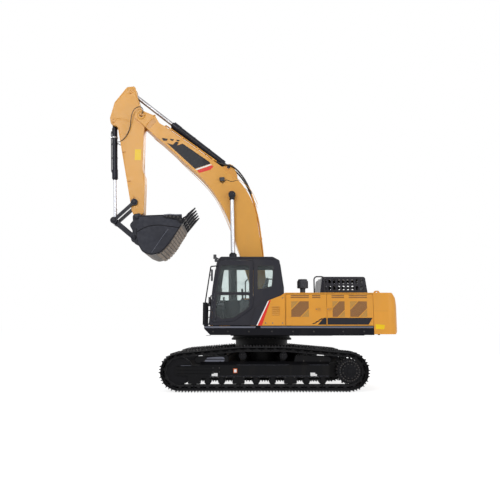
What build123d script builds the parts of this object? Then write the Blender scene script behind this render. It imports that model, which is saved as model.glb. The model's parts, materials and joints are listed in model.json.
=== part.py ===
from build123d import *
import os
from math import acos, asin, atan2, ceil, cos, degrees, hypot, pi, radians, sin, tan

# Crawler excavator. +X is forward, along the boom. +Y is the cab side, +Z is up.
# The origin is on the ground, on the axis about which the house swings. Millimetres.

# Clearances shared by all pieces
RUNNING_GAP = 0.3
SIDE_GAP = 6.0
DOOR_GAP = 8.0
RAIL_SIDE_COUNT = 8
BEARING_GAP = 0.5

# Tracks: the pitch line is the line of the link pins
TRACK_GAUGE = 2590.0
SHOE_WIDTH = 600.0
SHOE_COUNT = 48
WHEEL_BASE = 4040.0
WHEEL_CENTRE_X = -22.0
PITCH_RADIUS = 369.0
GROUSER_TIP = 102.0
PLATE_OUTER = 66.0
PLATE_INNER = 52.0
RAIL_INNER = 53.0
GROUSER_SPACING = 72.0
GROUSER_BASE = 16.0
GROUSER_TOP = 6.0
RAIL_WIDTH = 45.0
RAIL_CENTRE = 75.0
RAIL_SEAT = 3.0
TRACK_Y = TRACK_GAUGE / 2
AXLE_Z = PITCH_RADIUS + GROUSER_TIP
SPROCKET_X = WHEEL_CENTRE_X - WHEEL_BASE / 2
IDLER_X = WHEEL_CENTRE_X + WHEEL_BASE / 2
RAIL_TOP_Z = GROUSER_TIP + RAIL_INNER

# Sprocket, idler and rollers
SPROCKET_TEETH = 21
SPROCKET_WIDTH = 70.0
TOOTH_HEIGHT = 44.0
DRIVE_RADIUS = 259.0
DRIVE_OUTER_Y = 150.0
DRIVE_CAP_RADIUS = 190.0
DRIVE_CAP_HEIGHT = 30.0
IDLER_WIDTH = 180.0
IDLER_FLANGE_WIDTH = 84.0
IDLER_FLANGE = 24.0
IDLER_HUB_RADIUS = 95.0
IDLER_HUB_WIDTH = 236.0
ROLLER_RADIUS = 85.0
ROLLER_WIDTH = 210.0
ROLLER_SHAFT = 42.0
ROLLER_SHARES = (-0.3411, -0.246, -0.1512, -0.047, 0.0495, 0.1507, 0.251, 0.3317, 0.4126)
ROLLER_X = tuple(WHEEL_CENTRE_X + WHEEL_BASE * share for share in ROLLER_SHARES)
CARRIER_RADIUS = 90.0
CARRIER_WIDTH = 200.0
CARRIER_Z = 830.0
CARRIER_X = (494.0, -481.0)
CARRIER_POST = 110.0
LINK_SAG = 6.0

# Track frames
FRAME_WIDTH = 290.0
FRAME_REAR_X = SPROCKET_X + 482
FRAME_FRONT_X = IDLER_X - 498
FRAME_LOW_Z = 352.0
FRAME_SHOULDER_Z = 612.0
FRAME_TOP_Z = 690.0
FRAME_RIDGE = 150.0
SKIRT_LOW_Z = 316.0
SKIRT_THICK = 20.0
GUARD_LOW_Z = 180.0
GUARD_SHARES = ((0.1156, 0.1884), (-0.1894, -0.1131), (0.3718, 0.4485))
GUARDS = tuple(
    (WHEEL_CENTRE_X + WHEEL_BASE * rear, WHEEL_CENTRE_X + WHEEL_BASE * front) for rear, front in GUARD_SHARES
)
FORK_RADIUS = 105.0
DRIVE_PLATE = 45.0
LUG_THICK = 45.0
LUG_HOLE = 30.0
LUG_RADIUS = 62.0
LUG_INSET = 85.0
LUG_HEIGHT = 78.0
LUG_BACK = 180.0

# Car body under the swing bearing
HUB_RADIUS = 680.0
HUB_LOW_Z = 500.0
HUB_FLANGE_RADIUS = 790.0
HUB_FLANGE_Z = 1180.0
BEARING_LOW_Z = 1215.0
BEARING_TOP_Z = 1290.0
BEARING_RADIUS = 745.0
LEG_ROOT_X = (120.0, 620.0)
LEG_END_X = (520.0, 1080.0)
LEG_ROOT_Y = 380.0
LEG_HIGH_Z = 960.0
LEG_END_HIGH_Z = 660.0
LEG_END_LOW_Z = 420.0

# House: decks and centre frame
HOUSE_HALF_WIDTH = 1500.0
DECK_LOW_Z = 1316.0
DECK_RAIL_Z = 1466.0
DECK_TOP_Z = 1531.0
DECK_FRONT_X = 1413.0
WEIGHT_FRONT_X = -2642.0
DECK_REAR_X = WEIGHT_FRONT_X
DECK_INNER_Y = 430.0
DECK_BEAM = 90.0
DECK_RIB = 24.0
DECK_RIB_X = (-2300.0, -1650.0, -1000.0, -350.0, 300.0, 900.0)
BASE_PLATE = 25.0
BASE_FRONT_X = 800.0
BASE_REAR_X = -1750.0
MAIN_PLATE_Y = 231.0
MAIN_PLATE = 40.0
CROSS_BEAM_X = (-1500.0, -900.0, -420.0)
CROSS_BEAM = 40.0

# Boom foot and boom cylinder foot, on the main plates
BOOM_FOOT_X = 0.0
BOOM_FOOT_Z = 2050.0
BOOM_FOOT_RADIUS = 175.0
FOOT_PIN_RADIUS = 55.0
LIFT_FOOT_X = 720.0
LIFT_FOOT_Z = 1480.0
LIFT_FOOT_RADIUS = 125.0
LIFT_PIN_RADIUS = 48.0

# Counterweight
WEIGHT_REAR_X = -3290.0
WEIGHT_SHOULDER_X = -3240.0
WEIGHT_SHOULDER_Y = HOUSE_HALF_WIDTH - 350
WEIGHT_CORNER = 250.0
WEIGHT_LOW_Z = 1334.0
EYE_X = -2950.0
EYE_Y = 600.0
EYE_HEIGHT = 110.0
EYE_HOLE = 28.0
EYE_THICK = 50.0

# Hood over engine and coolers
HOOD_TOP_Z = 2326.0
HOOD_SHEET = 26.0
HOOD_FRONT_X = -536.0
HOOD_SPLIT_X = -1520.0
FLANGE = 9.0
DOOR_THICK = 36.0
DOOR_LOW_Z = 1539.0
DOOR_HEAD_Z = 2296.0
HINGE_OUT = 9.0
CAB_HINGE_OUT = 15.0
KNUCKLE_RADIUS = 8.5
KNUCKLE_LENGTH = 45.0
HINGE_PIN = 5.0
LEAF_START = 4.0
LEAF_LENGTH = 42.0
DOOR_HINGE_Z = (1680.0, 2240.0)
CAB_HINGE_Z = (2200.0, 2980.0)
GRILLE_SLAT = 14.0
GRILLE_LOW_Z = 1758.0
GRILLE_HIGH_Z = 2122.0
SLOT_LOW_Z = 2195.0
SLOT_HIGH_Z = 2268.0
COVER_FRONT_X = -1492.0
COVER_REAR_X = -2736.0
COVER_RIGHT_Y = -640.0
COVER_LEFT_Y = 560.0
COVER_TOP_Z = 2800.0
COVER_SLOPE = 66.0
COVER_WALL = 12.0
SLOT_WIDTH = 68.0
SLOT_LENGTH = 110.0
COVER_LIFT = 10.0
COVER_KNUCKLE_Y = (-500.0, 400.0)
LID_KNUCKLE_Y = (-1300.0, -700.0)
HATCH_MARGIN = 70.0
EXHAUST_PLACE = (-2100.0, -860.0)
EXHAUST_RADIUS = 62.0
EXHAUST_TOP_Z = 2700.0

# Tanks and boxes on the right
TANK_INNER_Y = -480.0
TANK_TOP_Z = 2300.0
OIL_TANK_X = (-1500.0, -560.0)
FUEL_TANK_X = (-550.0, 480.0)
TOOLBOX_X = (490.0, 1395.0)
TOOLBOX_TOP_Z = 2010.0
TOOLBOX_WALL = 20.0
LID_THICK = 22.0
LID_TOP_Z = TOOLBOX_TOP_Z + SIDE_GAP + LID_THICK
PUMP_DOOR_FRONT_X = -1510.0
STEP_DEPTH = 130.0
STEP_PLATE = 14.0
STEP_Y = (-1350.0, -900.0)
STEP_Z = (1600.0, 1800.0, 1990.0)
STEP_REACH = 232.0
STEP_RISE = 215.0
RAIL_STAND = 45.0

# Cab
CAB_INNER_Y = 440.0
CAB_OUTER_Y = 1450.0
CAB_FLOOR_Z = 1545.0
CAB_TOP_Z = 3203.0
CAB_REAR_X = -500.0
CAB_WALL = 45.0
CAB_FOOT_X = (-350.0, 1150.0)
CAB_FOOT_RADIUS = 70.0
PILLAR = 70.0
GRAB_RADIUS = 15.0
GLASS = 8.0
DOOR_HINGE_X = 240.0
BELT_Z = 2305.0
BELT_BAR = 50.0
PANEL_THICK = 38.0

# Boom
BOOM_HALF = 215.0
NOSE_GAP_Y = 177.0
NOSE_WEB = 250.0
NOSE_WEB_SLOPE = 1.9
ARM_PIVOT_X = 3314.0
ARM_PIVOT_Z = 7311.0
PIVOT_PIN_RADIUS = 55.0
BOOM_TOP_LOW = (239.0, 5239.0)
BOOM_TOP_HIGH = (2640.0, 6985.0)
LINE_HEIGHT = 46.0
LINE_RADIUS = 17.0
LIFT_EYE_X = 792.0
LIFT_EYE_Z = 5033.0
LIFT_BOSS_RADIUS = 130.0
ARM_CYL_FOOT_X = 891.0
ARM_CYL_FOOT_Z = 5867.0
EAR_PLATE = 45.0

# Cylinders: eyes, barrels, rods
LIFT_Y = 322.0
LIFT_EYE_WIDTH = 116.0
LIFT_BOSS_Y = LIFT_Y - LIFT_EYE_WIDTH / 2 - SIDE_GAP
LIFT_BARREL_RADIUS = 92.0
LIFT_ROD_RADIUS = 55.0
LIFT_BARREL_LENGTH = 1930.0
LIFT_EYE_RADIUS = 92.0
ARM_CYL_EYE_WIDTH = 124.0
BARREL_START = 190.0
ARM_BARREL_RADIUS = 97.0
ARM_ROD_RADIUS = 54.0
ARM_BARREL_LENGTH = 1985.0
ARM_EYE_RADIUS = 95.0
BUCKET_BARREL_RADIUS = 74.0
BUCKET_ROD_RADIUS = 49.0
BUCKET_BARREL_LENGTH = 1630.0
BUCKET_EYE_RADIUS = 82.0
GLAND_EXTRA = 8.0
GLAND_LENGTH = 230.0
ROD_INSIDE = 300.0
HOLLOW_START = BARREL_START + 25

# Arm and linkage
ARM_HALF = 170.0
ARM_ROD_PIN_X = 3636.0
ARM_ROD_PIN_Z = 8045.0
ARM_PIN_RADIUS = 48.0
BUCKET_CYL_PIN_X = 4092.0
BUCKET_CYL_PIN_Z = 7191.0
LEVER_PIN_X = 3435.0
LEVER_PIN_Z = 4852.0
BUCKET_PIN_X = 3355.0
BUCKET_PIN_Z = 4441.0
LINK_PIN_X = 3967.0
LINK_PIN_Z = 4350.0
EAR_PIN_X = 3405.0
EAR_PIN_Z = 3885.0
LEVER_THICK = 48.0
LEVER_RADIUS = 92.0
LEVER_WAIST = 0.48
LINK_HALF = 165.0
LINK_EYE_RADIUS = 88.0
ARM_TIP_RADIUS = 115.0
HEAD_SLOT = 480.0
LINKAGE_PIN_RADIUS = 42.0

# Bucket
BUCKET_HALF = 700.0
BUCKET_WALL = 28.0
BUCKET_SIDE = 32.0
BUCKET_EAR = 45.0
LIP_FOOT = (2073.0, 4160.0)
LIP_TOP = (2095.0, 4420.0)
TOOTH_SEAT = 0.5
TOOTH_TIP = (1736.0, 4588.0)
TOOTH_COUNT = 5
TOOTH_WIDTH = 92.0
CUTTER_THICK = 34.0


def rounded_face(corners):
    """Flat face whose corners (across, up, radius) are each rounded to their radius."""
    count = len(corners)
    turns = []
    for index, (across, up, radius) in enumerate(corners):
        here = Vector(across, up)
        back = (Vector(*corners[index - 1][:2]) - here).normalized()
        ahead = (Vector(*corners[(index + 1) % count][:2]) - here).normalized()
        half = radians(back.get_angle(ahead)) / 2
        reach = radius / tan(half)
        middle = here + (back + ahead).normalized() * (radius / sin(half) - radius) if radius else here
        turns.append((here + back * reach, middle, here + ahead * reach, radius))
    edges = []
    for index, (start, middle, end, radius) in enumerate(turns):
        if radius:
            edges.append(Edge.make_three_point_arc(start, middle, end))
        following = turns[(index + 1) % count][0]
        if (following - end).length > 1e-4:
            edges.append(Edge.make_line(end, following))
    return make_face(edges)


def sharp(points):
    """Corners with no radius from plain points."""
    return [(across, up, 0.0) for across, up in points]


def side_plate(corners, y_low, y_high):
    """Prism across Y of an outline given in X and Z."""
    plane = Plane.XZ.offset(-y_high)
    return extrude(plane * rounded_face(corners), amount=y_high - y_low, dir=plane.z_dir)


def deck_plate(corners, z_low, z_high):
    """Prism upward of an outline given in X and Y."""
    plane = Plane.XY.offset(z_low)
    return extrude(plane * rounded_face(corners), amount=z_high - z_low, dir=plane.z_dir)


def cross_plate(corners, x_low, x_high):
    """Prism along X of an outline given in Y and Z."""
    plane = Plane.YZ.offset(x_low)
    return extrude(plane * rounded_face(corners), amount=x_high - x_low, dir=plane.z_dir)


def block(x_low, x_high, y_low, y_high, z_low, z_high):
    """Box between two corners."""
    middle = Pos((x_low + x_high) / 2, (y_low + y_high) / 2, (z_low + z_high) / 2)
    return middle * Box(x_high - x_low, y_high - y_low, z_high - z_low)


def disc(x, z, radius, y_low, y_high):
    """Cylinder across Y."""
    return Pos(x, (y_low + y_high) / 2, z) * Rot(90, 0, 0) * Cylinder(radius, y_high - y_low)


def drum(x, y, radius, z_low, z_high):
    """Upright cylinder."""
    return Pos(x, y, (z_low + z_high) / 2) * Cylinder(radius, z_high - z_low)


def bar(start, end, radius):
    """Round bar from one point to another."""
    start, end = Vector(*start), Vector(*end)
    seat = Plane(origin=start, z_dir=end - start)
    return seat * Cylinder(radius, (end - start).length, align=(Align.CENTER, Align.CENTER, Align.MIN))


def tube_run(points, radius, bend):
    """Thin rail with eight flats along straight runs joined by tangent arcs."""
    path = FilletPolyline(*points, radius=bend)
    return sweep(Plane(origin=path @ 0, z_dir=path % 0) * RegularPolygon(radius, RAIL_SIDE_COUNT), path=path)


def flat_bar(start, end, radius):
    """Straight bar with eight flats from one point to another."""
    start, end = Vector(*start), Vector(*end)
    seat = Plane(origin=start, z_dir=end - start)
    return extrude(seat * RegularPolygon(radius, RAIL_SIDE_COUNT), amount=(end - start).length, dir=seat.z_dir)


def both_sides(shape):
    """A piece and its mirror image across the middle of the machine."""
    return [shape, mirror(shape, about=Plane.XZ)]


def dumbbell(x1, z1, r1, x2, z2, r2, y_low, y_high, waist=0.8):
    """Plate with a round eye at each end."""
    length = hypot(x2 - x1, z2 - z1)
    across_x, across_z = -(z2 - z1) / length, (x2 - x1) / length
    web = sharp([
        (x1 + across_x * r1 * waist, z1 + across_z * r1 * waist),
        (x2 + across_x * r2 * waist, z2 + across_z * r2 * waist),
        (x2 - across_x * r2 * waist, z2 - across_z * r2 * waist),
        (x1 - across_x * r1 * waist, z1 - across_z * r1 * waist),
    ])
    plate = side_plate(web, y_low, y_high)
    return plate + disc(x1, z1, r1, y_low, y_high) + disc(x2, z2, r2, y_low, y_high)


# Hinges


def upright_knuckles(x, y, skin, toward, heights, carried):
    """Knuckles with leaves on one side of upright hinges; the fixed side also holds the pin."""
    leaf_x = sorted((x + toward * LEAF_START, x + toward * LEAF_LENGTH))
    leaf_y = sorted((skin - (1 if y > 0 else -1), y))
    pieces = []
    for z in heights:
        low, high = (z - KNUCKLE_LENGTH, z - RUNNING_GAP) if carried else (z, z + KNUCKLE_LENGTH)
        piece = drum(x, y, KNUCKLE_RADIUS, low, high) + block(*leaf_x, *leaf_y, low, high)
        if carried:
            piece -= drum(x, y, HINGE_PIN + RUNNING_GAP, low - 1, high + 1)
        else:
            piece += drum(x, y, HINGE_PIN, z - KNUCKLE_LENGTH, z + 1)
        pieces.append(piece)
    return pieces


def level_knuckles(x, z, rows, carried):
    """Knuckles of hinges across Y; the fixed side also holds the pin."""
    pieces = []
    for y in rows:
        low, high = (y - KNUCKLE_LENGTH, y - RUNNING_GAP) if carried else (y, y + KNUCKLE_LENGTH)
        piece = disc(x, z, KNUCKLE_RADIUS, low, high)
        if carried:
            piece -= disc(x, z, HINGE_PIN + RUNNING_GAP, low - 1, high + 1)
        else:
            piece += disc(x, z, HINGE_PIN, y - KNUCKLE_LENGTH, y + 1)
        pieces.append(piece)
    return pieces


# Tracks


def belt_points(circles, count):
    """Equally spaced points on the closed line round the outside of circles (x, z, radius)."""
    following = circles[1:] + circles[:1]
    leans = []
    for (x1, z1, r1), (x2, z2, r2) in zip(circles, following):
        lean = asin((r1 - r2) / hypot(x2 - x1, z2 - z1))
        leans.append(atan2(z2 - z1, x2 - x1) - pi / 2 + lean)
    runs = []
    for index, angle in enumerate(leans):
        x1, z1, r1 = circles[index]
        x2, z2, r2 = following[index]
        start = (x1 + r1 * cos(angle), z1 + r1 * sin(angle))
        end = (x2 + r2 * cos(angle), z2 + r2 * sin(angle))
        turn = (leans[(index + 1) % len(leans)] - angle) % (2 * pi)
        runs.append(("line", start, end, hypot(end[0] - start[0], end[1] - start[1])))
        runs.append(("arc", following[index], (angle, turn), turn * r2))
    total = sum(run[3] for run in runs)
    points = []
    for step in range(count):
        left = total * step / count
        for kind, first, second, length in runs:
            if left <= length:
                break
            left -= length
        if kind == "line":
            share = left / length
            points.append((first[0] + (second[0] - first[0]) * share, first[1] + (second[1] - first[1]) * share))
        else:
            angle = second[0] + left / first[2]
            points.append((first[0] + first[2] * cos(angle), first[1] + first[2] * sin(angle)))
    return points


def link_line():
    """Pins of one track's links, in order round the loop."""
    wrap = CARRIER_RADIUS + RAIL_INNER + LINK_SAG
    circles = [(SPROCKET_X, AXLE_Z, PITCH_RADIUS), (IDLER_X, AXLE_Z, PITCH_RADIUS)]
    circles += [(x, CARRIER_Z, wrap) for x in CARRIER_X]
    return belt_points(circles, SHOE_COUNT)


def shoe_frame(pins, index):
    """Middle, direction and outward normal of one link."""
    (x1, z1), (x2, z2) = pins[index], pins[(index + 1) % len(pins)]
    length = hypot(x2 - x1, z2 - z1)
    along = ((x2 - x1) / length, (z2 - z1) / length)
    return ((x1 + x2) / 2, (z1 + z2) / 2), along, (along[1], -along[0])


def loop_offset(pins, out):
    """Corners of the loop moved outward by a distance, without those on a straight."""
    corners = []
    for index in range(len(pins)):
        _, before, normal_before = shoe_frame(pins, index - 1)
        _, after, normal_after = shoe_frame(pins, index)
        bend = before[0] * after[1] - before[1] * after[0]
        if abs(bend) < 1e-6:
            continue
        mean_x, mean_z = normal_before[0] + normal_after[0], normal_before[1] + normal_after[1]
        size = hypot(mean_x, mean_z)
        scale = out / (size / 2) / size
        corners.append((pins[index][0] + mean_x * scale, pins[index][1] + mean_z * scale))
    return corners


def track_loop():
    """One closed track: shoes with three grousers each, on two rails of links."""
    pins = link_line()
    rim = []
    for index in range(SHOE_COUNT):
        middle, along, normal = shoe_frame(pins, index)
        for row in (-1, 0, 1):
            centre = row * GROUSER_SPACING
            for offset, height in (
                (-GROUSER_BASE, PLATE_OUTER), (-GROUSER_TOP, GROUSER_TIP),
                (GROUSER_TOP, GROUSER_TIP), (GROUSER_BASE, PLATE_OUTER),
            ):
                shift = centre + offset
                rim.append((
                    middle[0] + along[0] * shift + normal[0] * height,
                    middle[1] + along[1] * shift + normal[1] * height,
                ))
    shoes = flat_ring(rim, loop_offset(pins, PLATE_INNER), TRACK_Y - SHOE_WIDTH / 2, TRACK_Y + SHOE_WIDTH / 2)
    loop = shoes
    for side in (-1, 1):
        centre = TRACK_Y + side * RAIL_CENTRE
        loop += flat_ring(
            loop_offset(pins, PLATE_INNER + RAIL_SEAT), loop_offset(pins, -RAIL_INNER),
            centre - RAIL_WIDTH / 2, centre + RAIL_WIDTH / 2,
        )
    return loop


def flat_ring(outer, inner, y_low, y_high):
    """Prism across Y between two closed polygons in X and Z."""
    plane = Plane.XZ.offset(-y_high)
    face = make_face(Polyline(*outer, close=True)) - make_face(Polyline(*inner, close=True))
    return extrude(plane * face, amount=y_high - y_low, dir=plane.z_dir)


def wheel_tread():
    """Radius on which the links' rails ride round idler and sprocket."""
    half_link = asin(min(1.0, link_pitch() / 2 / PITCH_RADIUS))
    return PITCH_RADIUS * cos(half_link) - RAIL_INNER - RUNNING_GAP


def link_pitch():
    """Distance between two link pins on the straight bottom run."""
    pins = link_line()
    return hypot(pins[1][0] - pins[0][0], pins[1][1] - pins[0][1])


def sprocket():
    """Toothed ring, its hub and the final drive."""
    root = wheel_tread() - 10
    rim = []
    for tooth in range(SPROCKET_TEETH):
        base = 2 * pi * tooth / SPROCKET_TEETH
        tip = root + TOOTH_HEIGHT
        for share, radius in ((0.0, root), (0.28, root), (0.45, tip), (0.62, tip), (0.8, root)):
            angle = base + share * 2 * pi / SPROCKET_TEETH
            rim.append((SPROCKET_X + radius * cos(angle), AXLE_Z + radius * sin(angle)))
    plane = Plane.XZ.offset(-(TRACK_Y + SPROCKET_WIDTH / 2))
    ring = extrude(plane * make_face(Polyline(*rim, close=True)), amount=SPROCKET_WIDTH, dir=plane.z_dir)
    return ring


def final_drive():
    """Planetary drive: a drum on the sprocket's outer face with a stepped cap."""
    outer = TRACK_Y + DRIVE_OUTER_Y
    drive = disc(SPROCKET_X, AXLE_Z, DRIVE_RADIUS, TRACK_Y + SPROCKET_WIDTH / 2, outer)
    drive += disc(SPROCKET_X, AXLE_Z, DRIVE_CAP_RADIUS, outer, outer + DRIVE_CAP_HEIGHT)
    inner = TRACK_Y - SPROCKET_WIDTH / 2
    motor = disc(SPROCKET_X, AXLE_Z, DRIVE_CAP_RADIUS, TRACK_Y - FRAME_WIDTH / 2 - DRIVE_PLATE, inner)
    return [drive, motor]


def idler():
    """Front idler with its centre flange and hub."""
    tread = wheel_tread()
    wheel = disc(IDLER_X, AXLE_Z, tread, TRACK_Y - IDLER_WIDTH / 2, TRACK_Y + IDLER_WIDTH / 2)
    half = IDLER_FLANGE_WIDTH / 2
    wheel += disc(IDLER_X, AXLE_Z, tread + IDLER_FLANGE, TRACK_Y - half, TRACK_Y + half)
    half = IDLER_HUB_WIDTH / 2 - RUNNING_GAP
    return wheel + disc(IDLER_X, AXLE_Z, IDLER_HUB_RADIUS, TRACK_Y - half, TRACK_Y + half)


def track_rollers():
    """Bottom rollers, which ride on the rails."""
    centre_z = RAIL_TOP_Z + ROLLER_RADIUS + RUNNING_GAP
    rollers = []
    for x in ROLLER_X:
        rollers += both_sides(disc(
            x, centre_z, ROLLER_RADIUS, TRACK_Y - ROLLER_WIDTH / 2, TRACK_Y + ROLLER_WIDTH / 2,
        ))
    return rollers


def carrier_rollers():
    """Top rollers, each on a short shaft from its post."""
    rollers = []
    inner = TRACK_Y - CARRIER_WIDTH / 2
    for x in CARRIER_X:
        rollers += both_sides(disc(x, CARRIER_Z, CARRIER_RADIUS - RUNNING_GAP, inner, inner + CARRIER_WIDTH))
    return rollers


def track_frame():
    """Long beam of one track, with roller seats, idler fork, drive plate and carrier posts."""
    low_y, high_y = TRACK_Y - FRAME_WIDTH / 2, TRACK_Y + FRAME_WIDTH / 2
    section = sharp([
        (low_y, FRAME_LOW_Z), (high_y, FRAME_LOW_Z), (high_y, FRAME_SHOULDER_Z),
        (TRACK_Y + FRAME_RIDGE / 2, FRAME_TOP_Z), (TRACK_Y - FRAME_RIDGE / 2, FRAME_TOP_Z), (low_y, FRAME_SHOULDER_Z),
    ])
    frame = cross_plate(section, FRAME_REAR_X, FRAME_FRONT_X)
    for edge in (low_y, high_y - SKIRT_THICK):
        frame += block(FRAME_REAR_X, FRAME_FRONT_X, edge, edge + SKIRT_THICK, SKIRT_LOW_Z, FRAME_LOW_Z)
    for start, end in GUARDS:
        top = FRAME_LOW_Z + 60
        frame += side_plate(
            [(start, top, 0), (end, top, 0), (end, GUARD_LOW_Z, 30), (start, GUARD_LOW_Z, 30)],
            high_y - SKIRT_THICK, high_y,
        )
    shaft_z = RAIL_TOP_Z + ROLLER_RADIUS + RUNNING_GAP
    seat = ROLLER_WIDTH / 2 + RUNNING_GAP
    for x in ROLLER_X:
        if x > FRAME_FRONT_X:
            continue
        for inner, outer in ((low_y, TRACK_Y - seat), (TRACK_Y + seat, high_y)):
            frame += block(x - ROLLER_SHAFT, x + ROLLER_SHAFT, inner, outer, shaft_z - ROLLER_SHAFT, FRAME_LOW_Z)
    frame += idler_fork(low_y, high_y, shaft_z, seat)
    frame += drive_plate(low_y)
    post_y = TRACK_Y - CARRIER_WIDTH / 2 - RUNNING_GAP
    for x in CARRIER_X:
        half = CARRIER_POST / 2
        frame += side_plate(
            [(x - half, FRAME_SHOULDER_Z, 0), (x + half, FRAME_SHOULDER_Z, 0),
             (x + half, CARRIER_Z + half, half * 0.9),
             (x - half, CARRIER_Z + half, half * 0.9)],
            low_y, post_y,
        )
    return frame


def idler_fork(low_y, high_y, shaft_z, seat):
    """Two plates that reach forward from the beam and hold the idler's hub."""
    half = IDLER_HUB_WIDTH / 2
    fork = None
    for inner, outer in ((low_y, TRACK_Y - half), (TRACK_Y + half, high_y)):
        arm = side_plate(
            [(FRAME_FRONT_X - 60, FRAME_LOW_Z, 0), (IDLER_X + FORK_RADIUS, FRAME_LOW_Z + 30, 60),
             (IDLER_X + FORK_RADIUS, FRAME_SHOULDER_Z - 30, 60), (FRAME_FRONT_X - 60, FRAME_SHOULDER_Z, 0)],
            inner, outer,
        )
        fork = arm if fork is None else fork + arm
    for x in ROLLER_X:
        if x <= FRAME_FRONT_X:
            continue
        for inner, outer in ((low_y, TRACK_Y - seat), (TRACK_Y + seat, high_y)):
            fork += block(x - ROLLER_SHAFT, x + ROLLER_SHAFT, inner, outer, shaft_z - ROLLER_SHAFT, FRAME_LOW_Z + 40)
    return fork


def drive_plate(low_y):
    """Plate on the inner side that carries the drive motor."""
    return side_plate(
        [(FRAME_REAR_X + 60, FRAME_LOW_Z, 0), (FRAME_REAR_X + 60, FRAME_SHOULDER_Z, 0),
         (SPROCKET_X, AXLE_Z + DRIVE_RADIUS, 80), (SPROCKET_X - DRIVE_RADIUS, AXLE_Z + DRIVE_RADIUS * 0.5, 120),
         (SPROCKET_X - DRIVE_RADIUS, AXLE_Z - DRIVE_RADIUS * 0.5, 120), (SPROCKET_X, AXLE_Z - DRIVE_RADIUS, 80)],
        low_y, low_y + DRIVE_PLATE,
    ) - disc(SPROCKET_X, AXLE_Z, DRIVE_CAP_RADIUS, low_y - 1, low_y + DRIVE_PLATE + 1)


def car_body():
    """Hub under the swing bearing and the four legs that reach the track frames."""
    body = drum(0, 0, HUB_RADIUS, HUB_LOW_Z, HUB_FLANGE_Z)
    body += drum(0, 0, HUB_FLANGE_RADIUS, HUB_FLANGE_Z, BEARING_LOW_Z)
    reach = TRACK_Y - FRAME_WIDTH / 2
    section = cross_plate(sharp([
        (0, HUB_LOW_Z), (0, LEG_HIGH_Z), (LEG_ROOT_Y, LEG_HIGH_Z), (reach, LEG_END_HIGH_Z),
        (reach, LEG_END_LOW_Z), (HUB_RADIUS, HUB_LOW_Z),
    ]), -HUB_RADIUS * 2, HUB_RADIUS * 2)
    for end in (-1, 1):
        plan = sharp([
            (end * LEG_ROOT_X[0], 0), (end * LEG_ROOT_X[1], 0), (end * LEG_END_X[1], reach), (end * LEG_END_X[0], reach),
        ])
        leg = deck_plate(plan, LEG_END_LOW_Z - 10, LEG_HIGH_Z + 10) & section
        for piece in both_sides(leg):
            body += piece
    return body


def swing_bearing():
    """Fixed ring of the swing bearing, its bore filled."""
    return drum(0, 0, BEARING_RADIUS, BEARING_LOW_Z, BEARING_TOP_Z)


def lashing_lugs():
    """Eyes welded to the car body's legs, for lashing and towing."""
    lugs = []
    y = TRACK_Y - SHOE_WIDTH / 2 - LUG_INSET
    reach = TRACK_Y - FRAME_WIDTH / 2
    leg_z = LEG_HIGH_Z - (LEG_HIGH_Z - LEG_END_HIGH_Z) * (y - LEG_ROOT_Y) / (reach - LEG_ROOT_Y)
    z = leg_z + LUG_HEIGHT
    body = car_body()
    for end in (-1, 1):
        low, high = sorted((end * (LEG_END_X[1] - LUG_BACK), end * (LEG_END_X[1] - LUG_BACK + LUG_THICK)))
        for side in (-1, 1):
            plate = cross_plate(
                [(side * y - LUG_RADIUS, leg_z - LUG_RADIUS, 0), (side * y + LUG_RADIUS, leg_z - LUG_RADIUS, 0),
                 (side * y + LUG_RADIUS, z + LUG_RADIUS, 50), (side * y - LUG_RADIUS, z + LUG_RADIUS, 50)],
                low, high,
            )
            plate -= bar((low - 1, side * y, z), (high + 1, side * y, z), LUG_HOLE)
            lugs.append(plate - body)
    return lugs


# House


def swing_frame():
    """Base plate, ring and the two tall plates that carry boom and lift cylinders."""
    half = HOUSE_HALF_WIDTH * 0.55
    frame = block(BASE_REAR_X, BASE_FRONT_X, -half, half, DECK_LOW_Z - BASE_PLATE, DECK_LOW_Z)
    frame += drum(0, 0, HUB_FLANGE_RADIUS, BEARING_TOP_Z + BEARING_GAP, DECK_LOW_Z - BASE_PLATE / 2)
    plate = side_plate(
        [(BASE_REAR_X, DECK_LOW_Z - BASE_PLATE, 0), (BASE_REAR_X, DECK_TOP_Z - 60, 60),
         (BOOM_FOOT_X - 480, DECK_TOP_Z - 60, 200),
         (BOOM_FOOT_X - BOOM_FOOT_RADIUS * 1.05, BOOM_FOOT_Z + BOOM_FOOT_RADIUS * 0.7, 170),
         (BOOM_FOOT_X + BOOM_FOOT_RADIUS * 1.05, BOOM_FOOT_Z + BOOM_FOOT_RADIUS * 0.7, 170),
         (LIFT_FOOT_X - 60, LIFT_FOOT_Z + LIFT_FOOT_RADIUS, 120),
         (LIFT_FOOT_X + LIFT_FOOT_RADIUS, LIFT_FOOT_Z + LIFT_FOOT_RADIUS * 0.6, 90),
         (BASE_FRONT_X, DECK_LOW_Z - BASE_PLATE, 0)],
        MAIN_PLATE_Y, MAIN_PLATE_Y + MAIN_PLATE,
    )
    plate -= disc(BOOM_FOOT_X, BOOM_FOOT_Z, FOOT_PIN_RADIUS, MAIN_PLATE_Y - 1, MAIN_PLATE_Y + MAIN_PLATE + 1)
    for piece in both_sides(plate):
        frame += piece
    for x in CROSS_BEAM_X:
        frame += block(x, x + CROSS_BEAM, -MAIN_PLATE_Y, MAIN_PLATE_Y, DECK_LOW_Z, DECK_TOP_Z - 60)
    frame += block(
        DECK_REAR_X, BASE_REAR_X, -DECK_INNER_Y, DECK_INNER_Y, DECK_LOW_Z - BASE_PLATE, DECK_LOW_Z + BASE_PLATE,
    )
    for x in DECK_RIB_X[1:5]:
        beam = block(x, x + DECK_RIB * 3, MAIN_PLATE_Y + MAIN_PLATE - 1, DECK_INNER_Y, DECK_LOW_Z - 1, DECK_RAIL_Z)
        for piece in both_sides(beam):
            frame += piece
    return frame


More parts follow.
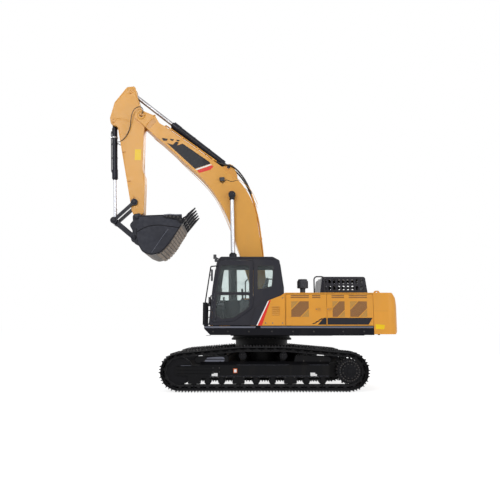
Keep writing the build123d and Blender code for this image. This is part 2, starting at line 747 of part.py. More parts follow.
def side_deck(side):
    """Platform of one side: a floor on an outer beam, with ribs below."""
    inner, outer = DECK_INNER_Y, HOUSE_HALF_WIDTH
    floor_front = DECK_FRONT_X
    deck = block(DECK_REAR_X, floor_front, inner, outer, DECK_RAIL_Z, DECK_TOP_Z)
    skirt = side_plate(
        sharp([(DECK_REAR_X, DECK_LOW_Z), (DECK_REAR_X, DECK_RAIL_Z), (floor_front, DECK_RAIL_Z),
               (floor_front - 146, DECK_LOW_Z)]),
        outer - DECK_BEAM, outer,
    )
    deck += skirt
    deck += side_plate(
        sharp([(DECK_REAR_X, DECK_LOW_Z), (DECK_REAR_X, DECK_RAIL_Z), (floor_front, DECK_RAIL_Z),
               (floor_front - 146, DECK_LOW_Z)]),
        inner, inner + DECK_RIB,
    )
    for x in DECK_RIB_X:
        deck += block(x, x + DECK_RIB, inner, outer, DECK_LOW_Z, DECK_RAIL_Z)
    return deck if side > 0 else mirror(deck, about=Plane.XZ)


def counterweight():
    """Cast weight with a bowed rear face, rounded corners and a chamfered foot."""
    half = HOUSE_HALF_WIDTH
    plan = [
        (WEIGHT_FRONT_X, half, 0), (WEIGHT_FRONT_X, -half, 0), (WEIGHT_SHOULDER_X, -half, WEIGHT_CORNER),
        (WEIGHT_SHOULDER_X - 15, -WEIGHT_SHOULDER_Y, 0), (WEIGHT_REAR_X, 0, 2500),
        (WEIGHT_SHOULDER_X - 15, WEIGHT_SHOULDER_Y, 0), (WEIGHT_SHOULDER_X, half, WEIGHT_CORNER),
    ]
    profile = [
        (WEIGHT_FRONT_X, WEIGHT_LOW_Z, 0), (WEIGHT_REAR_X + 105, WEIGHT_LOW_Z, 40), (WEIGHT_REAR_X, 1470, 60),
        (WEIGHT_REAR_X + 30, 1890, 300), (WEIGHT_REAR_X + 100, 2200, 100), (WEIGHT_REAR_X + 190, HOOD_TOP_Z, 40),
        (WEIGHT_FRONT_X, HOOD_TOP_Z, 0),
    ]
    weight = deck_plate(plan, WEIGHT_LOW_Z - 5, HOOD_TOP_Z + 5) & side_plate(profile, -half - 5, half + 5)
    for side in (-1, 1):
        hinge_y = side * (half + HINGE_OUT)
        for knuckle in upright_knuckles(WEIGHT_FRONT_X + DOOR_GAP, hinge_y, side * half, -1, DOOR_HINGE_Z, False):
            weight += knuckle
    return weight


def lifting_eyes():
    """Two lifting eyes on the counterweight."""
    eyes = []
    for side in (-1, 1):
        y = side * EYE_Y
        eye = side_plate(
            [(EYE_X - 95, HOOD_TOP_Z, 0), (EYE_X + 95, HOOD_TOP_Z, 0), (EYE_X + 60, HOOD_TOP_Z + EYE_HEIGHT, 50),
             (EYE_X - 60, HOOD_TOP_Z + EYE_HEIGHT, 50)],
            y - EYE_THICK / 2, y + EYE_THICK / 2,
        )
        eyes.append(eye - disc(EYE_X, HOOD_TOP_Z + EYE_HEIGHT * 0.5, EYE_HOLE, y - EYE_THICK, y + EYE_THICK))
    return eyes


def hood_frame():
    """Top sheet, bulkheads and posts round the engine bay."""
    half = HOUSE_HALF_WIDTH
    low = HOOD_TOP_Z - HOOD_SHEET
    inner_y = TANK_INNER_Y + SIDE_GAP
    top = deck_plate(
        sharp([(WEIGHT_FRONT_X, -half), (PUMP_DOOR_FRONT_X, -half), (PUMP_DOOR_FRONT_X, inner_y), (HOOD_FRONT_X, inner_y),
               (HOOD_FRONT_X, half), (WEIGHT_FRONT_X, half)]),
        low, HOOD_TOP_Z,
    )
    top -= block(
        COVER_REAR_X + 210, COVER_FRONT_X - HATCH_MARGIN, COVER_RIGHT_Y + HATCH_MARGIN, COVER_LEFT_Y - HATCH_MARGIN,
        low - 1, HOOD_TOP_Z + 1,
    )
    frame = top + block(
        HOOD_FRONT_X - HOOD_SHEET, HOOD_FRONT_X, inner_y, half - DOOR_THICK - SIDE_GAP, DECK_TOP_Z, low,
    )
    frame += block(HOOD_FRONT_X - 1, HOOD_FRONT_X + FLANGE, half - 60, half, DECK_TOP_Z, HOOD_TOP_Z)
    for knuckle in upright_knuckles(HOOD_FRONT_X, half + HINGE_OUT, half, 1, DOOR_HINGE_Z, False):
        frame += knuckle & block(
            HOOD_FRONT_X - KNUCKLE_RADIUS, HOOD_FRONT_X + FLANGE, half - 1, half + 2 * HINGE_OUT, DECK_TOP_Z, HOOD_TOP_Z,
        )
    hinge_z = HOOD_TOP_Z + COVER_LIFT
    for knuckle in level_knuckles(COVER_FRONT_X, hinge_z, COVER_KNUCKLE_Y, False):
        frame += knuckle
    for y in COVER_KNUCKLE_Y:
        frame += block(
            COVER_FRONT_X - HINGE_PIN, COVER_FRONT_X + HINGE_PIN, y, y + KNUCKLE_LENGTH, HOOD_TOP_Z - 1, hinge_z,
        )
    frame += block(
        HOOD_SPLIT_X - HOOD_SHEET, HOOD_SPLIT_X, inner_y + 500, half - DOOR_THICK - SIDE_GAP, DECK_TOP_Z, low,
    )
    frame += block(
        PUMP_DOOR_FRONT_X - HOOD_SHEET, PUMP_DOOR_FRONT_X, -half + DOOR_THICK + SIDE_GAP, inner_y - 200, DECK_TOP_Z, low,
    )
    return frame


def grille_door(x_front, x_rear, openings, slots):
    """Side door whose grilles are openings filled with upright slats."""
    outer = HOUSE_HALF_WIDTH
    inner = outer - DOOR_THICK
    door = block(x_rear, x_front, inner, outer, DOOR_LOW_Z, DOOR_HEAD_Z - DOOR_GAP)
    door -= block(
        x_rear + 50, x_front - 50, inner - 1, outer - 6, DOOR_LOW_Z + 50, DOOR_HEAD_Z - DOOR_GAP - 22,
    )
    for start, end in openings:
        door -= block(start, end, inner - 1, outer + 1, GRILLE_LOW_Z, GRILLE_HIGH_Z)
        count = int((end - start) // (GRILLE_SLAT * 3.4))
        for index in range(count):
            x = start + (end - start) * (index + 0.5) / count
            door += block(
                x - GRILLE_SLAT / 2, x + GRILLE_SLAT / 2, outer - 6, outer, GRILLE_LOW_Z - 1, GRILLE_HIGH_Z + 1,
            )
    for start, end in slots:
        door -= block(start, end, inner - 1, outer + 1, SLOT_LOW_Z, SLOT_HIGH_Z)
        door += block(start - 1, end + 1, outer - 6, outer, (SLOT_LOW_Z + SLOT_HIGH_Z) / 2 - 8,
                      (SLOT_LOW_Z + SLOT_HIGH_Z) / 2 + 8)
    return door


def side_door_front():
    """Door over the battery and air cleaner, hinged at its front edge."""
    door = grille_door(
        HOOD_FRONT_X - DOOR_GAP, HOOD_SPLIT_X + DOOR_GAP / 2,
        ((-1089.0, -663.0),), ((-1095.0, -655.0), (-1371.0, -1170.0)),
    )
    half = HOUSE_HALF_WIDTH
    for knuckle in upright_knuckles(HOOD_FRONT_X, half + HINGE_OUT, half, -1, DOOR_HINGE_Z, True):
        door += knuckle
    return door


def side_door_rear():
    """Door over the coolers, hinged at its rear edge."""
    rear = WEIGHT_FRONT_X + DOOR_GAP
    door = grille_door(
        HOOD_SPLIT_X - DOOR_GAP / 2, rear,
        ((-1950.0, -1654.0), (-2490.0, -2077.0)), ((-1941.0, -1639.0), (-2494.0, -2053.0)),
    )
    half = HOUSE_HALF_WIDTH
    for knuckle in upright_knuckles(rear, half + HINGE_OUT, half, 1, DOOR_HINGE_Z, True):
        door += knuckle
    return door


def pump_door():
    """Plain door over the pumps on the right, hinged at its rear edge."""
    outer = -HOUSE_HALF_WIDTH
    inner = outer + DOOR_THICK
    front = PUMP_DOOR_FRONT_X - DOOR_GAP
    rear = WEIGHT_FRONT_X + DOOR_GAP
    door = block(rear, front, outer, inner, DOOR_LOW_Z, DOOR_HEAD_Z - DOOR_GAP)
    door -= block(rear + 50, front - 50, outer + 6, inner + 1, DOOR_LOW_Z + 50, DOOR_HEAD_Z - DOOR_GAP - 50)
    for index in range(5):
        z = GRILLE_LOW_Z + 60 + index * 70
        door -= block(rear + 250, front - 250, outer - 1, inner, z, z + 24)
    for knuckle in upright_knuckles(rear, outer - HINGE_OUT, outer, 1, DOOR_HINGE_Z, True):
        door += knuckle
    return door


def engine_hood():
    """Raised cover over the engine with rows of long slots, hinged at its front."""
    low = HOOD_TOP_Z + COVER_LIFT
    slope = COVER_SLOPE
    profile = [
        (COVER_FRONT_X, low, 0), (COVER_FRONT_X - slope, COVER_TOP_Z, 60), (COVER_REAR_X + slope, COVER_TOP_Z, 60),
        (COVER_REAR_X, low, 0),
    ]
    inner = [
        (COVER_FRONT_X - COVER_WALL, low - 1, 0), (COVER_FRONT_X - slope - COVER_WALL, COVER_TOP_Z - COVER_WALL, 50),
        (COVER_REAR_X + slope + COVER_WALL, COVER_TOP_Z - COVER_WALL, 50), (COVER_REAR_X + COVER_WALL, low - 1, 0),
    ]
    cover = side_plate(profile, COVER_RIGHT_Y, COVER_LEFT_Y)
    cover -= side_plate(inner, COVER_RIGHT_Y + COVER_WALL, COVER_LEFT_Y - COVER_WALL)
    for row_z in (low + 120, low + 290):
        for column in range(9):
            x = COVER_FRONT_X - slope - 75 - column * 118
            half, cut = SLOT_WIDTH / 2, SLOT_WIDTH * 0.28
            top = row_z + SLOT_LENGTH
            outline = sharp([
                (x - half, row_z + cut), (x - half, top - cut), (x - half + cut, top), (x + half - cut, top),
                (x + half, top - cut), (x + half, row_z + cut), (x + half - cut, row_z), (x - half + cut, row_z),
            ])
            cover -= side_plate(outline, COVER_RIGHT_Y - 1, COVER_LEFT_Y + 1)
    for y in COVER_KNUCKLE_Y:
        cover -= block(
            COVER_FRONT_X - 2 * KNUCKLE_RADIUS, COVER_FRONT_X + 1, y - RUNNING_GAP, y + KNUCKLE_LENGTH + SIDE_GAP,
            low - 1, low + 2 * KNUCKLE_RADIUS,
        )
        cover -= disc(COVER_FRONT_X, low, HINGE_PIN + RUNNING_GAP, y - KNUCKLE_LENGTH - 1, y)
    for knuckle in level_knuckles(COVER_FRONT_X, low, COVER_KNUCKLE_Y, True):
        cover += knuckle
    return cover


def engine_block():
    """Engine as one heavy block under the raised cover."""
    return block(-2450, -1700, -700, 520, DECK_TOP_Z, 2280)


def radiator_pack():
    """Coolers that show through the rear side door's grilles."""
    return block(-2560, HOOD_SPLIT_X - 120, 1180, 1340, DECK_TOP_Z, 2240)


def air_cleaner():
    """Pre-cleaner bowl on its neck, on the hood."""
    x, y = -1012.0, 900.0
    neck = drum(x, y, 66, HOOD_TOP_Z, HOOD_TOP_Z + 150)
    bowl = drum(x, y, 137, HOOD_TOP_Z + 150, HOOD_TOP_Z + 330)
    cap = drum(x, y, 110, HOOD_TOP_Z + 330, HOOD_TOP_Z + 372)
    return neck + bowl + cap


def exhaust():
    """Tail pipe behind the raised cover."""
    x, y = EXHAUST_PLACE
    pipe = drum(x, y, EXHAUST_RADIUS, HOOD_TOP_Z, EXHAUST_TOP_Z)
    mouth = Box(400, 200, 120, align=(Align.CENTER, Align.CENTER, Align.MIN))
    return pipe - Pos(x, y, EXHAUST_TOP_Z) * Rot(0, -40, 0) * mouth


def right_tanks():
    """Hydraulic tank and fuel tank."""
    tanks = []
    for rear, front in (OIL_TANK_X, FUEL_TANK_X):
        tanks.append(deck_plate(
            [(rear, -HOUSE_HALF_WIDTH, 40), (front, -HOUSE_HALF_WIDTH, 40), (front, TANK_INNER_Y, 40),
             (rear, TANK_INNER_Y, 40)],
            DECK_TOP_Z, TANK_TOP_Z,
        ))
    return tanks


def toolbox():
    """Open box in front of the fuel tank."""
    rear, front = TOOLBOX_X
    half = HOUSE_HALF_WIDTH
    box = block(rear, front, -half, TANK_INNER_Y, DECK_TOP_Z, TOOLBOX_TOP_Z)
    return box - block(
        rear + TOOLBOX_WALL, front - TOOLBOX_WALL, -half + TOOLBOX_WALL, TANK_INNER_Y - TOOLBOX_WALL,
        DECK_TOP_Z + TOOLBOX_WALL, TOOLBOX_TOP_Z + 1,
    ) + [
        knuckle + block(rear - KNUCKLE_RADIUS, rear + 2, y, y + KNUCKLE_LENGTH, TOOLBOX_TOP_Z - 60, LID_TOP_Z)
        for knuckle, y in zip(level_knuckles(rear, LID_TOP_Z, LID_KNUCKLE_Y, False), LID_KNUCKLE_Y)
    ]


def toolbox_lid():
    """Chequered lid, hinged at the rear."""
    rear, front = TOOLBOX_X
    low = TOOLBOX_TOP_Z + SIDE_GAP
    lid = block(rear, front, -HOUSE_HALF_WIDTH, TANK_INNER_Y, low, LID_TOP_Z)
    for y in LID_KNUCKLE_Y:
        lid -= block(
            rear - 1, rear + 2 * KNUCKLE_RADIUS, y - RUNNING_GAP, y + KNUCKLE_LENGTH + SIDE_GAP, low - 1, LID_TOP_Z + 1,
        )
        lid -= disc(rear, LID_TOP_Z, HINGE_PIN + RUNNING_GAP, y - KNUCKLE_LENGTH - 1, y)
    for knuckle in level_knuckles(rear, LID_TOP_Z, LID_KNUCKLE_Y, True):
        lid += knuckle
    return lid


def step_box():
    """Steps up the toolbox's front, between two upright plates."""
    rear = TOOLBOX_X[1]
    front = rear + STEP_REACH
    low, high = STEP_Z[0] - 2 * STEP_PLATE, STEP_Z[-1] + STEP_RISE
    steps = block(front - STEP_DEPTH, front, STEP_Y[0], STEP_Y[0] + STEP_PLATE, low, high)
    steps += block(front - STEP_DEPTH, front, STEP_Y[1] - STEP_PLATE, STEP_Y[1], low, high)
    for z in STEP_Z:
        steps += block(rear, front, STEP_Y[0] + 1, STEP_Y[1] - 1, z - STEP_PLATE, z)
    return steps


def handrails():
    """Rails along the right walkway and on the hood."""
    rails = []
    right = -HOUSE_HALF_WIDTH + 60
    low = TANK_TOP_Z
    rails.append(tube_run(
        [(FUEL_TANK_X[0] + 40, right, low), (FUEL_TANK_X[0] + 40, right, low + 620),
         (FUEL_TANK_X[1] - 60, right, low + 620), (FUEL_TANK_X[1] - 60, right, low)], 19, 120,
    ))
    rails.append(tube_run(
        [(-1321, 760, HOOD_TOP_Z), (-1321, 760, 2783), (-1594, 760, 2783), (-1594, 760, HOOD_TOP_Z)], 17, 80,
    ))
    rails.append(tube_run(
        [(TOOLBOX_X[1], right, TOOLBOX_TOP_Z - 420), (TOOLBOX_X[1] + RAIL_STAND, right, TOOLBOX_TOP_Z - 420),
         (TOOLBOX_X[1] + RAIL_STAND, right, TOOLBOX_TOP_Z + 400),
         (TOOLBOX_X[1] + RAIL_STAND - 80, right, TOOLBOX_TOP_Z + 470)], 17, 28,
    ))
    return rails


# Cab


def cab_profile(inset):
    """Side outline of the cab, drawn in by an inset."""
    return [
        (1313 - inset, CAB_FLOOR_Z + inset, 30), (1261 - inset, 2072, 600), (1117 - inset, 3100 - inset, 60),
        (1040 - inset, CAB_TOP_Z - inset, 80), (-233 + inset, CAB_TOP_Z - inset, 90), (-395 + inset, 3118 - inset, 60),
        (CAB_REAR_X + inset, 2453, 200), (CAB_REAR_X + inset, CAB_FLOOR_Z + inset, 30),
    ]


def door_outline(inset):
    """Outline of the door in the cab's near side."""
    return [
        (DOOR_HINGE_X + inset, 3120 - inset, 70), (DOOR_HINGE_X + inset, 1960 + inset, 220),
        (700 + inset * 0.4, 1640 + inset, 160), (1255 - inset, 1610 + inset, 60), (1215 - inset, 2080, 600),
        (1075 - inset, 3120 - inset, 70),
    ]


def quarter_window():
    """Outline of the glass behind the door."""
    return [(150, 2990, 45), (150, 2385, 60), (-215, 2470, 60), (-265, 2990, 60)]


def right_window():
    """Outline of the glass on the boom side."""
    return [(1000, 3000, 60), (1110, 2180, 60), (-300, 2180, 60), (-300, 3000, 60)]


def cab_shell():
    """Hollow cab with its door opening and windows cut."""
    shell = side_plate(cab_profile(0), CAB_INNER_Y, CAB_OUTER_Y)
    for x in CAB_FOOT_X:
        for y in (CAB_INNER_Y + 120, CAB_OUTER_Y - 120):
            shell += drum(x, y, CAB_FOOT_RADIUS, DECK_TOP_Z, CAB_FLOOR_Z + 1)
    shell -= side_plate(cab_profile(CAB_WALL), CAB_INNER_Y + CAB_WALL, CAB_OUTER_Y - CAB_WALL)
    near = (CAB_OUTER_Y - CAB_WALL - SIDE_GAP, CAB_OUTER_Y + 1)
    far = (CAB_INNER_Y - 1, CAB_INNER_Y + CAB_WALL + 1)
    shell -= side_plate(door_outline(0), *near)
    shell -= side_plate(quarter_window(), *near)
    shell -= side_plate(right_window(), *far)
    y_low, y_high = CAB_INNER_Y + PILLAR, CAB_OUTER_Y - PILLAR
    shell -= cross_plate(
        [(y_low, 2110, 50), (y_high, 2110, 50), (y_high, 3030, 70), (y_low, 3030, 70)], 1000, 1400,
    )
    shell -= cross_plate(
        [(y_low, 1640, 40), (y_high, 1640, 40), (y_high, 2050, 40), (y_low, 2050, 40)], 1150, 1400,
    )
    shell -= cross_plate(
        [(y_low, 2420, 60), (y_high, 2420, 60), (y_high, 3040, 60), (y_low, 3040, 60)], -600, -300,
    )
    shell -= deck_plate(
        [(350, y_low + 60, 60), (900, y_low + 60, 60), (900, y_high - 60, 60), (350, y_high - 60, 60)],
        CAB_TOP_Z - CAB_WALL - 1, CAB_TOP_Z + 1,
    )
    hinge_y = CAB_OUTER_Y + CAB_HINGE_OUT
    for knuckle in upright_knuckles(DOOR_HINGE_X, hinge_y, CAB_OUTER_Y, -1, CAB_HINGE_Z, False):
        shell += knuckle
    return shell


def cab_glass():
    """Fixed panes, each set in the middle of its wall."""
    middle = (CAB_WALL - GLASS) / 2
    profile_band = side_plate(cab_profile(middle), CAB_INNER_Y, CAB_OUTER_Y)
    profile_band -= side_plate(cab_profile(middle + GLASS), CAB_INNER_Y - 1, CAB_OUTER_Y + 1)
    y_low, y_high = CAB_INNER_Y + PILLAR, CAB_OUTER_Y - PILLAR
    panes = [
        side_plate(quarter_window(), CAB_OUTER_Y - middle - GLASS, CAB_OUTER_Y - middle),
        side_plate(right_window(), CAB_INNER_Y + middle, CAB_INNER_Y + middle + GLASS),
        profile_band & cross_plate(
            [(y_low, 2110, 50), (y_high, 2110, 50), (y_high, 3030, 70), (y_low, 3030, 70)], 1000, 1400),
        profile_band & cross_plate(
            [(y_low, 1640, 40), (y_high, 1640, 40), (y_high, 2050, 40), (y_low, 2050, 40)], 1150, 1400),
        profile_band & cross_plate(
            [(y_low, 2420, 60), (y_high, 2420, 60), (y_high, 3040, 60), (y_low, 3040, 60)], -600, -300),
        profile_band & deck_plate(
            [(350, y_low + 60, 60), (900, y_low + 60, 60), (900, y_high - 60, 60), (350, y_high - 60, 60)],
            CAB_TOP_Z - CAB_WALL - 1, CAB_TOP_Z + 1),
    ]
    return panes


def window_holes():
    """Upper and lower outline of the door's glass."""
    upper = [(330, 3000, 60), (330, BELT_Z + BELT_BAR / 2, 30), (1150, BELT_Z + BELT_BAR / 2, 30), (1035, 3000, 60)]
    lower = [
        (330, BELT_Z - BELT_BAR / 2, 30), (330, 2000, 120), (720, 1715, 120), (1010, 1690, 60), (1150, 1800, 60),
        (1140, BELT_Z - BELT_BAR / 2, 30),
    ]
    return upper, lower


def cab_door():
    """Door frame with two panes' openings."""
    door = side_plate(door_outline(DOOR_GAP), CAB_OUTER_Y - CAB_WALL, CAB_OUTER_Y)
    for hole in window_holes():
        door -= side_plate(hole, CAB_OUTER_Y - CAB_WALL - 1, CAB_OUTER_Y + 1)
    hinge_y = CAB_OUTER_Y + CAB_HINGE_OUT
    for knuckle in upright_knuckles(DOOR_HINGE_X, hinge_y, CAB_OUTER_Y, 1, CAB_HINGE_Z, True):
        door += knuckle
    return door + block(1150, 1190, CAB_OUTER_Y - 1, CAB_OUTER_Y + 30, 1680, 1790)


def cab_door_glass():
    """The door's two panes."""
    middle = (CAB_WALL - GLASS) / 2
    return [side_plate(hole, CAB_OUTER_Y - middle - GLASS, CAB_OUTER_Y - middle) for hole in window_holes()]


def operator_seat():
    """Seat on its box."""
    y = (CAB_INNER_Y + CAB_OUTER_Y) / 2
    floor = CAB_FLOOR_Z + CAB_WALL
    seat = block(-80, 420, y - 230, y + 230, floor, floor + 330)
    seat += side_plate(
        [(-90, floor + 330, 0), (450, floor + 330, 30), (450, floor + 470, 60), (-90, floor + 430, 30)], y - 250, y + 250,
    )
    seat += side_plate(
        [(-100, floor + 400, 30), (60, floor + 400, 30), (-20, floor + 1080, 60), (-160, floor + 1060, 60)], y - 240, y + 240,
    )
    return seat


def cab_consoles():
    """Arm consoles with levers, and the front control column."""
    y = (CAB_INNER_Y + CAB_OUTER_Y) / 2
    floor = CAB_FLOOR_Z + CAB_WALL
    consoles = []
    for side in (-1, 1):
        low_y, high_y = sorted((y + side * 260, y + side * 380))
        console = block(60, 560, low_y, high_y, floor, floor + 560)
        console += drum(500, (low_y + high_y) / 2, 22, floor + 560, floor + 740)
        consoles.append(console)
    column = block(930, 1010, y - 260, y + 260, floor, floor + 60)
    for side in (-1, 1):
        column += drum(970, y + side * 60, 16, floor + 60, floor + 620)
    consoles.append(column)
    return consoles


def cab_lower_panel():
    """Painted panel along the cab's lower rear edge, with its louvre."""
    outer = CAB_OUTER_Y
    panel = side_plate(
        [(-520, DOOR_LOW_Z, 0), (300, DOOR_LOW_Z, 0), (185, 1960, 60), (-123, 2140, 60), (-420, 2255, 40), (-520, 2326, 0)],
        outer, outer + PANEL_THICK,
    )
    for index in range(5):
        z = 1780 + index * 46
        panel -= block(-397, -210, outer + PANEL_THICK / 2, outer + PANEL_THICK + 1, z, z + 20)
    return panel


def front_step():
    """Black step box and grab rail ahead of the cab."""
    return block(1330, DECK_FRONT_X + 14, 1180, 1490, DECK_TOP_Z, 1600) + grab_rail()


def grab_rail():
    """Thin rail from the step up to the cab's front pillar."""
    y = CAB_OUTER_Y + GRAB_RADIUS + RUNNING_GAP
    return tube_run([(1395, y, 1595), (1395, y, 2100), (1270, y, 2960), (1105, y, 2975)], GRAB_RADIUS, 30)


def mirrors():
    """Left mirror on its arm, and right mirror on the toolbox rail."""
    rail_y = CAB_OUTER_Y + GRAB_RADIUS
    left = block(1235, 1262, rail_y - 85, rail_y + 95, 2610, 2880)
    arm = bar((1261, rail_y, 2750), (1300, rail_y, 2750), 10) - grab_rail()
    rail_y = -HOUSE_HALF_WIDTH + 60
    rail_x = TOOLBOX_X[1] + RAIL_STAND
    right = block(rail_x + 35, rail_x + 62, rail_y - 120, rail_y + 60, 2120, 2390)
    post = bar((rail_x + 36, rail_y, 2240), (rail_x + 17.5, rail_y, 2240), 12)
    return [left + arm, right + post]


def cab_lamps():
    """Work lamps on the cab roof's front edge and a beacon stub."""
    lamps = []
    for y in (CAB_INNER_Y + 200, CAB_OUTER_Y - 200):
        lamp = block(1150, 1215, y - 60, y + 60, CAB_TOP_Z - 28, CAB_TOP_Z + 72)
        lamp += bar((1180, y, CAB_TOP_Z + 10), (1040, y, CAB_TOP_Z - 60), 16)
        lamps.append(lamp - side_plate(cab_profile(0), CAB_INNER_Y, CAB_OUTER_Y))
    return lamps


# Boom


def boom_outline():
    """Side outline of the boom's box, from its foot over the knee to the nose."""
    return [
        (BOOM_FOOT_X - 130, BOOM_FOOT_Z + 60, 60), (BOOM_FOOT_X - 130, 2700, 900), (*BOOM_TOP_LOW, 2000),
        (*BOOM_TOP_HIGH, 60), (2810, 7085, 60), (2930, 7290, 60), (ARM_PIVOT_X + 106, ARM_PIVOT_Z + 194, 120),
        (ARM_PIVOT_X + 211, ARM_PIVOT_Z - 31, 100), (1104, 5060, 3600), (BOOM_FOOT_X + 215, 2350, 400),
        (BOOM_FOOT_X + 130, BOOM_FOOT_Z, 60),
    ]


def nose_gap():
    """Room for the arm between the two cheeks of the boom's nose."""
    ux, uz = cos(radians(40)), sin(radians(40))

    def at(along, across):
        return (ARM_PIVOT_X - ux * along - uz * across, ARM_PIVOT_Z - uz * along + ux * across)

    rise = 60.0
    return side_plate(
        sharp([at(NOSE_WEB + 80, -400), at(NOSE_WEB, rise),
               at(NOSE_WEB + 400 * NOSE_WEB_SLOPE, rise + 400), at(-400, 500),
               at(-400, -400)]),
        -NOSE_GAP_Y, NOSE_GAP_Y,
    )


def boom():
    """Cranked box boom with its foot, ears for the arm cylinder, lift bosses and nose fork."""
    body = side_plate(boom_outline(), -BOOM_HALF, BOOM_HALF)
    foot_half = MAIN_PLATE_Y - SIDE_GAP
    body += disc(BOOM_FOOT_X, BOOM_FOOT_Z, BOOM_FOOT_RADIUS, -foot_half, foot_half)
    body -= disc(BOOM_FOOT_X, BOOM_FOOT_Z, FOOT_PIN_RADIUS + RUNNING_GAP, -foot_half - 1, foot_half + 1)
    body -= nose_gap()
    for side in (-1, 1):
        inner, outer = sorted((side * (BOOM_HALF - 1), side * LIFT_BOSS_Y))
        body += disc(LIFT_EYE_X, LIFT_EYE_Z, LIFT_BOSS_RADIUS, inner, outer)
        near = ARM_CYL_EYE_WIDTH / 2 + SIDE_GAP
        inner, outer = sorted((side * near, side * (near + EAR_PLATE)))
        body += side_plate(
            [(700, 5520, 0), (640, 5600, 60), (760, ARM_CYL_FOOT_Z + 40, 60),
             (ARM_CYL_FOOT_X - 20, ARM_CYL_FOOT_Z + 95, 80),
             (ARM_CYL_FOOT_X + 140, ARM_CYL_FOOT_Z + 20, 80), (1180, 5800, 0), (1000, 5600, 0)],
            inner, outer,
        )
    body -= disc(ARM_PIVOT_X, ARM_PIVOT_Z, PIVOT_PIN_RADIUS + RUNNING_GAP, -BOOM_HALF * 2, BOOM_HALF * 2)
    body -= disc(ARM_CYL_FOOT_X, ARM_CYL_FOOT_Z, ARM_PIN_RADIUS, -BOOM_HALF, BOOM_HALF)
    body -= disc(ARM_CYL_FOOT_X, ARM_CYL_FOOT_Z, ARM_EYE_RADIUS + SIDE_GAP * 2, -ARM_CYL_EYE_WIDTH / 2 - SIDE_GAP,
                 ARM_CYL_EYE_WIDTH / 2 + SIDE_GAP)
    return body


def boom_pins():
    """Arm pivot pin, arm cylinder foot pin, carried by the boom."""
    wide = BOOM_HALF + 14
    pins = [disc(ARM_PIVOT_X, ARM_PIVOT_Z, PIVOT_PIN_RADIUS, -wide, wide)]
    wide = ARM_CYL_EYE_WIDTH / 2 + SIDE_GAP + EAR_PLATE + 12
    pins.append(disc(ARM_CYL_FOOT_X, ARM_CYL_FOOT_Z, ARM_PIN_RADIUS, -wide, wide))
    return pins


def frame_pins():
    """Boom foot pin and the two lift cylinder foot pins, carried by the house."""
    wide = MAIN_PLATE_Y + MAIN_PLATE + 14
    pins = [disc(BOOM_FOOT_X, BOOM_FOOT_Z, FOOT_PIN_RADIUS, -wide, wide)]
    pins += both_sides(disc(
        LIFT_FOOT_X, LIFT_FOOT_Z, LIFT_PIN_RADIUS, MAIN_PLATE_Y + MAIN_PLATE, LIFT_Y + LIFT_EYE_WIDTH / 2 + 16,
    ))
    return pins


def boom_lines():
    """Pairs of oil pipes along the boom's straight top, on clamp blocks."""
    (x1, z1), (x2, z2) = BOOM_TOP_LOW, BOOM_TOP_HIGH
    run = hypot(x2 - x1, z2 - z1)
    ux, uz = (x2 - x1) / run, (z2 - z1) / run

    def at(along, height):
        return (x1 + ux * along - uz * height, z1 + uz * along + ux * height)

    sets = []
    for side in (-1, 1):
        lines = None
        for offset in (120, 165):
            (ax, az), (bx, bz) = at(1250, LINE_HEIGHT), at(run - 80, LINE_HEIGHT)
            pipe = flat_bar((ax, side * offset, az), (bx, side * offset, bz), LINE_RADIUS)
            lines = pipe if lines is None else lines + pipe
        low, high = sorted((side * 92, side * 193))
        for along in (1320, 1850, 2380, run - 180):
            lines += side_plate(sharp([
                at(along, 0), at(along + 60, 0), at(along + 60, LINE_HEIGHT + 6), at(along, LINE_HEIGHT + 6),
            ]), low, high)
        sets.append(lines)
    return sets


def boom_lamp():
    """Work lamp on the boom's near side."""
    x, z = 1060.0, 5480.0
    return block(x - 60, x + 60, BOOM_HALF, BOOM_HALF + 70, z - 50, z + 50)


# Cylinders


def cylinder_barrel(foot, head, y, width, eye, bore_pin, barrel, gland, length):
    """Barrel with its foot eye, welded tube and gland, from foot toward head."""
    (x1, z1), (x2, z2) = foot, head
    reach = hypot(x2 - x1, z2 - z1)
    ux, uz = (x2 - x1) / reach, (z2 - z1) / reach
    start = (x1 + ux * BARREL_START, y, z1 + uz * BARREL_START)
    root = (x1 + ux * eye * 0.5, y, z1 + uz * eye * 0.5)
    end = (x1 + ux * length, y, z1 + uz * length)
    neck = (x1 + ux * (length - GLAND_LENGTH), y, z1 + uz * (length - GLAND_LENGTH))
    body = bar(root, start, width / 2 - 4) + bar(start, neck, barrel) + bar(neck, end, gland)
    body += disc(x1, z1, eye, y - width / 2, y + width / 2)
    body -= disc(x1, z1, bore_pin + RUNNING_GAP, y - barrel * 2, y + barrel * 2)
    return body


def cylinder_rod(foot, head, y, width, eye, rod, inside):
    """Rod from inside its gland to its eye, with its pin in the eye."""
    (x1, z1), (x2, z2) = foot, head
    reach = hypot(x2 - x1, z2 - z1)
    ux, uz = (x2 - x1) / reach, (z2 - z1) / reach
    start = (x1 + ux * inside, y, z1 + uz * inside)
    body = bar(start, (x2, y, z2), rod)
    return body + disc(x2, z2, eye, y - width / 2, y + width / 2)


def hollow(body, foot, head, y, rod, inside, length):
    """Bore of a barrel, open at the gland, so that the rod slides in it."""
    (x1, z1), (x2, z2) = foot, head
    reach = hypot(x2 - x1, z2 - z1)
    ux, uz = (x2 - x1) / reach, (z2 - z1) / reach
    start = (x1 + ux * inside, y, z1 + uz * inside)
    end = (x1 + ux * (length + 5), y, z1 + uz * (length + 5))
    return body - bar(start, end, rod + RUNNING_GAP)


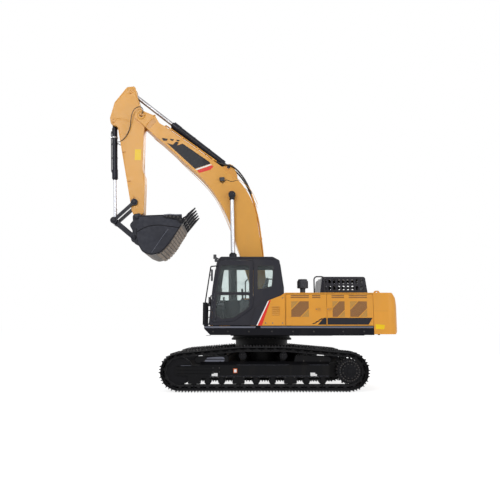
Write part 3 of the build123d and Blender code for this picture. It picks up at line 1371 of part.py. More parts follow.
LIFT_FOOT = (LIFT_FOOT_X, LIFT_FOOT_Z)
LIFT_HEAD = (LIFT_EYE_X, LIFT_EYE_Z)
ARM_FOOT = (ARM_CYL_FOOT_X, ARM_CYL_FOOT_Z)
ARM_HEAD = (ARM_ROD_PIN_X, ARM_ROD_PIN_Z)
CURL_FOOT = (BUCKET_CYL_PIN_X, BUCKET_CYL_PIN_Z)
CURL_HEAD = (LINK_PIN_X, LINK_PIN_Z)


def boom_cylinders():
    """Both lift cylinder barrels."""
    body = cylinder_barrel(
        LIFT_FOOT, LIFT_HEAD, LIFT_Y, LIFT_EYE_WIDTH - 30, LIFT_EYE_RADIUS, LIFT_PIN_RADIUS, LIFT_BARREL_RADIUS,
        LIFT_BARREL_RADIUS + GLAND_EXTRA, LIFT_BARREL_LENGTH,
    )
    return both_sides(hollow(body, LIFT_FOOT, LIFT_HEAD, LIFT_Y, LIFT_ROD_RADIUS, HOLLOW_START, LIFT_BARREL_LENGTH))


def boom_rods():
    """Both lift cylinder rods with their eyes."""
    rod = cylinder_rod(
        LIFT_FOOT, LIFT_HEAD, LIFT_Y, LIFT_EYE_WIDTH, LIFT_EYE_RADIUS, LIFT_ROD_RADIUS, LIFT_BARREL_LENGTH - ROD_INSIDE,
    )
    outer = LIFT_Y + LIFT_EYE_WIDTH / 2
    return both_sides(rod + disc(LIFT_EYE_X, LIFT_EYE_Z, LIFT_PIN_RADIUS + 12, outer - 1, outer + 14))


def arm_cylinder():
    """Barrel of the arm cylinder, on top of the boom."""
    body = cylinder_barrel(
        ARM_FOOT, ARM_HEAD, 0, ARM_CYL_EYE_WIDTH, ARM_EYE_RADIUS, ARM_PIN_RADIUS, ARM_BARREL_RADIUS,
        ARM_BARREL_RADIUS + GLAND_EXTRA, ARM_BARREL_LENGTH,
    )
    return hollow(body, ARM_FOOT, ARM_HEAD, 0, ARM_ROD_RADIUS, HOLLOW_START, ARM_BARREL_LENGTH)


def arm_rod():
    """Rod of the arm cylinder."""
    return cylinder_rod(
        ARM_FOOT, ARM_HEAD, 0, ARM_CYL_EYE_WIDTH, ARM_EYE_RADIUS, ARM_ROD_RADIUS, ARM_BARREL_LENGTH - ROD_INSIDE,
    )


def bucket_cylinder():
    """Barrel of the bucket cylinder, in front of the arm."""
    body = cylinder_barrel(
        CURL_FOOT, CURL_HEAD, 0, ARM_CYL_EYE_WIDTH, BUCKET_EYE_RADIUS, ARM_PIN_RADIUS, BUCKET_BARREL_RADIUS,
        BUCKET_BARREL_RADIUS + GLAND_EXTRA, BUCKET_BARREL_LENGTH,
    )
    return hollow(body, CURL_FOOT, CURL_HEAD, 0, BUCKET_ROD_RADIUS, HOLLOW_START, BUCKET_BARREL_LENGTH)


def bucket_rod():
    """Rod of the bucket cylinder."""
    return cylinder_rod(
        CURL_FOOT, CURL_HEAD, 0, ARM_CYL_EYE_WIDTH, BUCKET_EYE_RADIUS, BUCKET_ROD_RADIUS,
        BUCKET_BARREL_LENGTH - ROD_INSIDE,
    )


# Arm and bucket


def arm():
    """Tapered box arm with forked head, cylinder bracket and tip boss."""
    outline = [
        (3520, 8175, 60), (3440, 7850, 200), (3345, 7540, 200), (ARM_PIVOT_X - 110, ARM_PIVOT_Z + 60, 130),
        (ARM_PIVOT_X - 110, ARM_PIVOT_Z - 110, 130), (3232, 6900, 300), (3257, 5788, 60), (3180, 5599, 60),
        (3168, 5386, 200), (3176, 4560, 60), (BUCKET_PIN_X - 60, 4500, 40), (BUCKET_PIN_X + 90, 4500, 40),
        (3500, 4620, 60), (3652, 5410, 2000), (3963, 7000, 80), (4150, 7065, 70), (4185, 7240, 70), (4073, 7697, 120),
        (3740, 8150, 90),
    ]
    body = side_plate(outline, -ARM_HALF, ARM_HALF)
    body += disc(BUCKET_PIN_X, BUCKET_PIN_Z, ARM_TIP_RADIUS, -ARM_HALF, ARM_HALF)
    slot = ARM_CYL_EYE_WIDTH / 2 + SIDE_GAP
    room = ARM_EYE_RADIUS + 15
    body -= side_plate(
        sharp([(3200, 8400), (ARM_ROD_PIN_X + room, 8400), (ARM_ROD_PIN_X + room, ARM_ROD_PIN_Z - HEAD_SLOT * 0.6),
               (ARM_ROD_PIN_X, ARM_ROD_PIN_Z - HEAD_SLOT), (3200, ARM_ROD_PIN_Z - HEAD_SLOT - 60)]),
        -slot, slot,
    )
    body -= side_plate(
        sharp([(3960, 7500), (4400, 7500), (4400, 6800), (3960, 6800)]), -slot, slot,
    )
    body -= disc(ARM_PIVOT_X, ARM_PIVOT_Z, PIVOT_PIN_RADIUS + RUNNING_GAP, -ARM_HALF * 2, ARM_HALF * 2)
    body -= disc(BUCKET_PIN_X, BUCKET_PIN_Z, LINKAGE_PIN_RADIUS + RUNNING_GAP, -ARM_HALF * 2, ARM_HALF * 2)
    body -= disc(BUCKET_CYL_PIN_X, BUCKET_CYL_PIN_Z, ARM_PIN_RADIUS, -ARM_HALF * 2, ARM_HALF * 2)
    body -= disc(LEVER_PIN_X, LEVER_PIN_Z, LINKAGE_PIN_RADIUS, -ARM_HALF * 2, ARM_HALF * 2)
    body -= disc(ARM_ROD_PIN_X, ARM_ROD_PIN_Z, ARM_PIN_RADIUS, -ARM_HALF * 2, ARM_HALF * 2)
    return body


def arm_pins():
    """Bucket cylinder foot pin and lever pin, carried by the arm."""
    wide = ARM_HALF + 14
    outer = ARM_HALF + SIDE_GAP + LEVER_THICK + 12
    stub = disc(ARM_ROD_PIN_X, ARM_ROD_PIN_Z, ARM_PIN_RADIUS, ARM_CYL_EYE_WIDTH / 2 + SIDE_GAP, wide)
    return both_sides(stub) + [
        disc(BUCKET_CYL_PIN_X, BUCKET_CYL_PIN_Z, ARM_PIN_RADIUS, -wide, wide),
        disc(LEVER_PIN_X, LEVER_PIN_Z, LINKAGE_PIN_RADIUS, -outer, outer),
    ]


def levers():
    """Two guide levers outside the arm."""
    inner = ARM_HALF + SIDE_GAP
    lever = dumbbell(
        LEVER_PIN_X, LEVER_PIN_Z, LEVER_RADIUS, LINK_PIN_X, LINK_PIN_Z, LEVER_RADIUS,
        inner, inner + LEVER_THICK, LEVER_WAIST,
    )
    lever -= disc(LEVER_PIN_X, LEVER_PIN_Z, LINKAGE_PIN_RADIUS + RUNNING_GAP, inner - 1, inner + LEVER_THICK + 1)
    lever += disc(
        LINK_PIN_X, LINK_PIN_Z, LINKAGE_PIN_RADIUS, ARM_CYL_EYE_WIDTH / 2 + SIDE_GAP, inner + LEVER_THICK + 12,
    )
    return both_sides(lever)


def bucket_link():
    """Link from the levers to the bucket: two ears at one end, a wide boss at the other."""
    inner = ARM_CYL_EYE_WIDTH / 2 + SIDE_GAP
    side = dumbbell(
        LINK_PIN_X, LINK_PIN_Z, LINK_EYE_RADIUS, EAR_PIN_X, EAR_PIN_Z, LINK_EYE_RADIUS, inner, LINK_HALF,
    )
    side -= disc(LINK_PIN_X, LINK_PIN_Z, LINKAGE_PIN_RADIUS + RUNNING_GAP, inner - 1, LINK_HALF + 1)
    link = side + mirror(side, about=Plane.XZ)
    ux, uz = EAR_PIN_X - LINK_PIN_X, EAR_PIN_Z - LINK_PIN_Z
    reach = hypot(ux, uz)
    ux, uz = ux / reach, uz / reach
    link += disc(EAR_PIN_X, EAR_PIN_Z, LINK_EYE_RADIUS, -LINK_HALF, LINK_HALF)
    near = 230
    middle = side_plate(sharp([
        (LINK_PIN_X + ux * near - uz * 50, LINK_PIN_Z + uz * near + ux * 50),
        (EAR_PIN_X - uz * 50, EAR_PIN_Z + ux * 50),
        (EAR_PIN_X + uz * 50, EAR_PIN_Z - ux * 50),
        (LINK_PIN_X + ux * near + uz * 50, LINK_PIN_Z + uz * near - ux * 50),
    ]), -inner - 1, inner + 1)
    return link + middle


def bucket_outline(inset):
    """Side outline of the bucket, drawn in by an inset at wrapper and lip."""
    i = inset
    return [
        (3176 - i, 4379, 0), (3262 - i, 4040, 60), (3240 - i, 3700, 330), (3090 - i, 3420 + i, 220),
        (2860, 3335 + i, 160), (2610, 3400 + i, 200), (2365 + i * 0.7, 3676 + i * 0.7, 250),
        (*LIP_FOOT, 0), (*LIP_TOP, 0),
    ]


def bucket():
    """Open bucket: wrapper, side plates, lip and ears."""
    shell = side_plate(bucket_outline(0), -BUCKET_HALF, BUCKET_HALF)
    cavity = bucket_outline(BUCKET_WALL)
    cavity[0] = (3176 - BUCKET_WALL, 4500, 0)
    cavity[-2] = (2063, 4235, 0)
    cavity[-1] = (1900, 4500, 0)
    shell -= side_plate(cavity, -BUCKET_HALF + BUCKET_SIDE, BUCKET_HALF - BUCKET_SIDE)
    inner = LINK_HALF + SIDE_GAP
    for side in (-1, 1):
        low, high = sorted((side * inner, side * (inner + BUCKET_EAR)))
        ear = side_plate(
            [(3150, 4330, 0), (BUCKET_PIN_X - 90, BUCKET_PIN_Z + 112, 90),
             (BUCKET_PIN_X + 112, BUCKET_PIN_Z + 70, 90), (3452, 4338, 40), (3540, 4222, 90),
             (3440, 4040, 60), (EAR_PIN_X + 112, EAR_PIN_Z + 60, 90), (EAR_PIN_X + 60, EAR_PIN_Z - 112, 90),
             (3200, 3640, 0)],
            low, high,
        )
        ear -= disc(BUCKET_PIN_X, BUCKET_PIN_Z, LINKAGE_PIN_RADIUS, low - 1, high + 1)
        ear -= disc(EAR_PIN_X, EAR_PIN_Z, LINKAGE_PIN_RADIUS, low - 1, high + 1)
        shell += ear - side_plate(cavity, -BUCKET_HALF, BUCKET_HALF)
    return shell


def bucket_pins():
    """Pin through arm tip and ears, and stub pins of the link."""
    wide = LINK_HALF + SIDE_GAP + BUCKET_EAR + 12
    stub = both_sides(disc(
        EAR_PIN_X, EAR_PIN_Z, LINKAGE_PIN_RADIUS, LINK_HALF + SIDE_GAP, wide,
    ))
    return [disc(BUCKET_PIN_X, BUCKET_PIN_Z, LINKAGE_PIN_RADIUS, -wide, wide)] + stub


def bucket_teeth():
    """Adapters and teeth along the lip."""
    teeth = []
    (x1, z1), (x2, z2) = LIP_FOOT, LIP_TOP
    seat = (x1 + (x2 - x1) * TOOTH_SEAT, z1 + (z2 - z1) * TOOTH_SEAT)
    span = BUCKET_HALF - TOOTH_WIDTH / 2 - 4
    for index in range(TOOTH_COUNT):
        y = -span + 2 * span * index / (TOOTH_COUNT - 1)
        teeth.append(side_plate(
            sharp([LIP_FOOT, TOOTH_TIP, (1750, 4596), (1925, 4448), (1985, 4372), (2060, 4330), seat]),
            y - TOOTH_WIDTH / 2, y + TOOTH_WIDTH / 2,
        ))
    return teeth


def side_cutters():
    """Bolted cutters along the front of the side plates."""
    cutter = side_plate(
        [(2556, 4330, 20), (2556, 4402, 20), (2400, 4418, 60), (2240, 4406, 60), (2086, 4412, 20),
         (2062, 4200, 0), (2130, 4180, 20), (2222, 4278, 60)],
        BUCKET_HALF, BUCKET_HALF + CUTTER_THICK,
    )
    return both_sides(cutter)


NODES = {
    "car_body": lambda: [car_body()],
    "swing_bearing": lambda: [swing_bearing()],
    "track_frame_left": lambda: [track_frame()],
    "track_frame_right": lambda: [mirror(track_frame(), about=Plane.XZ)],
    "track_left": lambda: [track_loop()],
    "track_right": lambda: [mirror(track_loop(), about=Plane.XZ)],
    "sprockets": lambda: both_sides(sprocket()),
    "final_drives": lambda: [half for piece in final_drive() for half in both_sides(piece)],
    "idlers": lambda: both_sides(idler()),
    "track_rollers": track_rollers,
    "carrier_rollers": carrier_rollers,
    "lashing_lugs": lashing_lugs,
    "swing_frame": lambda: [swing_frame()],
    "deck_left": lambda: [side_deck(1)],
    "deck_right": lambda: [side_deck(-1)],
    "frame_pins": frame_pins,
    "counterweight": lambda: [counterweight()],
    "lifting_eyes": lifting_eyes,
    "hood_frame": lambda: [hood_frame()],
    "side_door_front": lambda: [side_door_front()],
    "side_door_rear": lambda: [side_door_rear()],
    "pump_door": lambda: [pump_door()],
    "engine_hood": lambda: [engine_hood()],
    "engine_block": lambda: [engine_block()],
    "radiator_pack": lambda: [radiator_pack()],
    "air_cleaner": lambda: [air_cleaner()],
    "exhaust_pipe": lambda: [exhaust()],
    "right_tanks": right_tanks,
    "toolbox": lambda: [toolbox()],
    "toolbox_lid": lambda: [toolbox_lid()],
    "front_steps": lambda: [step_box()],
    "handrails": handrails,
    "cab_shell": lambda: [cab_shell()],
    "cab_glass": cab_glass,
    "cab_lower_panel": lambda: [cab_lower_panel()],
    "cab_door_frame": lambda: [cab_door()],
    "cab_door_glass": cab_door_glass,
    "operator_seat": lambda: [operator_seat()],
    "cab_consoles": cab_consoles,
    "cab_front_step": lambda: [front_step()],
    "mirrors": mirrors,
    "cab_lamps": cab_lamps,
    "boom_box": lambda: [boom()],
    "boom_pins": boom_pins,
    "boom_lines": boom_lines,
    "boom_lamp": lambda: [boom_lamp()],
    "boom_cylinder_barrels": boom_cylinders,
    "boom_cylinder_rods": boom_rods,
    "arm_box": lambda: [arm()],
    "arm_pins": arm_pins,
    "arm_cylinder_barrel": lambda: [arm_cylinder()],
    "arm_cylinder_rod": lambda: [arm_rod()],
    "bucket_cylinder_barrel": lambda: [bucket_cylinder()],
    "bucket_cylinder_rod": lambda: [bucket_rod()],
    "guide_levers": levers,
    "bucket_link": lambda: [bucket_link()],
    "bucket_shell": lambda: [bucket()],
    "bucket_teeth": bucket_teeth,
    "bucket_pins": bucket_pins,
    "side_cutters": side_cutters,
}

os.makedirs("parts", exist_ok=True)
for node, build in NODES.items():
    solids = [solid for shape in build() for solid in shape.solids()]
    export_step(Compound(solids), f"parts/{node}.step")
    print(node, len(solids))
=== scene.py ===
"""Looks of a crawler excavator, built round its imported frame, in metres and in the frame's own axes."""

import json
import logging
import math
from dataclasses import dataclass
from enum import Enum
from typing import Sequence

import bmesh
import bpy
from mathutils import Matrix, Vector

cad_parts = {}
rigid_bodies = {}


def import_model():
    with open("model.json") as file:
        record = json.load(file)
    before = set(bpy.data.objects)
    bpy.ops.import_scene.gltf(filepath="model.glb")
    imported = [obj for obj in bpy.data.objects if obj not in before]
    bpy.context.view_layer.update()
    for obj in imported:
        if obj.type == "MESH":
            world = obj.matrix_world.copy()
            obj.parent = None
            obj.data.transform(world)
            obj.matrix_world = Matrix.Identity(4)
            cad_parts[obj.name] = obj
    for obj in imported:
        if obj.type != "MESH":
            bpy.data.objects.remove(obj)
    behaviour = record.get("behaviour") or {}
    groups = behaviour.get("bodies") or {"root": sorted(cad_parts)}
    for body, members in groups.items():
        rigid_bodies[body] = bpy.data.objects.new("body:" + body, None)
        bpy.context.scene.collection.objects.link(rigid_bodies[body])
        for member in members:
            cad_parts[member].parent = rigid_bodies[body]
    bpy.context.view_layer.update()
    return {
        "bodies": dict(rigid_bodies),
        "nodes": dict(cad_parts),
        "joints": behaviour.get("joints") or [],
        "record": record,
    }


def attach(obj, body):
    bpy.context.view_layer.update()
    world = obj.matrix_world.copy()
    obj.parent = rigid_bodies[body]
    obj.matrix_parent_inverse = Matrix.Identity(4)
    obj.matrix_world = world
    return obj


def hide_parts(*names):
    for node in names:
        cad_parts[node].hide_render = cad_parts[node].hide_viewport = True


LOG = logging.getLogger("excavator")
SWELL_PRESSURE = 4.0
SWELL_FRAMES = 20
X_AXIS = Vector((1.0, 0.0, 0.0))
Y_AXIS = Vector((0.0, 1.0, 0.0))
Z_AXIS = Vector((0.0, 0.0, 1.0))
SIDES = (1, -1)
Point = tuple[float, float]
Place = tuple[float, float, float]


def srgb(red: int, green: int, blue: int) -> tuple[float, float, float, float]:
    """Linear colour of a screen colour.

    Args:
        red: Red from 0 to 255.
        green: Green from 0 to 255.
        blue: Blue from 0 to 255.

    Returns:
        The linear colour with full opacity.
    """
    linear = [((value / 255 + 0.055) / 1.055) ** 2.4 if value > 10 else value / 255 / 12.92 for value in
              (red, green, blue)]
    return (*linear, 1.0)


# Shader tools


class Signal:
    """Output of a shader node, with arithmetic that adds Math nodes."""

    def __init__(self, graph: "Graph", socket: bpy.types.NodeSocket) -> None:
        """Keeps the graph and the output socket."""
        self.graph = graph
        self.socket = socket

    def _math(self, operation: str, first: "Signal | float", second: "Signal | float") -> "Signal":
        """Adds one Math node.

        Args:
            operation: Name of the operation.
            first: First value.
            second: Second value.

        Returns:
            The node's output.
        """
        return self.graph.node("ShaderNodeMath", {"operation": operation}, {0: first, 1: second})

    def __add__(self, other: "Signal | float") -> "Signal":
        """Sum."""
        return self._math("ADD", self, other)

    def __radd__(self, other: float) -> "Signal":
        """Sum with a number first."""
        return self._math("ADD", other, self)

    def __sub__(self, other: "Signal | float") -> "Signal":
        """Difference."""
        return self._math("SUBTRACT", self, other)

    def __rsub__(self, other: float) -> "Signal":
        """Difference with a number first."""
        return self._math("SUBTRACT", other, self)

    def __mul__(self, other: "Signal | float") -> "Signal":
        """Product."""
        return self._math("MULTIPLY", self, other)

    def __rmul__(self, other: float) -> "Signal":
        """Product with a number first."""
        return self._math("MULTIPLY", other, self)

    def __abs__(self) -> "Signal":
        """Size without sign."""
        return self.graph.node("ShaderNodeMath", {"operation": "ABSOLUTE"}, {0: self})


class Graph:
    """Node tree of one material."""

    def __init__(self, name: str, world: bpy.types.NodeTree | None = None) -> None:
        """Starts an empty material, or empties a world's tree.

        Args:
            name: Name of the material.
            world: The world's tree, where it is a world.
        """
        self.material = None if world else bpy.data.materials.new(name)
        if self.material:
            self.material.use_nodes = True
        self.tree = world or self.material.node_tree
        self.tree.nodes.clear()
        self.end = self.tree.nodes.new("ShaderNodeOutputWorld" if world else "ShaderNodeOutputMaterial")

    def node(self, kind: str, settings: dict | None = None, inputs: dict | None = None,
             output: int = 0) -> Signal:
        """Adds any node.

        Args:
            kind: Type of the node.
            settings: Its properties, set first.
            inputs: Values or signals of its sockets, by name or place.
            output: Place of the output that is returned.

        Returns:
            The chosen output.
        """
        made = self.tree.nodes.new(kind)
        for key, value in (settings or {}).items():
            setattr(made, key, value)
        for key, value in (inputs or {}).items():
            if isinstance(value, Signal):
                self.tree.links.new(value.socket, made.inputs[key])
            else:
                made.inputs[key].default_value = value
        return Signal(self, made.outputs[output])

    def place(self, stretch: Place = (1.0, 1.0, 1.0), turn: Place = (0.0, 0.0, 0.0)) -> Signal:
        """Object coordinates, turned and stretched.

        Args:
            stretch: Scale along each axis.
            turn: Turn about each axis, in radians.

        Returns:
            The coordinates.
        """
        own = self.node("ShaderNodeTexCoord", output=3)
        return self.node("ShaderNodeMapping", None, {"Vector": own, "Rotation": turn, "Scale": stretch})

    def noise(self, scale: float, detail: float = 3.0, stretch: Place = (1.0, 1.0, 1.0)) -> Signal:
        """Cloudy noise from 0 to 1.

        Args:
            scale: Blotches to a metre.
            detail: Octaves.
            stretch: Scale along each axis.

        Returns:
            The noise.
        """
        return self.node("ShaderNodeTexNoise", None,
                         {"Vector": self.place(stretch), "Scale": scale, "Detail": detail, "Roughness": 0.55})

    def step(self, value: Signal, low: float, high: float, start: float = 0.0, end: float = 1.0) -> Signal:
        """Value drawn out between two bounds and held outside them.

        Args:
            value: What is mapped.
            low: Lower bound.
            high: Upper bound.
            start: Result at the lower bound.
            end: Result at the upper bound.

        Returns:
            The mapped value.
        """
        return self.node("ShaderNodeMapRange", {"clamp": True},
                         {"Value": value, "From Min": low, "From Max": high, "To Min": start, "To Max": end})

    def mix(self, share: Signal | float, first: Signal | tuple, second: Signal | tuple) -> Signal:
        """Colour between two colours.

        Args:
            share: Share of the second.
            first: First colour.
            second: Second colour.

        Returns:
            The mixed colour.
        """
        return self.node("ShaderNodeMix", {"data_type": "RGBA"}, {0: share, 6: first, 7: second}, output=2)

    def bump(self, height: Signal, distance: float, strength: float = 1.0,
             under: Signal | None = None) -> Signal:
        """Bumped normal.

        Args:
            height: Height from 0 to 1.
            distance: Metres of a height of 1.
            strength: Share of the effect.
            under: Normal that is bumped.

        Returns:
            The normal.
        """
        inputs = {"Height": height, "Distance": distance, "Strength": strength}
        if under is not None:
            inputs["Normal"] = under
        return self.node("ShaderNodeBump", None, inputs)

    def surface(self, **inputs: Signal | float | tuple) -> bpy.types.Material:
        """Ends the material in a Principled shader.

        Args:
            **inputs: Sockets of the shader, with underscores for spaces.

        Returns:
            The material.
        """
        named = {key.replace("_", " "): value for key, value in inputs.items()}
        return self.close(self.node("ShaderNodeBsdfPrincipled", None, named))

    def close(self, shader: Signal) -> bpy.types.Material:
        """Ends the material in a shader.

        Args:
            shader: The last shader.

        Returns:
            The material.
        """
        self.tree.links.new(shader.socket, self.end.inputs["Surface"])
        return self.material


# Finishes


@dataclass(frozen=True)
class MachinePaint:
    """Sprayed enamel on welded plate, with faint mottling, dust and orange peel."""

    name: str
    colour: tuple
    slot: str
    roughness: float = 0.36
    coat: float = 0.25
    mottle: float = 0.07
    dust: float = 0.10
    shine: float = 0.4

    def make(self) -> bpy.types.Material:
        """Builds the paint's material."""
        graph = Graph(self.name)
        red, green, blue, _ = self.colour
        deep = (red * (1 - self.mottle), green * (1 - self.mottle), blue * (1 - self.mottle), 1.0)
        pale = (red * (1 + self.mottle), green * (1 + self.mottle), blue * (1 + self.mottle), 1.0)
        cloud = graph.noise(0.9, 4.0)
        base = graph.mix(graph.step(cloud, 0.3, 0.7), deep, pale)
        streak = graph.noise(3.0, 5.0, (1.0, 1.0, 0.25))
        dusty = graph.step(streak, 0.52, 0.75) * self.dust
        colour = graph.mix(dusty, base, srgb(150, 138, 120))
        rough = graph.step(graph.noise(7.0, 3.0), 0.3, 0.7, self.roughness - 0.05, self.roughness + 0.07)
        waves = graph.bump(graph.noise(2.4, 1.0), 0.006, 0.35)
        peel = graph.bump(graph.noise(240.0, 1.0), 0.0006, 0.25, waves)
        return graph.surface(Base_Color=colour, Roughness=rough + dusty, Normal=peel, Coat_Weight=self.coat,
                             Coat_Roughness=0.12, Specular_IOR_Level=self.shine)


@dataclass(frozen=True)
class RolledSteel:
    """Bare or thinly painted steel of tracks and wheels, dull and dusty."""

    name: str
    colour: tuple
    slot: str
    soil: tuple = srgb(86, 76, 64)
    soiled: float = 0.45
    metal: float = 0.5
    roughness: float = 0.5
    shine: float = 0.4

    def make(self) -> bpy.types.Material:
        """Builds the steel's material."""
        graph = Graph(self.name)
        patches = graph.step(graph.noise(5.0, 6.0), 0.42, 0.72) * self.soiled
        colour = graph.mix(patches, self.colour, self.soil)
        grain = graph.noise(60.0, 4.0)
        rough = graph.step(grain, 0.3, 0.7, self.roughness - 0.08, self.roughness + 0.12) + patches * 0.3
        pits = graph.bump(grain, 0.0015, 0.5, graph.bump(graph.noise(9.0, 2.0), 0.004, 0.3))
        return graph.surface(Base_Color=colour, Roughness=rough,
                             Metallic=graph.step(patches, 0.0, 0.4, self.metal, 0.05),
                             Normal=pits, Specular_IOR_Level=self.shine)


@dataclass(frozen=True)
class BucketPlate:
    """Dark paint on the bucket's sides, scoured brown and grey along its wrapper."""

    name: str = "bucket_plate"
    slot: str = "bucket_steel"

    def make(self) -> bpy.types.Material:
        """Builds the bucket's material."""
        graph = Graph(self.name)
        facing = graph.node("ShaderNodeTexCoord", output=1)
        sideways = abs(graph.node("ShaderNodeSeparateXYZ", None, {0: facing}, output=1))
        scoured = graph.step(sideways, 0.4, 0.7, 1.0, 0.0)
        paint = graph.mix(graph.step(graph.noise(2.0, 4.0), 0.3, 0.7), srgb(30, 31, 40), srgb(46, 48, 58))
        bands = graph.noise(13.0, 4.0, (1.0, 0.07, 1.0))
        bare = graph.mix(graph.step(bands, 0.35, 0.65), srgb(66, 56, 50), srgb(110, 98, 88))
        blots = graph.mix(graph.step(graph.noise(3.0, 5.0), 0.5, 0.7), bare, srgb(86, 80, 70))
        share = scoured * graph.step(graph.noise(4.0, 5.0), 0.2, 0.5, 0.75, 1.0)
        colour = graph.mix(share, paint, blots)
        rough = graph.step(bands, 0.3, 0.7, 0.42, 0.62)
        normal = graph.bump(bands, 0.003, 0.4, graph.bump(graph.noise(45.0, 4.0), 0.001, 0.3))
        return graph.surface(Base_Color=colour, Roughness=rough, Metallic=share * 0.35, Normal=normal,
                             Specular_IOR_Level=0.25)


@dataclass(frozen=True)
class BrightRod:
    """Hard chrome on a piston rod, ground round and lightly filmed with oil."""

    name: str
    colour: tuple
    slot: str = "rod_chrome"

    def make(self) -> bpy.types.Material:
        """Builds the chrome's material."""
        graph = Graph(self.name)
        film = graph.noise(6.0, 4.0)
        rough = graph.step(film, 0.3, 0.7, 0.26, 0.36)
        scratches = graph.bump(graph.noise(300.0, 2.0, (0.1, 1.0, 0.1)), 0.0002, 0.3)
        colour = graph.mix(graph.step(film, 0.4, 0.8), self.colour, srgb(196, 196, 200))
        return graph.surface(Base_Color=colour, Roughness=rough, Metallic=0.75, Normal=scratches)


@dataclass(frozen=True)
class TurnedSteel:
    """Machined pins, bolts and rings, a little greasy."""

    name: str
    colour: tuple
    slot: str
    metal: float = 0.85
    roughness: float = 0.33

    def make(self) -> bpy.types.Material:
        """Builds the machined steel's material."""
        graph = Graph(self.name)
        smear = graph.step(graph.noise(18.0, 4.0), 0.4, 0.75)
        colour = graph.mix(smear, self.colour, srgb(72, 66, 60))
        rough = graph.step(graph.noise(90.0, 2.0), 0.3, 0.7, self.roughness - 0.08, self.roughness + 0.12)
        turned = graph.bump(graph.noise(420.0, 1.0), 0.0003, 0.4)
        return graph.surface(Base_Color=colour, Roughness=rough, Metallic=self.metal, Normal=turned)


@dataclass(frozen=True)
class MouldedPart:
    """Moulded rubber or plastic with a fine grain."""

    name: str
    colour: tuple
    slot: str
    roughness: float = 0.55
    grain: float = 350.0
    depth: float = 0.0006

    def make(self) -> bpy.types.Material:
        """Builds the moulded material."""
        graph = Graph(self.name)
        bloom = graph.step(graph.noise(8.0, 4.0), 0.45, 0.8) * 0.25
        colour = graph.mix(bloom, self.colour, srgb(96, 94, 92))
        rough = graph.step(graph.noise(25.0, 2.0), 0.3, 0.7, self.roughness - 0.06, self.roughness + 0.08)
        grain = graph.bump(graph.noise(self.grain, 2.0), self.depth, 0.5)
        return graph.surface(Base_Color=colour, Roughness=rough, Normal=grain)


@dataclass(frozen=True)
class SeatCloth:
    """Woven seat cloth."""

    name: str
    colour: tuple
    slot: str = "black_plastic"

    def make(self) -> bpy.types.Material:
        """Builds the cloth's material."""
        graph = Graph(self.name)
        warp = graph.node("ShaderNodeTexWave", {"bands_direction": "Y"},
                          {"Vector": graph.place(), "Scale": 90.0})
        weft = graph.node("ShaderNodeTexWave", {"bands_direction": "Z"},
                          {"Vector": graph.place(), "Scale": 90.0})
        weave = warp * weft
        colour = graph.mix(graph.step(weave + graph.noise(30.0, 3.0) * 0.6, 0.2, 1.1), self.colour,
                           srgb(92, 92, 98))
        return graph.surface(Base_Color=colour, Roughness=0.85, Normal=graph.bump(weave, 0.0012, 0.6),
                             Sheen_Weight=0.3)


@dataclass(frozen=True)
class WindowPane:
    """Lightly tinted safety glass, with a patchy film of dust."""

    name: str
    tint: tuple
    slot: str = "window_glass"

    def make(self) -> bpy.types.Material:
        """Builds the glass."""
        graph = Graph(self.name)
        clear = graph.node("ShaderNodeBsdfTransparent", None, {"Color": self.tint})
        gloss = graph.node("ShaderNodeBsdfPrincipled", None, {
            "Base Color": srgb(150, 158, 160), "Roughness": 0.04, "Metallic": 0.0, "Specular IOR Level": 0.9,
        })
        edge = graph.node("ShaderNodeLayerWeight", None, {"Blend": 0.35})
        film = graph.step(graph.noise(4.0, 5.0), 0.4, 0.8, 0.06, 0.14)
        return graph.close(graph.node("ShaderNodeMixShader", None,
                                      {0: edge * 0.55 + film, 1: clear, 2: gloss}))


@dataclass(frozen=True)
class LampLens:
    """Ribbed clear lens over a bright bowl."""

    name: str = "lamp_lens"
    slot: str = "window_glass"
    colour: tuple = srgb(215, 220, 224)

    def make(self) -> bpy.types.Material:
        """Builds the lens."""
        graph = Graph(self.name)
        ribs = graph.node("ShaderNodeTexWave", {"bands_direction": "Y"},
                          {"Vector": graph.place(), "Scale": 28.0})
        colour = graph.mix(ribs, self.colour, srgb(150, 156, 162))
        return graph.surface(Base_Color=colour, Roughness=0.12, Metallic=0.35, Coat_Weight=1.0,
                             Coat_Roughness=0.03, Normal=graph.bump(ribs, 0.002, 0.5))


@dataclass(frozen=True)
class PrintedFilm:
    """Plain coloured film stuck on the paint."""

    name: str
    colour: tuple
    slot: str
    roughness: float = 0.3

    def make(self) -> bpy.types.Material:
        """Builds the film."""
        graph = Graph(self.name)
        worn_and_painted_highlight = graph.step(graph.noise(14.0, 5.0), 0.62, 0.8) * 0.2
        colour = graph.mix(worn_and_painted_highlight, self.colour, srgb(150, 140, 124))
        rough = graph.step(graph.noise(20.0, 2.0), 0.3, 0.7, self.roughness - 0.05, self.roughness + 0.08)
        return graph.surface(Base_Color=colour, Roughness=rough,
                             Normal=graph.bump(graph.noise(5.0, 1.0), 0.002, 0.2),
                             Coat_Weight=0.05, Specular_IOR_Level=0.25)


@dataclass(frozen=True)
class PunchedSheet:
    """Sheet with rows of small round holes, their dark colour painted shade of the dim space behind them."""

    name: str
    colour: tuple
    hole: tuple
    slot: str
    pitch: float = 0.011

    def make(self) -> bpy.types.Material:
        """Builds the punched sheet's material."""
        graph = Graph(self.name)
        cells = graph.node("ShaderNodeTexVoronoi", {"distance": "EUCLIDEAN"}, {
            "Vector": graph.place((1.0, 0.02, 1.0)), "Scale": 1.0 / self.pitch, "Randomness": 0.0})
        holes = graph.step(cells, 0.30, 0.36, 1.0, 0.0)
        # The hole colour is painted shade: the dim space seen through the holes.
        colour = graph.mix(holes, self.colour, self.hole)
        return graph.surface(Base_Color=colour, Roughness=graph.step(holes, 0.0, 1.0, 0.4, 0.8),
                             Normal=graph.bump(1.0 - holes, 0.002, 0.6))


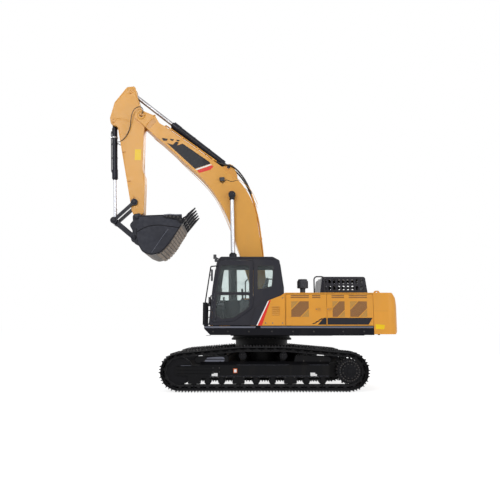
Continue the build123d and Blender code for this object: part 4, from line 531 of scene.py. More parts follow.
@dataclass(frozen=True)
class FinnedCore:
    """Cooler core with close upright fins."""

    name: str = "finned_core"
    slot: str = "cooler_alloy"

    def make(self) -> bpy.types.Material:
        """Builds the core's material."""
        graph = Graph(self.name)
        fins = graph.node("ShaderNodeTexWave", {"bands_direction": "X"},
                          {"Vector": graph.place(), "Scale": 60.0})
        tubes = graph.node("ShaderNodeTexWave", {"bands_direction": "Z"},
                           {"Vector": graph.place(), "Scale": 14.0})
        colour = graph.mix(fins * tubes, srgb(30, 30, 32), srgb(96, 96, 100))
        return graph.surface(Base_Color=colour, Roughness=0.5, Metallic=0.6,
                             Normal=graph.bump(fins, 0.002, 0.8))


class Finish(Enum):
    """Every finish on the machine."""

    HOUSE = MachinePaint("house_yellow", srgb(222, 152, 46), "house_paint", 0.36, 0.2, 0.06, 0.06, 0.35)
    BOOM = MachinePaint("boom_ochre", srgb(222, 160, 68), "boom_paint", 0.38, 0.15, 0.06, 0.06, 0.3)
    # Deeper copy of the boom ochre: painted shadow on the boom behind its nose casting, and the colour of
    # small fittings, latches, louvres and the weight's casting line.
    PRIMER = MachinePaint("boom_ochre_deep", srgb(200, 138, 48), "boom_paint", 0.42)
    BLACK = MachinePaint("cab_black", srgb(28, 28, 38), "black_paint", 0.36, 0.12, 0.06, 0.03, 0.25)
    DECK = MachinePaint("deck_black", srgb(11, 11, 18), "black_paint", 0.42, 0.02, 0.08, 0.02, 0.12)
    CHASSIS = MachinePaint("chassis_black", srgb(8, 8, 11), "black_paint", 0.45, 0.02, 0.08, 0.03, 0.12)
    CYLINDER = MachinePaint("cylinder_black", srgb(25, 26, 37), "black_paint", 0.34, 0.06, 0.05, 0.03, 0.18)
    TRACK = RolledSteel("shoe_steel", srgb(17, 17, 21), "track_steel", srgb(42, 38, 36), 0.25, 0.0, 0.52,
                        0.28)
    WHEEL = RolledSteel("wheel_steel", srgb(9, 9, 14), "track_steel", srgb(30, 28, 28), 0.15, 0.0, 0.5, 0.15)
    TEETH = RolledSteel("tooth_steel", srgb(16, 16, 22), "bucket_steel", srgb(54, 48, 46), 0.2, 0.1, 0.5, 0.2)
    ENGINE = RolledSteel("cast_block", srgb(58, 58, 60), "engine_iron", srgb(90, 80, 66), 0.3, 0.3, 0.6)
    WEAR = RolledSteel("wear_plate", srgb(156, 142, 128), "bucket_steel", srgb(112, 96, 82), 0.5, 0.3, 0.6)
    BUCKET = BucketPlate()
    CHROME = BrightRod("bright_rod", srgb(206, 208, 216))
    DARK_ROD = BrightRod("shaded_rod", srgb(150, 148, 150))
    PIN = TurnedSteel("turned_pin", srgb(112, 108, 104), "pin_steel")
    BOLT = TurnedSteel("bolt_steel", srgb(120, 118, 116), "pin_steel", 0.8, 0.4)
    BLACK_BOLT = TurnedSteel("black_bolt", srgb(26, 26, 30), "pin_steel", 0.2, 0.5)
    PIPE = TurnedSteel("oil_pipe", srgb(46, 46, 52), "pipe_steel", 0.4, 0.35)
    CLAMP = TurnedSteel("bright_clamp", srgb(206, 206, 208), "pin_steel", 0.6, 0.35)
    EXHAUST = TurnedSteel("hot_pipe", srgb(128, 118, 108), "pipe_steel", 0.8, 0.45)
    RUBBER = MouldedPart("hose_rubber", srgb(36, 36, 38), "black_plastic", 0.5)
    SEAL = MouldedPart("seal_rubber", srgb(22, 22, 25), "black_plastic", 0.6)
    PLASTIC = MouldedPart("grained_plastic", srgb(42, 42, 48), "black_plastic", 0.5, 220.0, 0.001)
    TRIM = MouldedPart("cab_trim", srgb(66, 67, 72), "black_plastic", 0.6, 200.0, 0.001)
    CLOTH = SeatCloth("seat_cloth", srgb(50, 50, 56))
    GLASS = WindowPane("window_pane", (0.955, 0.99, 0.985, 1.0))
    LENS = LampLens()
    MIRROR = BrightRod("mirror_glass", srgb(210, 214, 220), "window_glass")
    WHITE = PrintedFilm("white_film", srgb(240, 240, 240), "house_paint")
    RED = PrintedFilm("red_film", srgb(224, 52, 40), "house_paint")
    DARK = PrintedFilm("dark_film", srgb(22, 22, 30), "house_paint", 0.5)
    SIGN = PrintedFilm("signal_yellow_film", srgb(240, 200, 22), "house_paint")
    # Light grey-blue film on black parts: painted highlight on the track frames' edges and covers and on the
    # deck lip, and bare scuffed steel on the bucket's cutters and braces.
    EDGE = PrintedFilm("wear_and_painted_highlight", srgb(104, 106, 118), "black_paint", 0.4)
    ORANGE = PrintedFilm("orange_film", srgb(226, 110, 50), "house_paint")
    REFLECTOR = PrintedFilm("red_reflector", srgb(170, 16, 14), "black_plastic", 0.15)
    # The hole colours of both punched sheets are painted shade.
    GRILLE = PunchedSheet("punched_dark", srgb(142, 94, 40), srgb(30, 20, 10), "house_paint")
    CORNER = PunchedSheet("punched_yellow", srgb(190, 140, 58), srgb(60, 42, 20), "house_paint")
    CORE = FinnedCore()

    def material(self) -> bpy.types.Material:
        """The finish's material, made once."""
        found = bpy.data.materials.get(self.value.name)
        return found or self.value.make()


# Mesh tools


def aim(place: Sequence[float], along: Vector) -> Matrix:
    """Matrix that stands the Z axis along a direction at a place.

    Args:
        place: Where the origin goes.
        along: Direction of the Z axis.

    Returns:
        The matrix.
    """
    return Matrix.Translation(Vector(place)) @ Vector(along).to_track_quat("Z", "Y").to_matrix().to_4x4()


class Stock:
    """A bmesh that gathers the shapes of one piece."""

    def __init__(self) -> None:
        """Starts with nothing."""
        self.bm = bmesh.new()

    def _soften(self, verts: list, width: float, segments: int) -> None:
        """Rounds every edge of a new shape.

        Args:
            verts: Its vertices.
            width: Width of the bevel.
            segments: Rows of faces in the bevel.
        """
        if width > 0:
            edges = list(dict.fromkeys(edge for vert in verts for edge in vert.link_edges))
            bmesh.ops.bevel(self.bm, geom=edges, offset=width, segments=segments, profile=0.5, affect="EDGES",
                            clamp_overlap=True, material=-1)

    def block(self, low: Place, high: Place, bevel: float = 0.0, segments: int = 2,
              turn: Matrix | None = None) -> None:
        """Adds a box.

        Args:
            low: Lowest corner.
            high: Highest corner.
            bevel: Width of its rounded edges.
            segments: Rows of faces in them.
            turn: Matrix applied last.
        """
        middle = (Vector(low) + Vector(high)) / 2
        size = Vector(high) - Vector(low)
        matrix = (turn or Matrix()) @ Matrix.Translation(middle) @ Matrix.Diagonal((*size, 1.0))
        made = bmesh.ops.create_cube(self.bm, size=1.0, matrix=matrix)["verts"]
        self._soften(made, bevel, segments)

    def round_bar(self, start: Sequence[float], end: Sequence[float], radius: float, sides: int = 16,
                  bevel: float = 0.0, end_radius: float | None = None) -> None:
        """Adds a round bar or cone.

        Args:
            start: Middle of its foot.
            end: Middle of its head.
            radius: Radius at the foot.
            sides: Flats round it.
            bevel: Width of its rounded ends.
            end_radius: Radius at the head, the same if left out.
        """
        along = Vector(end) - Vector(start)
        matrix = aim((Vector(start) + Vector(end)) / 2, along)
        made = bmesh.ops.create_cone(self.bm, cap_ends=True, segments=sides, radius1=radius,
                                     radius2=radius if end_radius is None else end_radius, depth=along.length,
                                     matrix=matrix)["verts"]
        self._soften(made, bevel, 1)

    def bolt(self, place: Sequence[float], along: Vector, across: float = 0.03,
             height: float = 0.018) -> None:
        """Adds a hexagon head on its washer.

        Args:
            place: Foot of the washer.
            along: Direction of the head.
            across: Width across its flats.
            height: Height of the head.
        """
        foot = Vector(place)
        direction = Vector(along).normalized()
        flat = direction * height * 0.22
        self.round_bar(foot - flat * 0.2, foot + flat, across * 0.78, 10)
        self.round_bar(foot + flat, foot + direction * height, across / math.sqrt(3), 6,
                       end_radius=across / math.sqrt(3) * 0.94)

    def bolt_ring(self, centre: Sequence[float], along: Vector, radius: float, count: int,
                  across: float = 0.03, height: float = 0.018) -> None:
        """Adds a ring of bolts.

        Args:
            centre: Middle of the ring.
            along: Direction of the heads.
            radius: Radius of the ring.
            count: Number of bolts.
            across: Width across the flats.
            height: Height of the heads.
        """
        seat = aim(centre, along)
        for index in range(count):
            angle = math.tau * (index + 0.5) / count
            place = seat @ Vector((radius * math.cos(angle), radius * math.sin(angle), 0.0))
            self.bolt(place, along, across, height)

    def turned(self, profile: Sequence[Point], foot: Sequence[float], along: Vector, steps: int = 32) -> None:
        """Adds a body turned on a lathe.

        Args:
            profile: Radius and height of each corner, from axis to axis or as a closed band.
            foot: Place of height 0 on the axis.
            along: Direction of the axis.
            steps: Flats round it.
        """
        verts = [self.bm.verts.new((radius, 0.0, height)) for radius, height in profile]
        edges = [self.bm.edges.new(pair) for pair in zip(verts, verts[1:])]
        made = bmesh.ops.spin(self.bm, geom=verts + edges, cent=(0, 0, 0), axis=(0, 0, 1), angle=math.tau,
                              steps=steps, use_merge=True, use_duplicate=False)
        last = [item for item in made["geom_last"] if isinstance(item, bmesh.types.BMVert)]
        grown = dict.fromkeys(verts + last)
        waiting = list(grown)
        while waiting:
            vert = waiting.pop()
            for edge in vert.link_edges:
                other = edge.other_vert(vert)
                if other not in grown:
                    grown[other] = None
                    waiting.append(other)
        bmesh.ops.remove_doubles(self.bm, verts=list(grown), dist=1e-5)
        grown = [vert for vert in grown if vert.is_valid]
        bmesh.ops.transform(self.bm, matrix=aim(foot, along), verts=grown)

    def sheet(self, corners: Sequence[Sequence[float]], depth: Vector, bevel: float = 0.0,
              rounding: float = 0.0) -> None:
        """Adds a flat plate from its outline.

        Args:
            corners: Corners of one face, in order.
            depth: Vector from that face to the other.
            bevel: Width of its rounded edges.
            rounding: Radius of its corners.
        """
        before = set(self.bm.faces)
        verts = [self.bm.verts.new(corner) for corner in corners]
        self.bm.faces.new(verts)
        if rounding > 0:
            bmesh.ops.bevel(self.bm, geom=verts, offset=rounding, segments=4, profile=0.5, affect="VERTICES",
                            clamp_overlap=True, material=-1)
        pane = [face for face in self.bm.faces if face not in before]
        made = bmesh.ops.extrude_face_region(self.bm, geom=pane)["geom"]
        moved = [item for item in made if isinstance(item, bmesh.types.BMVert)]
        bmesh.ops.translate(self.bm, vec=Vector(depth), verts=moved)
        if bevel > 0:
            edges = list(dict.fromkeys(edge for vert in moved for edge in vert.link_edges
                                       if all(other in moved for other in edge.verts)))
            bmesh.ops.bevel(self.bm, geom=edges, offset=bevel, segments=1, profile=0.5, affect="EDGES",
                            clamp_overlap=True, material=-1)

    def side_sheet(self, corners: Sequence[Point], y_low: float, y_high: float, bevel: float = 0.0,
                   rounding: float = 0.0) -> None:
        """Adds a plate in X and Z between two sides.

        Args:
            corners: Its outline in X and Z.
            y_low: One face.
            y_high: The other face, whose edges are bevelled.
            bevel: Width of its rounded edges.
            rounding: Radius of its corners.
        """
        self.sheet([(x, y_low, z) for x, z in corners], Vector((0, y_high - y_low, 0)), bevel, rounding)

    def rim(self, corners: Sequence[Sequence[float]], depth: Vector, width: float,
            rounding: float = 0.0) -> None:
        """Adds a flat frame along an outline.

        Args:
            corners: Outer corners of one face, in order.
            depth: Vector from that face to the other.
            width: Width of the frame.
            rounding: Radius of its outer corners.
        """
        before = set(self.bm.faces)
        verts = [self.bm.verts.new(corner) for corner in corners]
        self.bm.faces.new(verts)
        if rounding > 0:
            bmesh.ops.bevel(self.bm, geom=verts, offset=rounding, segments=4, profile=0.5, affect="VERTICES",
                            clamp_overlap=True, material=-1)
        pane = [face for face in self.bm.faces if face not in before]
        ring = bmesh.ops.inset_region(self.bm, faces=pane, thickness=width, use_boundary=True,
                                      use_even_offset=True)["faces"]
        bmesh.ops.delete(self.bm, geom=pane, context="FACES")
        made = bmesh.ops.extrude_face_region(self.bm, geom=ring)["geom"]
        moved = [item for item in made if isinstance(item, bmesh.types.BMVert)]
        bmesh.ops.translate(self.bm, vec=Vector(depth), verts=moved)

    def run(self, points: Sequence[Sequence[float]], radius: float, smooth: bool = True,
            sides: int = 10) -> None:
        """Adds a pipe, hose or weld bead along a line.

        Args:
            points: Points of the line.
            radius: Its radius.
            smooth: Whether it bends softly, or has sharp corners.
            sides: Flats round it.
        """
        self.take(pipe_curve("run", points, radius, smooth, sides))

    def take(self, item: bpy.types.Object) -> None:
        """Adds the mesh of an object that is then dropped.

        Args:
            item: The object.
        """
        mesh = bpy.data.meshes.new_from_object(item)
        self.bm.from_mesh(mesh)
        bpy.data.meshes.remove(mesh)
        data = item.data
        bpy.data.objects.remove(item)
        bpy.data.curves.remove(data)

    def mirrored(self) -> None:
        """Adds a copy of everything on the other side of the machine."""
        geometry = list(self.bm.verts) + list(self.bm.edges) + list(self.bm.faces)
        copy = bmesh.ops.duplicate(self.bm, geom=geometry)["geom"]
        verts = [item for item in copy if isinstance(item, bmesh.types.BMVert)]
        bmesh.ops.scale(self.bm, vec=(1.0, -1.0, 1.0), verts=verts)

    def pair(self, name: str, body: str, finish: Finish) -> None:
        """Mirrors the shapes and turns both sides into one finished piece.

        Args:
            name: Name of the piece.
            body: Body that carries it.
            finish: Its finish.
        """
        self.mirrored()
        self.piece(name, body, finish)

    def piece(self, name: str, body: str, finish: Finish, smooth: float = 35.0) -> bpy.types.Object:
        """Turns the shapes into a finished piece that rides on a body.

        Args:
            name: Name of the piece.
            body: Body that carries it.
            finish: Its finish.
            smooth: Angle in degrees below which edges look round.

        Returns:
            The object.
        """
        bmesh.ops.recalc_face_normals(self.bm, faces=self.bm.faces)
        mesh = bpy.data.meshes.new(name)
        self.bm.to_mesh(mesh)
        self.bm.free()
        mesh.polygons.foreach_set("use_smooth", [True] * len(mesh.polygons))
        mesh.set_sharp_from_angle(angle=math.radians(smooth))
        item = bpy.data.objects.new(name, mesh)
        bpy.context.scene.collection.objects.link(item)
        return dress(item, body, finish)


def pipe_curve(name: str, points: Sequence[Sequence[float]], radius: float, smooth: bool = True,
               sides: int = 10) -> bpy.types.Object:
    """Curve object with a round section.

    Args:
        name: Its name.
        points: Points of its line.
        radius: Radius of the section.
        smooth: Whether it bends softly.
        sides: Flats round it.

    Returns:
        The object, not yet in the scene.
    """
    data = bpy.data.curves.new(name, "CURVE")
    data.dimensions = "3D"
    data.bevel_depth = radius
    data.bevel_resolution = max(0, (sides - 4) // 2)
    data.use_fill_caps = True
    data.resolution_u = 5
    spline = data.splines.new("NURBS" if smooth else "POLY")
    spline.points.add(len(points) - 1)
    for point, place in zip(spline.points, points):
        point.co = (*place, 1.0)
    if smooth:
        spline.order_u = 3
        spline.use_endpoint_u = True
    return bpy.data.objects.new(name, data)


def dress(item: bpy.types.Object, body: str, finish: Finish) -> bpy.types.Object:
    """Gives a piece its finish and its body.

    Args:
        item: The piece.
        body: Body that carries it.
        finish: Its finish.

    Returns:
        The piece.
    """
    item.data.materials.clear()
    item.data.materials.append(finish.material())
    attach(item, body)
    LOG.info("%s rides on %s in %s", item.name, body, finish.value.name)
    return item


def swell(item: bpy.types.Object, cell: float = 0.009, most: float = 0.008) -> None:
    """Fills a cushion out with a short cloth simulation and keeps the result in its mesh.

    Args:
        item: The cushion.
        cell: Size of the even faces it gets.
        most: Furthest that a point may move.
    """
    even = item.modifiers.new("even", "REMESH")
    even.mode = "VOXEL"
    even.voxel_size = cell
    even.use_smooth_shade = True
    keep_shape(item)
    start = [vert.co.copy() for vert in item.data.vertices]
    cloth = item.modifiers.new("swell", "CLOTH")
    cloth.settings.use_pressure = True
    cloth.settings.uniform_pressure_force = SWELL_PRESSURE
    cloth.settings.effector_weights.gravity = 0.0
    for frame in range(1, SWELL_FRAMES + 1):
        bpy.context.scene.frame_set(frame)
    keep_shape(item)
    for vert, place in zip(item.data.vertices, start):
        move = vert.co - place
        if move.length > most:
            vert.co = place + move.normalized() * most
    bpy.context.scene.frame_set(1)


def keep_shape(item: bpy.types.Object) -> None:
    """Turns what a piece's modifiers make of it into its mesh.

    Args:
        item: The piece.
    """
    bpy.context.view_layer.update()
    shaped = item.evaluated_get(bpy.context.evaluated_depsgraph_get())
    mesh = bpy.data.meshes.new_from_object(shaped)
    item.modifiers.clear()
    item.data = mesh


# Undercarriage


@dataclass
class Undercarriage:
    """Tracks, wheels, frames and car body."""

    body: str = "undercarriage"
    gauge_half: float = 1.295
    axle_z: float = 0.471
    sprocket_x: float = -2.042
    idler_x: float = 1.998
    pitch_radius: float = 0.369
    shoe_count: int = 48
    rail_face: float = 0.0975
    frame_face: float = 0.145
    roller_x: tuple = (-1.4, -1.016, -0.633, -0.212, 0.178, 0.587, 0.992, 1.318, 1.645)
    carrier_x: tuple = (0.494, -0.481)
    carrier_z: float = 0.83
    wrap: float = 0.149

    def pins(self) -> list[Vector]:
        """Link pins of one track in X and Z, evenly round the loop.

        Returns:
            The pins, in order.
        """
        circles = [(self.sprocket_x, self.axle_z, self.pitch_radius),
                   (self.idler_x, self.axle_z, self.pitch_radius)]
        circles += [(x, self.carrier_z, self.wrap) for x in self.carrier_x]
        following = circles[1:] + circles[:1]
        leans = []
        for (x1, z1, r1), (x2, z2, r2) in zip(circles, following):
            lean = math.asin((r1 - r2) / math.hypot(x2 - x1, z2 - z1))
            leans.append(math.atan2(z2 - z1, x2 - x1) - math.pi / 2 + lean)
        runs = []
        for index, angle in enumerate(leans):
            way = Vector((math.cos(angle), math.sin(angle)))
            start = Vector(circles[index][:2]) + way * circles[index][2]
            end = Vector(following[index][:2]) + way * following[index][2]
            turn = (leans[(index + 1) % len(leans)] - angle) % math.tau
            runs.append(((end - start).length, lambda part, start=start, end=end: start.lerp(end, part)))
            centre, radius = Vector(following[index][:2]), following[index][2]
            runs.append((turn * radius, lambda part, centre=centre, radius=radius, angle=angle,
                         turn=turn: centre
                         + radius * Vector((math.cos(angle + part * turn), math.sin(angle + part * turn)))))
        total = sum(length for length, _ in runs)
        found = []
        for step in range(self.shoe_count):
            left = total * step / self.shoe_count
            for length, place in runs:
                if left <= length:
                    break
                left -= length
            found.append(place(left / length))
        return found

    def chains(self) -> None:
        """Link plates, pin ends and shoe bolts of both tracks."""
        plates, heads, bolts = Stock(), Stock(), Stock()
        pins = self.pins()
        for first, second in zip(pins, pins[1:] + pins[:1]):
            along = (second - first).normalized()
            out = Vector((along.y, -along.x))
            outline = []
            for end, sign in ((first, -1), (second, 1)):
                for angle in (-75, -30, 30, 75):
                    turn = math.radians(angle * sign)
                    way = along * sign * math.cos(turn) + out * math.sin(turn)
                    outline.append(end + along * sign * -0.012 + way * 0.042)
            outline.insert(4, first.lerp(second, 0.5) + out * 0.03)
            outline.append(first.lerp(second, 0.5) - out * 0.03)
            middle = first.lerp(second, 0.5)
            for face, way in ((self.gauge_half + self.rail_face, 1), (self.gauge_half - self.rail_face, -1)):
                plates.side_sheet([tuple(point) for point in outline], face - 0.001 * way, face + 0.007 * way,
                                  0.003)
                heads.round_bar((first.x, face, first.y), (first.x, face + 0.014 * way, first.y), 0.021, 10,
                                0.003)
            for shift in (-0.036, 0.036):
                for across in (-0.105, -0.048, 0.048, 0.105):
                    place = middle + along * shift + out * 0.0655
                    bolts.bolt((place.x, self.gauge_half + across, place.y), Vector((out.x, 0, out.y)), 0.026,
                               0.015)
        for stock, name, finish in ((plates, "track_links", Finish.TRACK),
                                    (heads, "track_pins", Finish.WHEEL),
                                    (bolts, "shoe_bolts", Finish.BLACK_BOLT)):
            stock.pair(name, self.body, finish)

    def wheels(self) -> None:
        """Caps, bolt circles and hub rings of drive, idler and rollers."""
        covers, bolts = Stock(), Stock()
        drive = Vector((self.sprocket_x, 1.445, self.axle_z))
        covers.turned([(0.19, 0.0), (0.2, 0.0), (0.198, 0.02), (0.19, 0.03)], drive, Y_AXIS, 48)
        covers.turned([(0.0, 0.028), (0.150, 0.028), (0.145, 0.040), (0.078, 0.046), (0.07, 0.058),
                       (0.0, 0.058)],
                      drive, Y_AXIS, 40)
        covers.turned([(0.262, -0.03), (0.285, -0.03), (0.285, -0.012), (0.262, -0.012), (0.262, -0.03)],
                      drive, Y_AXIS, 48)
        bolts.bolt_ring(drive + Vector((0, 0.0, 0)), Y_AXIS, 0.228, 26, 0.026, 0.018)
        bolts.bolt_ring(drive + Vector((0, 0.030, 0)), Y_AXIS, 0.168, 12, 0.022, 0.014)
        bolts.bolt_ring((self.sprocket_x, 1.330, self.axle_z), Y_AXIS, 0.285, 24, 0.03, 0.018)
        for angle in (60, 200, 320):
            spot = drive + Vector((0.11 * math.cos(math.radians(angle)), 0.038,
                                   0.11 * math.sin(math.radians(angle))))
            covers.round_bar(spot, spot + Y_AXIS * 0.016, 0.02, 12, 0.004)
        idler = Vector((self.idler_x, 1.385, self.axle_z))
        covers.turned([(0.0, 0.026), (0.062, 0.026), (0.07, 0.034), (0.0, 0.040)], idler, Y_AXIS, 28)
        covers.turned([(0.235, -0.012), (0.262, -0.012), (0.262, 0.008), (0.235, 0.008), (0.235, -0.012)],
                      idler, Y_AXIS, 48)
        bolts.bolt_ring(idler + Vector((0, 0.028, 0)), Y_AXIS, 0.08, 6, 0.022, 0.012)
        for x in self.carrier_x:
            end = Vector((x, self.gauge_half + 0.1, self.carrier_z))
            covers.turned([(0.0, 0.0), (0.062, 0.0), (0.058, 0.016), (0.0, 0.02)], end, Y_AXIS, 24)
            bolts.bolt_ring(end + Y_AXIS * 0.014, Y_AXIS, 0.04, 4, 0.016, 0.01)
        for x in self.roller_x:
            end = Vector((x, self.gauge_half + 0.105, 0.2403))
            covers.turned([(0.044, -0.004), (0.07, -0.004), (0.066, 0.010), (0.044, 0.012)], end, Y_AXIS, 24)
        covers.pair("wheel_covers", self.body, Finish.WHEEL)
        bolts.pair("wheel_bolts", self.body, Finish.BLACK_BOLT)

    def frames(self) -> None:
        """Ribs, covers, weld beads, tension gear and blank labels of the track frames."""
        ribs, beads, bolts = Stock(), Stock(), Stock()
        face = self.gauge_half + self.frame_face
        for z in (0.418, 0.498, 0.576):
            ribs.block((1.24, face - 0.004, z - 0.006), (2.06, face + 0.010, z + 0.006), 0.003, 1)
        ribs.block((1.02, face - 0.002, 0.43), (1.22, face + 0.008, 0.57), 0.004, 1)
        for x in (1.045, 1.195):
            for z in (0.452, 0.548):
                bolts.bolt((x, face + 0.008, z), Y_AXIS, 0.02, 0.012)
        ribs.block((-1.50, face - 0.002, 0.598), (1.46, face + 0.004, 0.612), 0.002, 1)
        for corners in ([(0.82, 0.65), (0.84, 0.84), (1.14, 0.84), (1.60, 0.812), (1.66, 0.74), (1.60, 0.65)],
                        [(-0.72, 0.65), (-0.76, 0.84), (-1.06, 0.84), (-1.56, 0.818), (-1.64, 0.76),
                         (-1.60, 0.65)]):
            ribs.side_sheet(corners, 1.215, 1.365, 0.012)
            for share in (0.25, 0.75):
                bolts.bolt((corners[1][0] * (1 - share) + corners[3][0] * share, 1.365, 0.70), Y_AXIS, 0.02,
                           0.012)
        for x in (-1.2, -0.82, -0.42, 0.0, 0.38, 0.79, 1.16):
            ribs.block((x - 0.012, face - 0.002, 0.317), (x + 0.012, face + 0.010, 0.352), 0.002, 1)
            bolts.bolt((x + 0.09, face, 0.335), Y_AXIS, 0.018, 0.01)
            bolts.bolt((x - 0.09, face, 0.335), Y_AXIS, 0.018, 0.01)
        for y in (face, self.gauge_half - self.frame_face):
            beads.run([(-1.55, y, 0.354), (1.42, y, 0.354)], 0.006, False, 6)
            beads.run([(-1.55, y, 0.613), (1.42, y, 0.613)], 0.006, False, 6)
        for x in self.carrier_x:
            beads.run([(x - 0.07, 1.19, 0.616), (x + 0.07, 1.19, 0.616)], 0.008, False, 6)
        tube_y = self.gauge_half
        ribs.round_bar((1.28, tube_y, 0.50), (1.72, tube_y, 0.50), 0.06, 20, 0.006)
        ribs.round_bar((1.30, tube_y, 0.50), (1.36, tube_y, 0.50), 0.085, 20, 0.006)
        for stock, name, finish in ((ribs, "frame_ribs", Finish.CHASSIS),
                                    (beads, "frame_welds", Finish.CHASSIS),
                                    (bolts, "frame_bolts", Finish.BLACK_BOLT)):
            stock.pair(name, self.body, finish)
        # Grey-blue strips along the frame's upper and lower edges, at the idler end and over the front
        # covers: painted highlight where these edges and faces catch the light.
        painted_highlights = Stock()
        for x_low, x_high, z in ((-1.55, -1.08, 0.615), (-0.6, 0.64, 0.615), (1.72, 1.96, 0.602),
                                 (-1.55, 1.27, 0.356)):
            painted_highlights.block((x_low, face - 0.002, z - 0.004), (x_high, face + 0.004, z + 0.004), 0.001, 1)
        painted_highlights.side_sheet([(0.92, 0.755), (0.96, 0.80), (1.12, 0.80), (1.34, 0.782), (1.36, 0.755)], 1.360,
                          1.368, 0.002)
        painted_highlights.side_sheet([(0.96, 0.665), (0.92, 0.735), (1.38, 0.735), (1.42, 0.665)], 1.360, 1.368, 0.002)
        painted_highlights.pair("frame_painted_highlights", self.body, Finish.EDGE)
        white, orange = Stock(), Stock()
        film = face + 0.0015
        white.side_sheet([(1.228, 0.345), (1.228, 0.412), (1.18, 0.412), (1.172, 0.442), (1.086, 0.442),
                          (1.086, 0.345)], face - 0.001, film)
        white.side_sheet([(-1.108, 0.345), (-1.108, 0.437), (-1.215, 0.437), (-1.222, 0.405), (-1.262, 0.400),
                          (-1.262, 0.345)], face - 0.001, film)
        orange.side_sheet([(0.715, 0.432), (0.715, 0.532), (0.625, 0.532), (0.625, 0.432)], face - 0.001,
                          film)
        white.side_sheet([(0.700, 0.447), (0.700, 0.517), (0.640, 0.517), (0.640, 0.447)], film - 0.001,
                         film + 0.001)
        for stock, name, finish in ((white, "frame_labels", Finish.WHITE),
                                    (orange, "frame_label_edge", Finish.ORANGE)):
            stock.pair(name, self.body, finish)

    def centre(self) -> None:
        """Bearing bolts, belly plate, travel motors and their pipes."""
        bolts, plates, pipes = Stock(), Stock(), Stock()
        bolts.bolt_ring((0, 0, 1.215), Z_AXIS, 0.768, 44, 0.028, 0.02)
        bolts.bolt_ring((0, 0, 0.5), -Z_AXIS, 0.5, 18, 0.03, 0.016)
        plates.turned([(0.0, 0.0), (0.55, 0.0), (0.545, 0.012), (0.0, 0.012)], (0, 0, 0.5), -Z_AXIS, 48)
        plates.turned([(0.746, 0.0), (0.757, 0.004), (0.757, 0.012), (0.746, 0.016)], (0, 0, 1.243), Z_AXIS,
                      64)
        for side in SIDES:
            for end in SIDES:
                plates.run([(end * 0.16, side * 0.42, 0.955), (end * 0.50, side * 1.148, 0.667)], 0.010,
                           False, 8)
                plates.run([(end * 0.64, side * 0.42, 0.955), (end * 1.06, side * 1.148, 0.667)], 0.010,
                           False, 8)
            plates.block((0.645, side * 0.18 - 0.12, 0.66), (0.70, side * 0.18 + 0.12, 0.9), 0.008, 1)
            for dz in (0.69, 0.87):
                for dy in (-0.09, 0.09):
                    bolts.bolt((0.70, side * 0.18 + dy, dz), X_AXIS, 0.022, 0.012)
            foot = Vector((self.sprocket_x, side * 1.155, self.axle_z))
            inward = Vector((0, -side, 0))
            plates.turned([(0.0, 0.0), (0.17, 0.0), (0.17, 0.03), (0.135, 0.045), (0.130, 0.15), (0.10, 0.18),
                           (0.0, 0.18)], foot, inward, 36)
            bolts.bolt_ring(foot + inward * 0.03, inward, 0.152, 12, 0.022, 0.014)
            plates.block((self.sprocket_x - 0.07, min(side * 0.93, side * 1.03), self.axle_z + 0.08),
                         (self.sprocket_x + 0.07, max(side * 0.93, side * 1.03), self.axle_z + 0.17), 0.01, 1)
            for shift in (-0.045, 0.0, 0.045):
                y = side * 0.955
                pipes.run([(self.sprocket_x + 0.06, y, self.axle_z + 0.125 + shift * 0.4),
                           (self.sprocket_x + 0.26, y, self.axle_z + 0.135 + shift),
                           (-1.5, y + side * 0.02, 0.60 + shift), (-1.02, y, 0.64 + shift),
                           (-0.86, side * 0.80, 0.78 + shift), (-0.66, side * 0.42, 0.86 + shift),
                           (-0.56, side * 0.3, 0.87 + shift)], 0.014, True, 8)
            pipes.block((-1.42, min(side * 0.94, side * 1.0), 0.53),
                        (-1.38, max(side * 0.94, side * 1.0), 0.68), 0.004, 1)
        bolts.piece("centre_bolts", self.body, Finish.BLACK_BOLT)
        plates.piece("centre_plates", self.body, Finish.CHASSIS)
        pipes.piece("travel_pipes", self.body, Finish.RUBBER)

    def build(self) -> None:
        """Builds every piece of the undercarriage."""
        self.chains()
        self.wheels()
        self.frames()
        self.centre()


# House


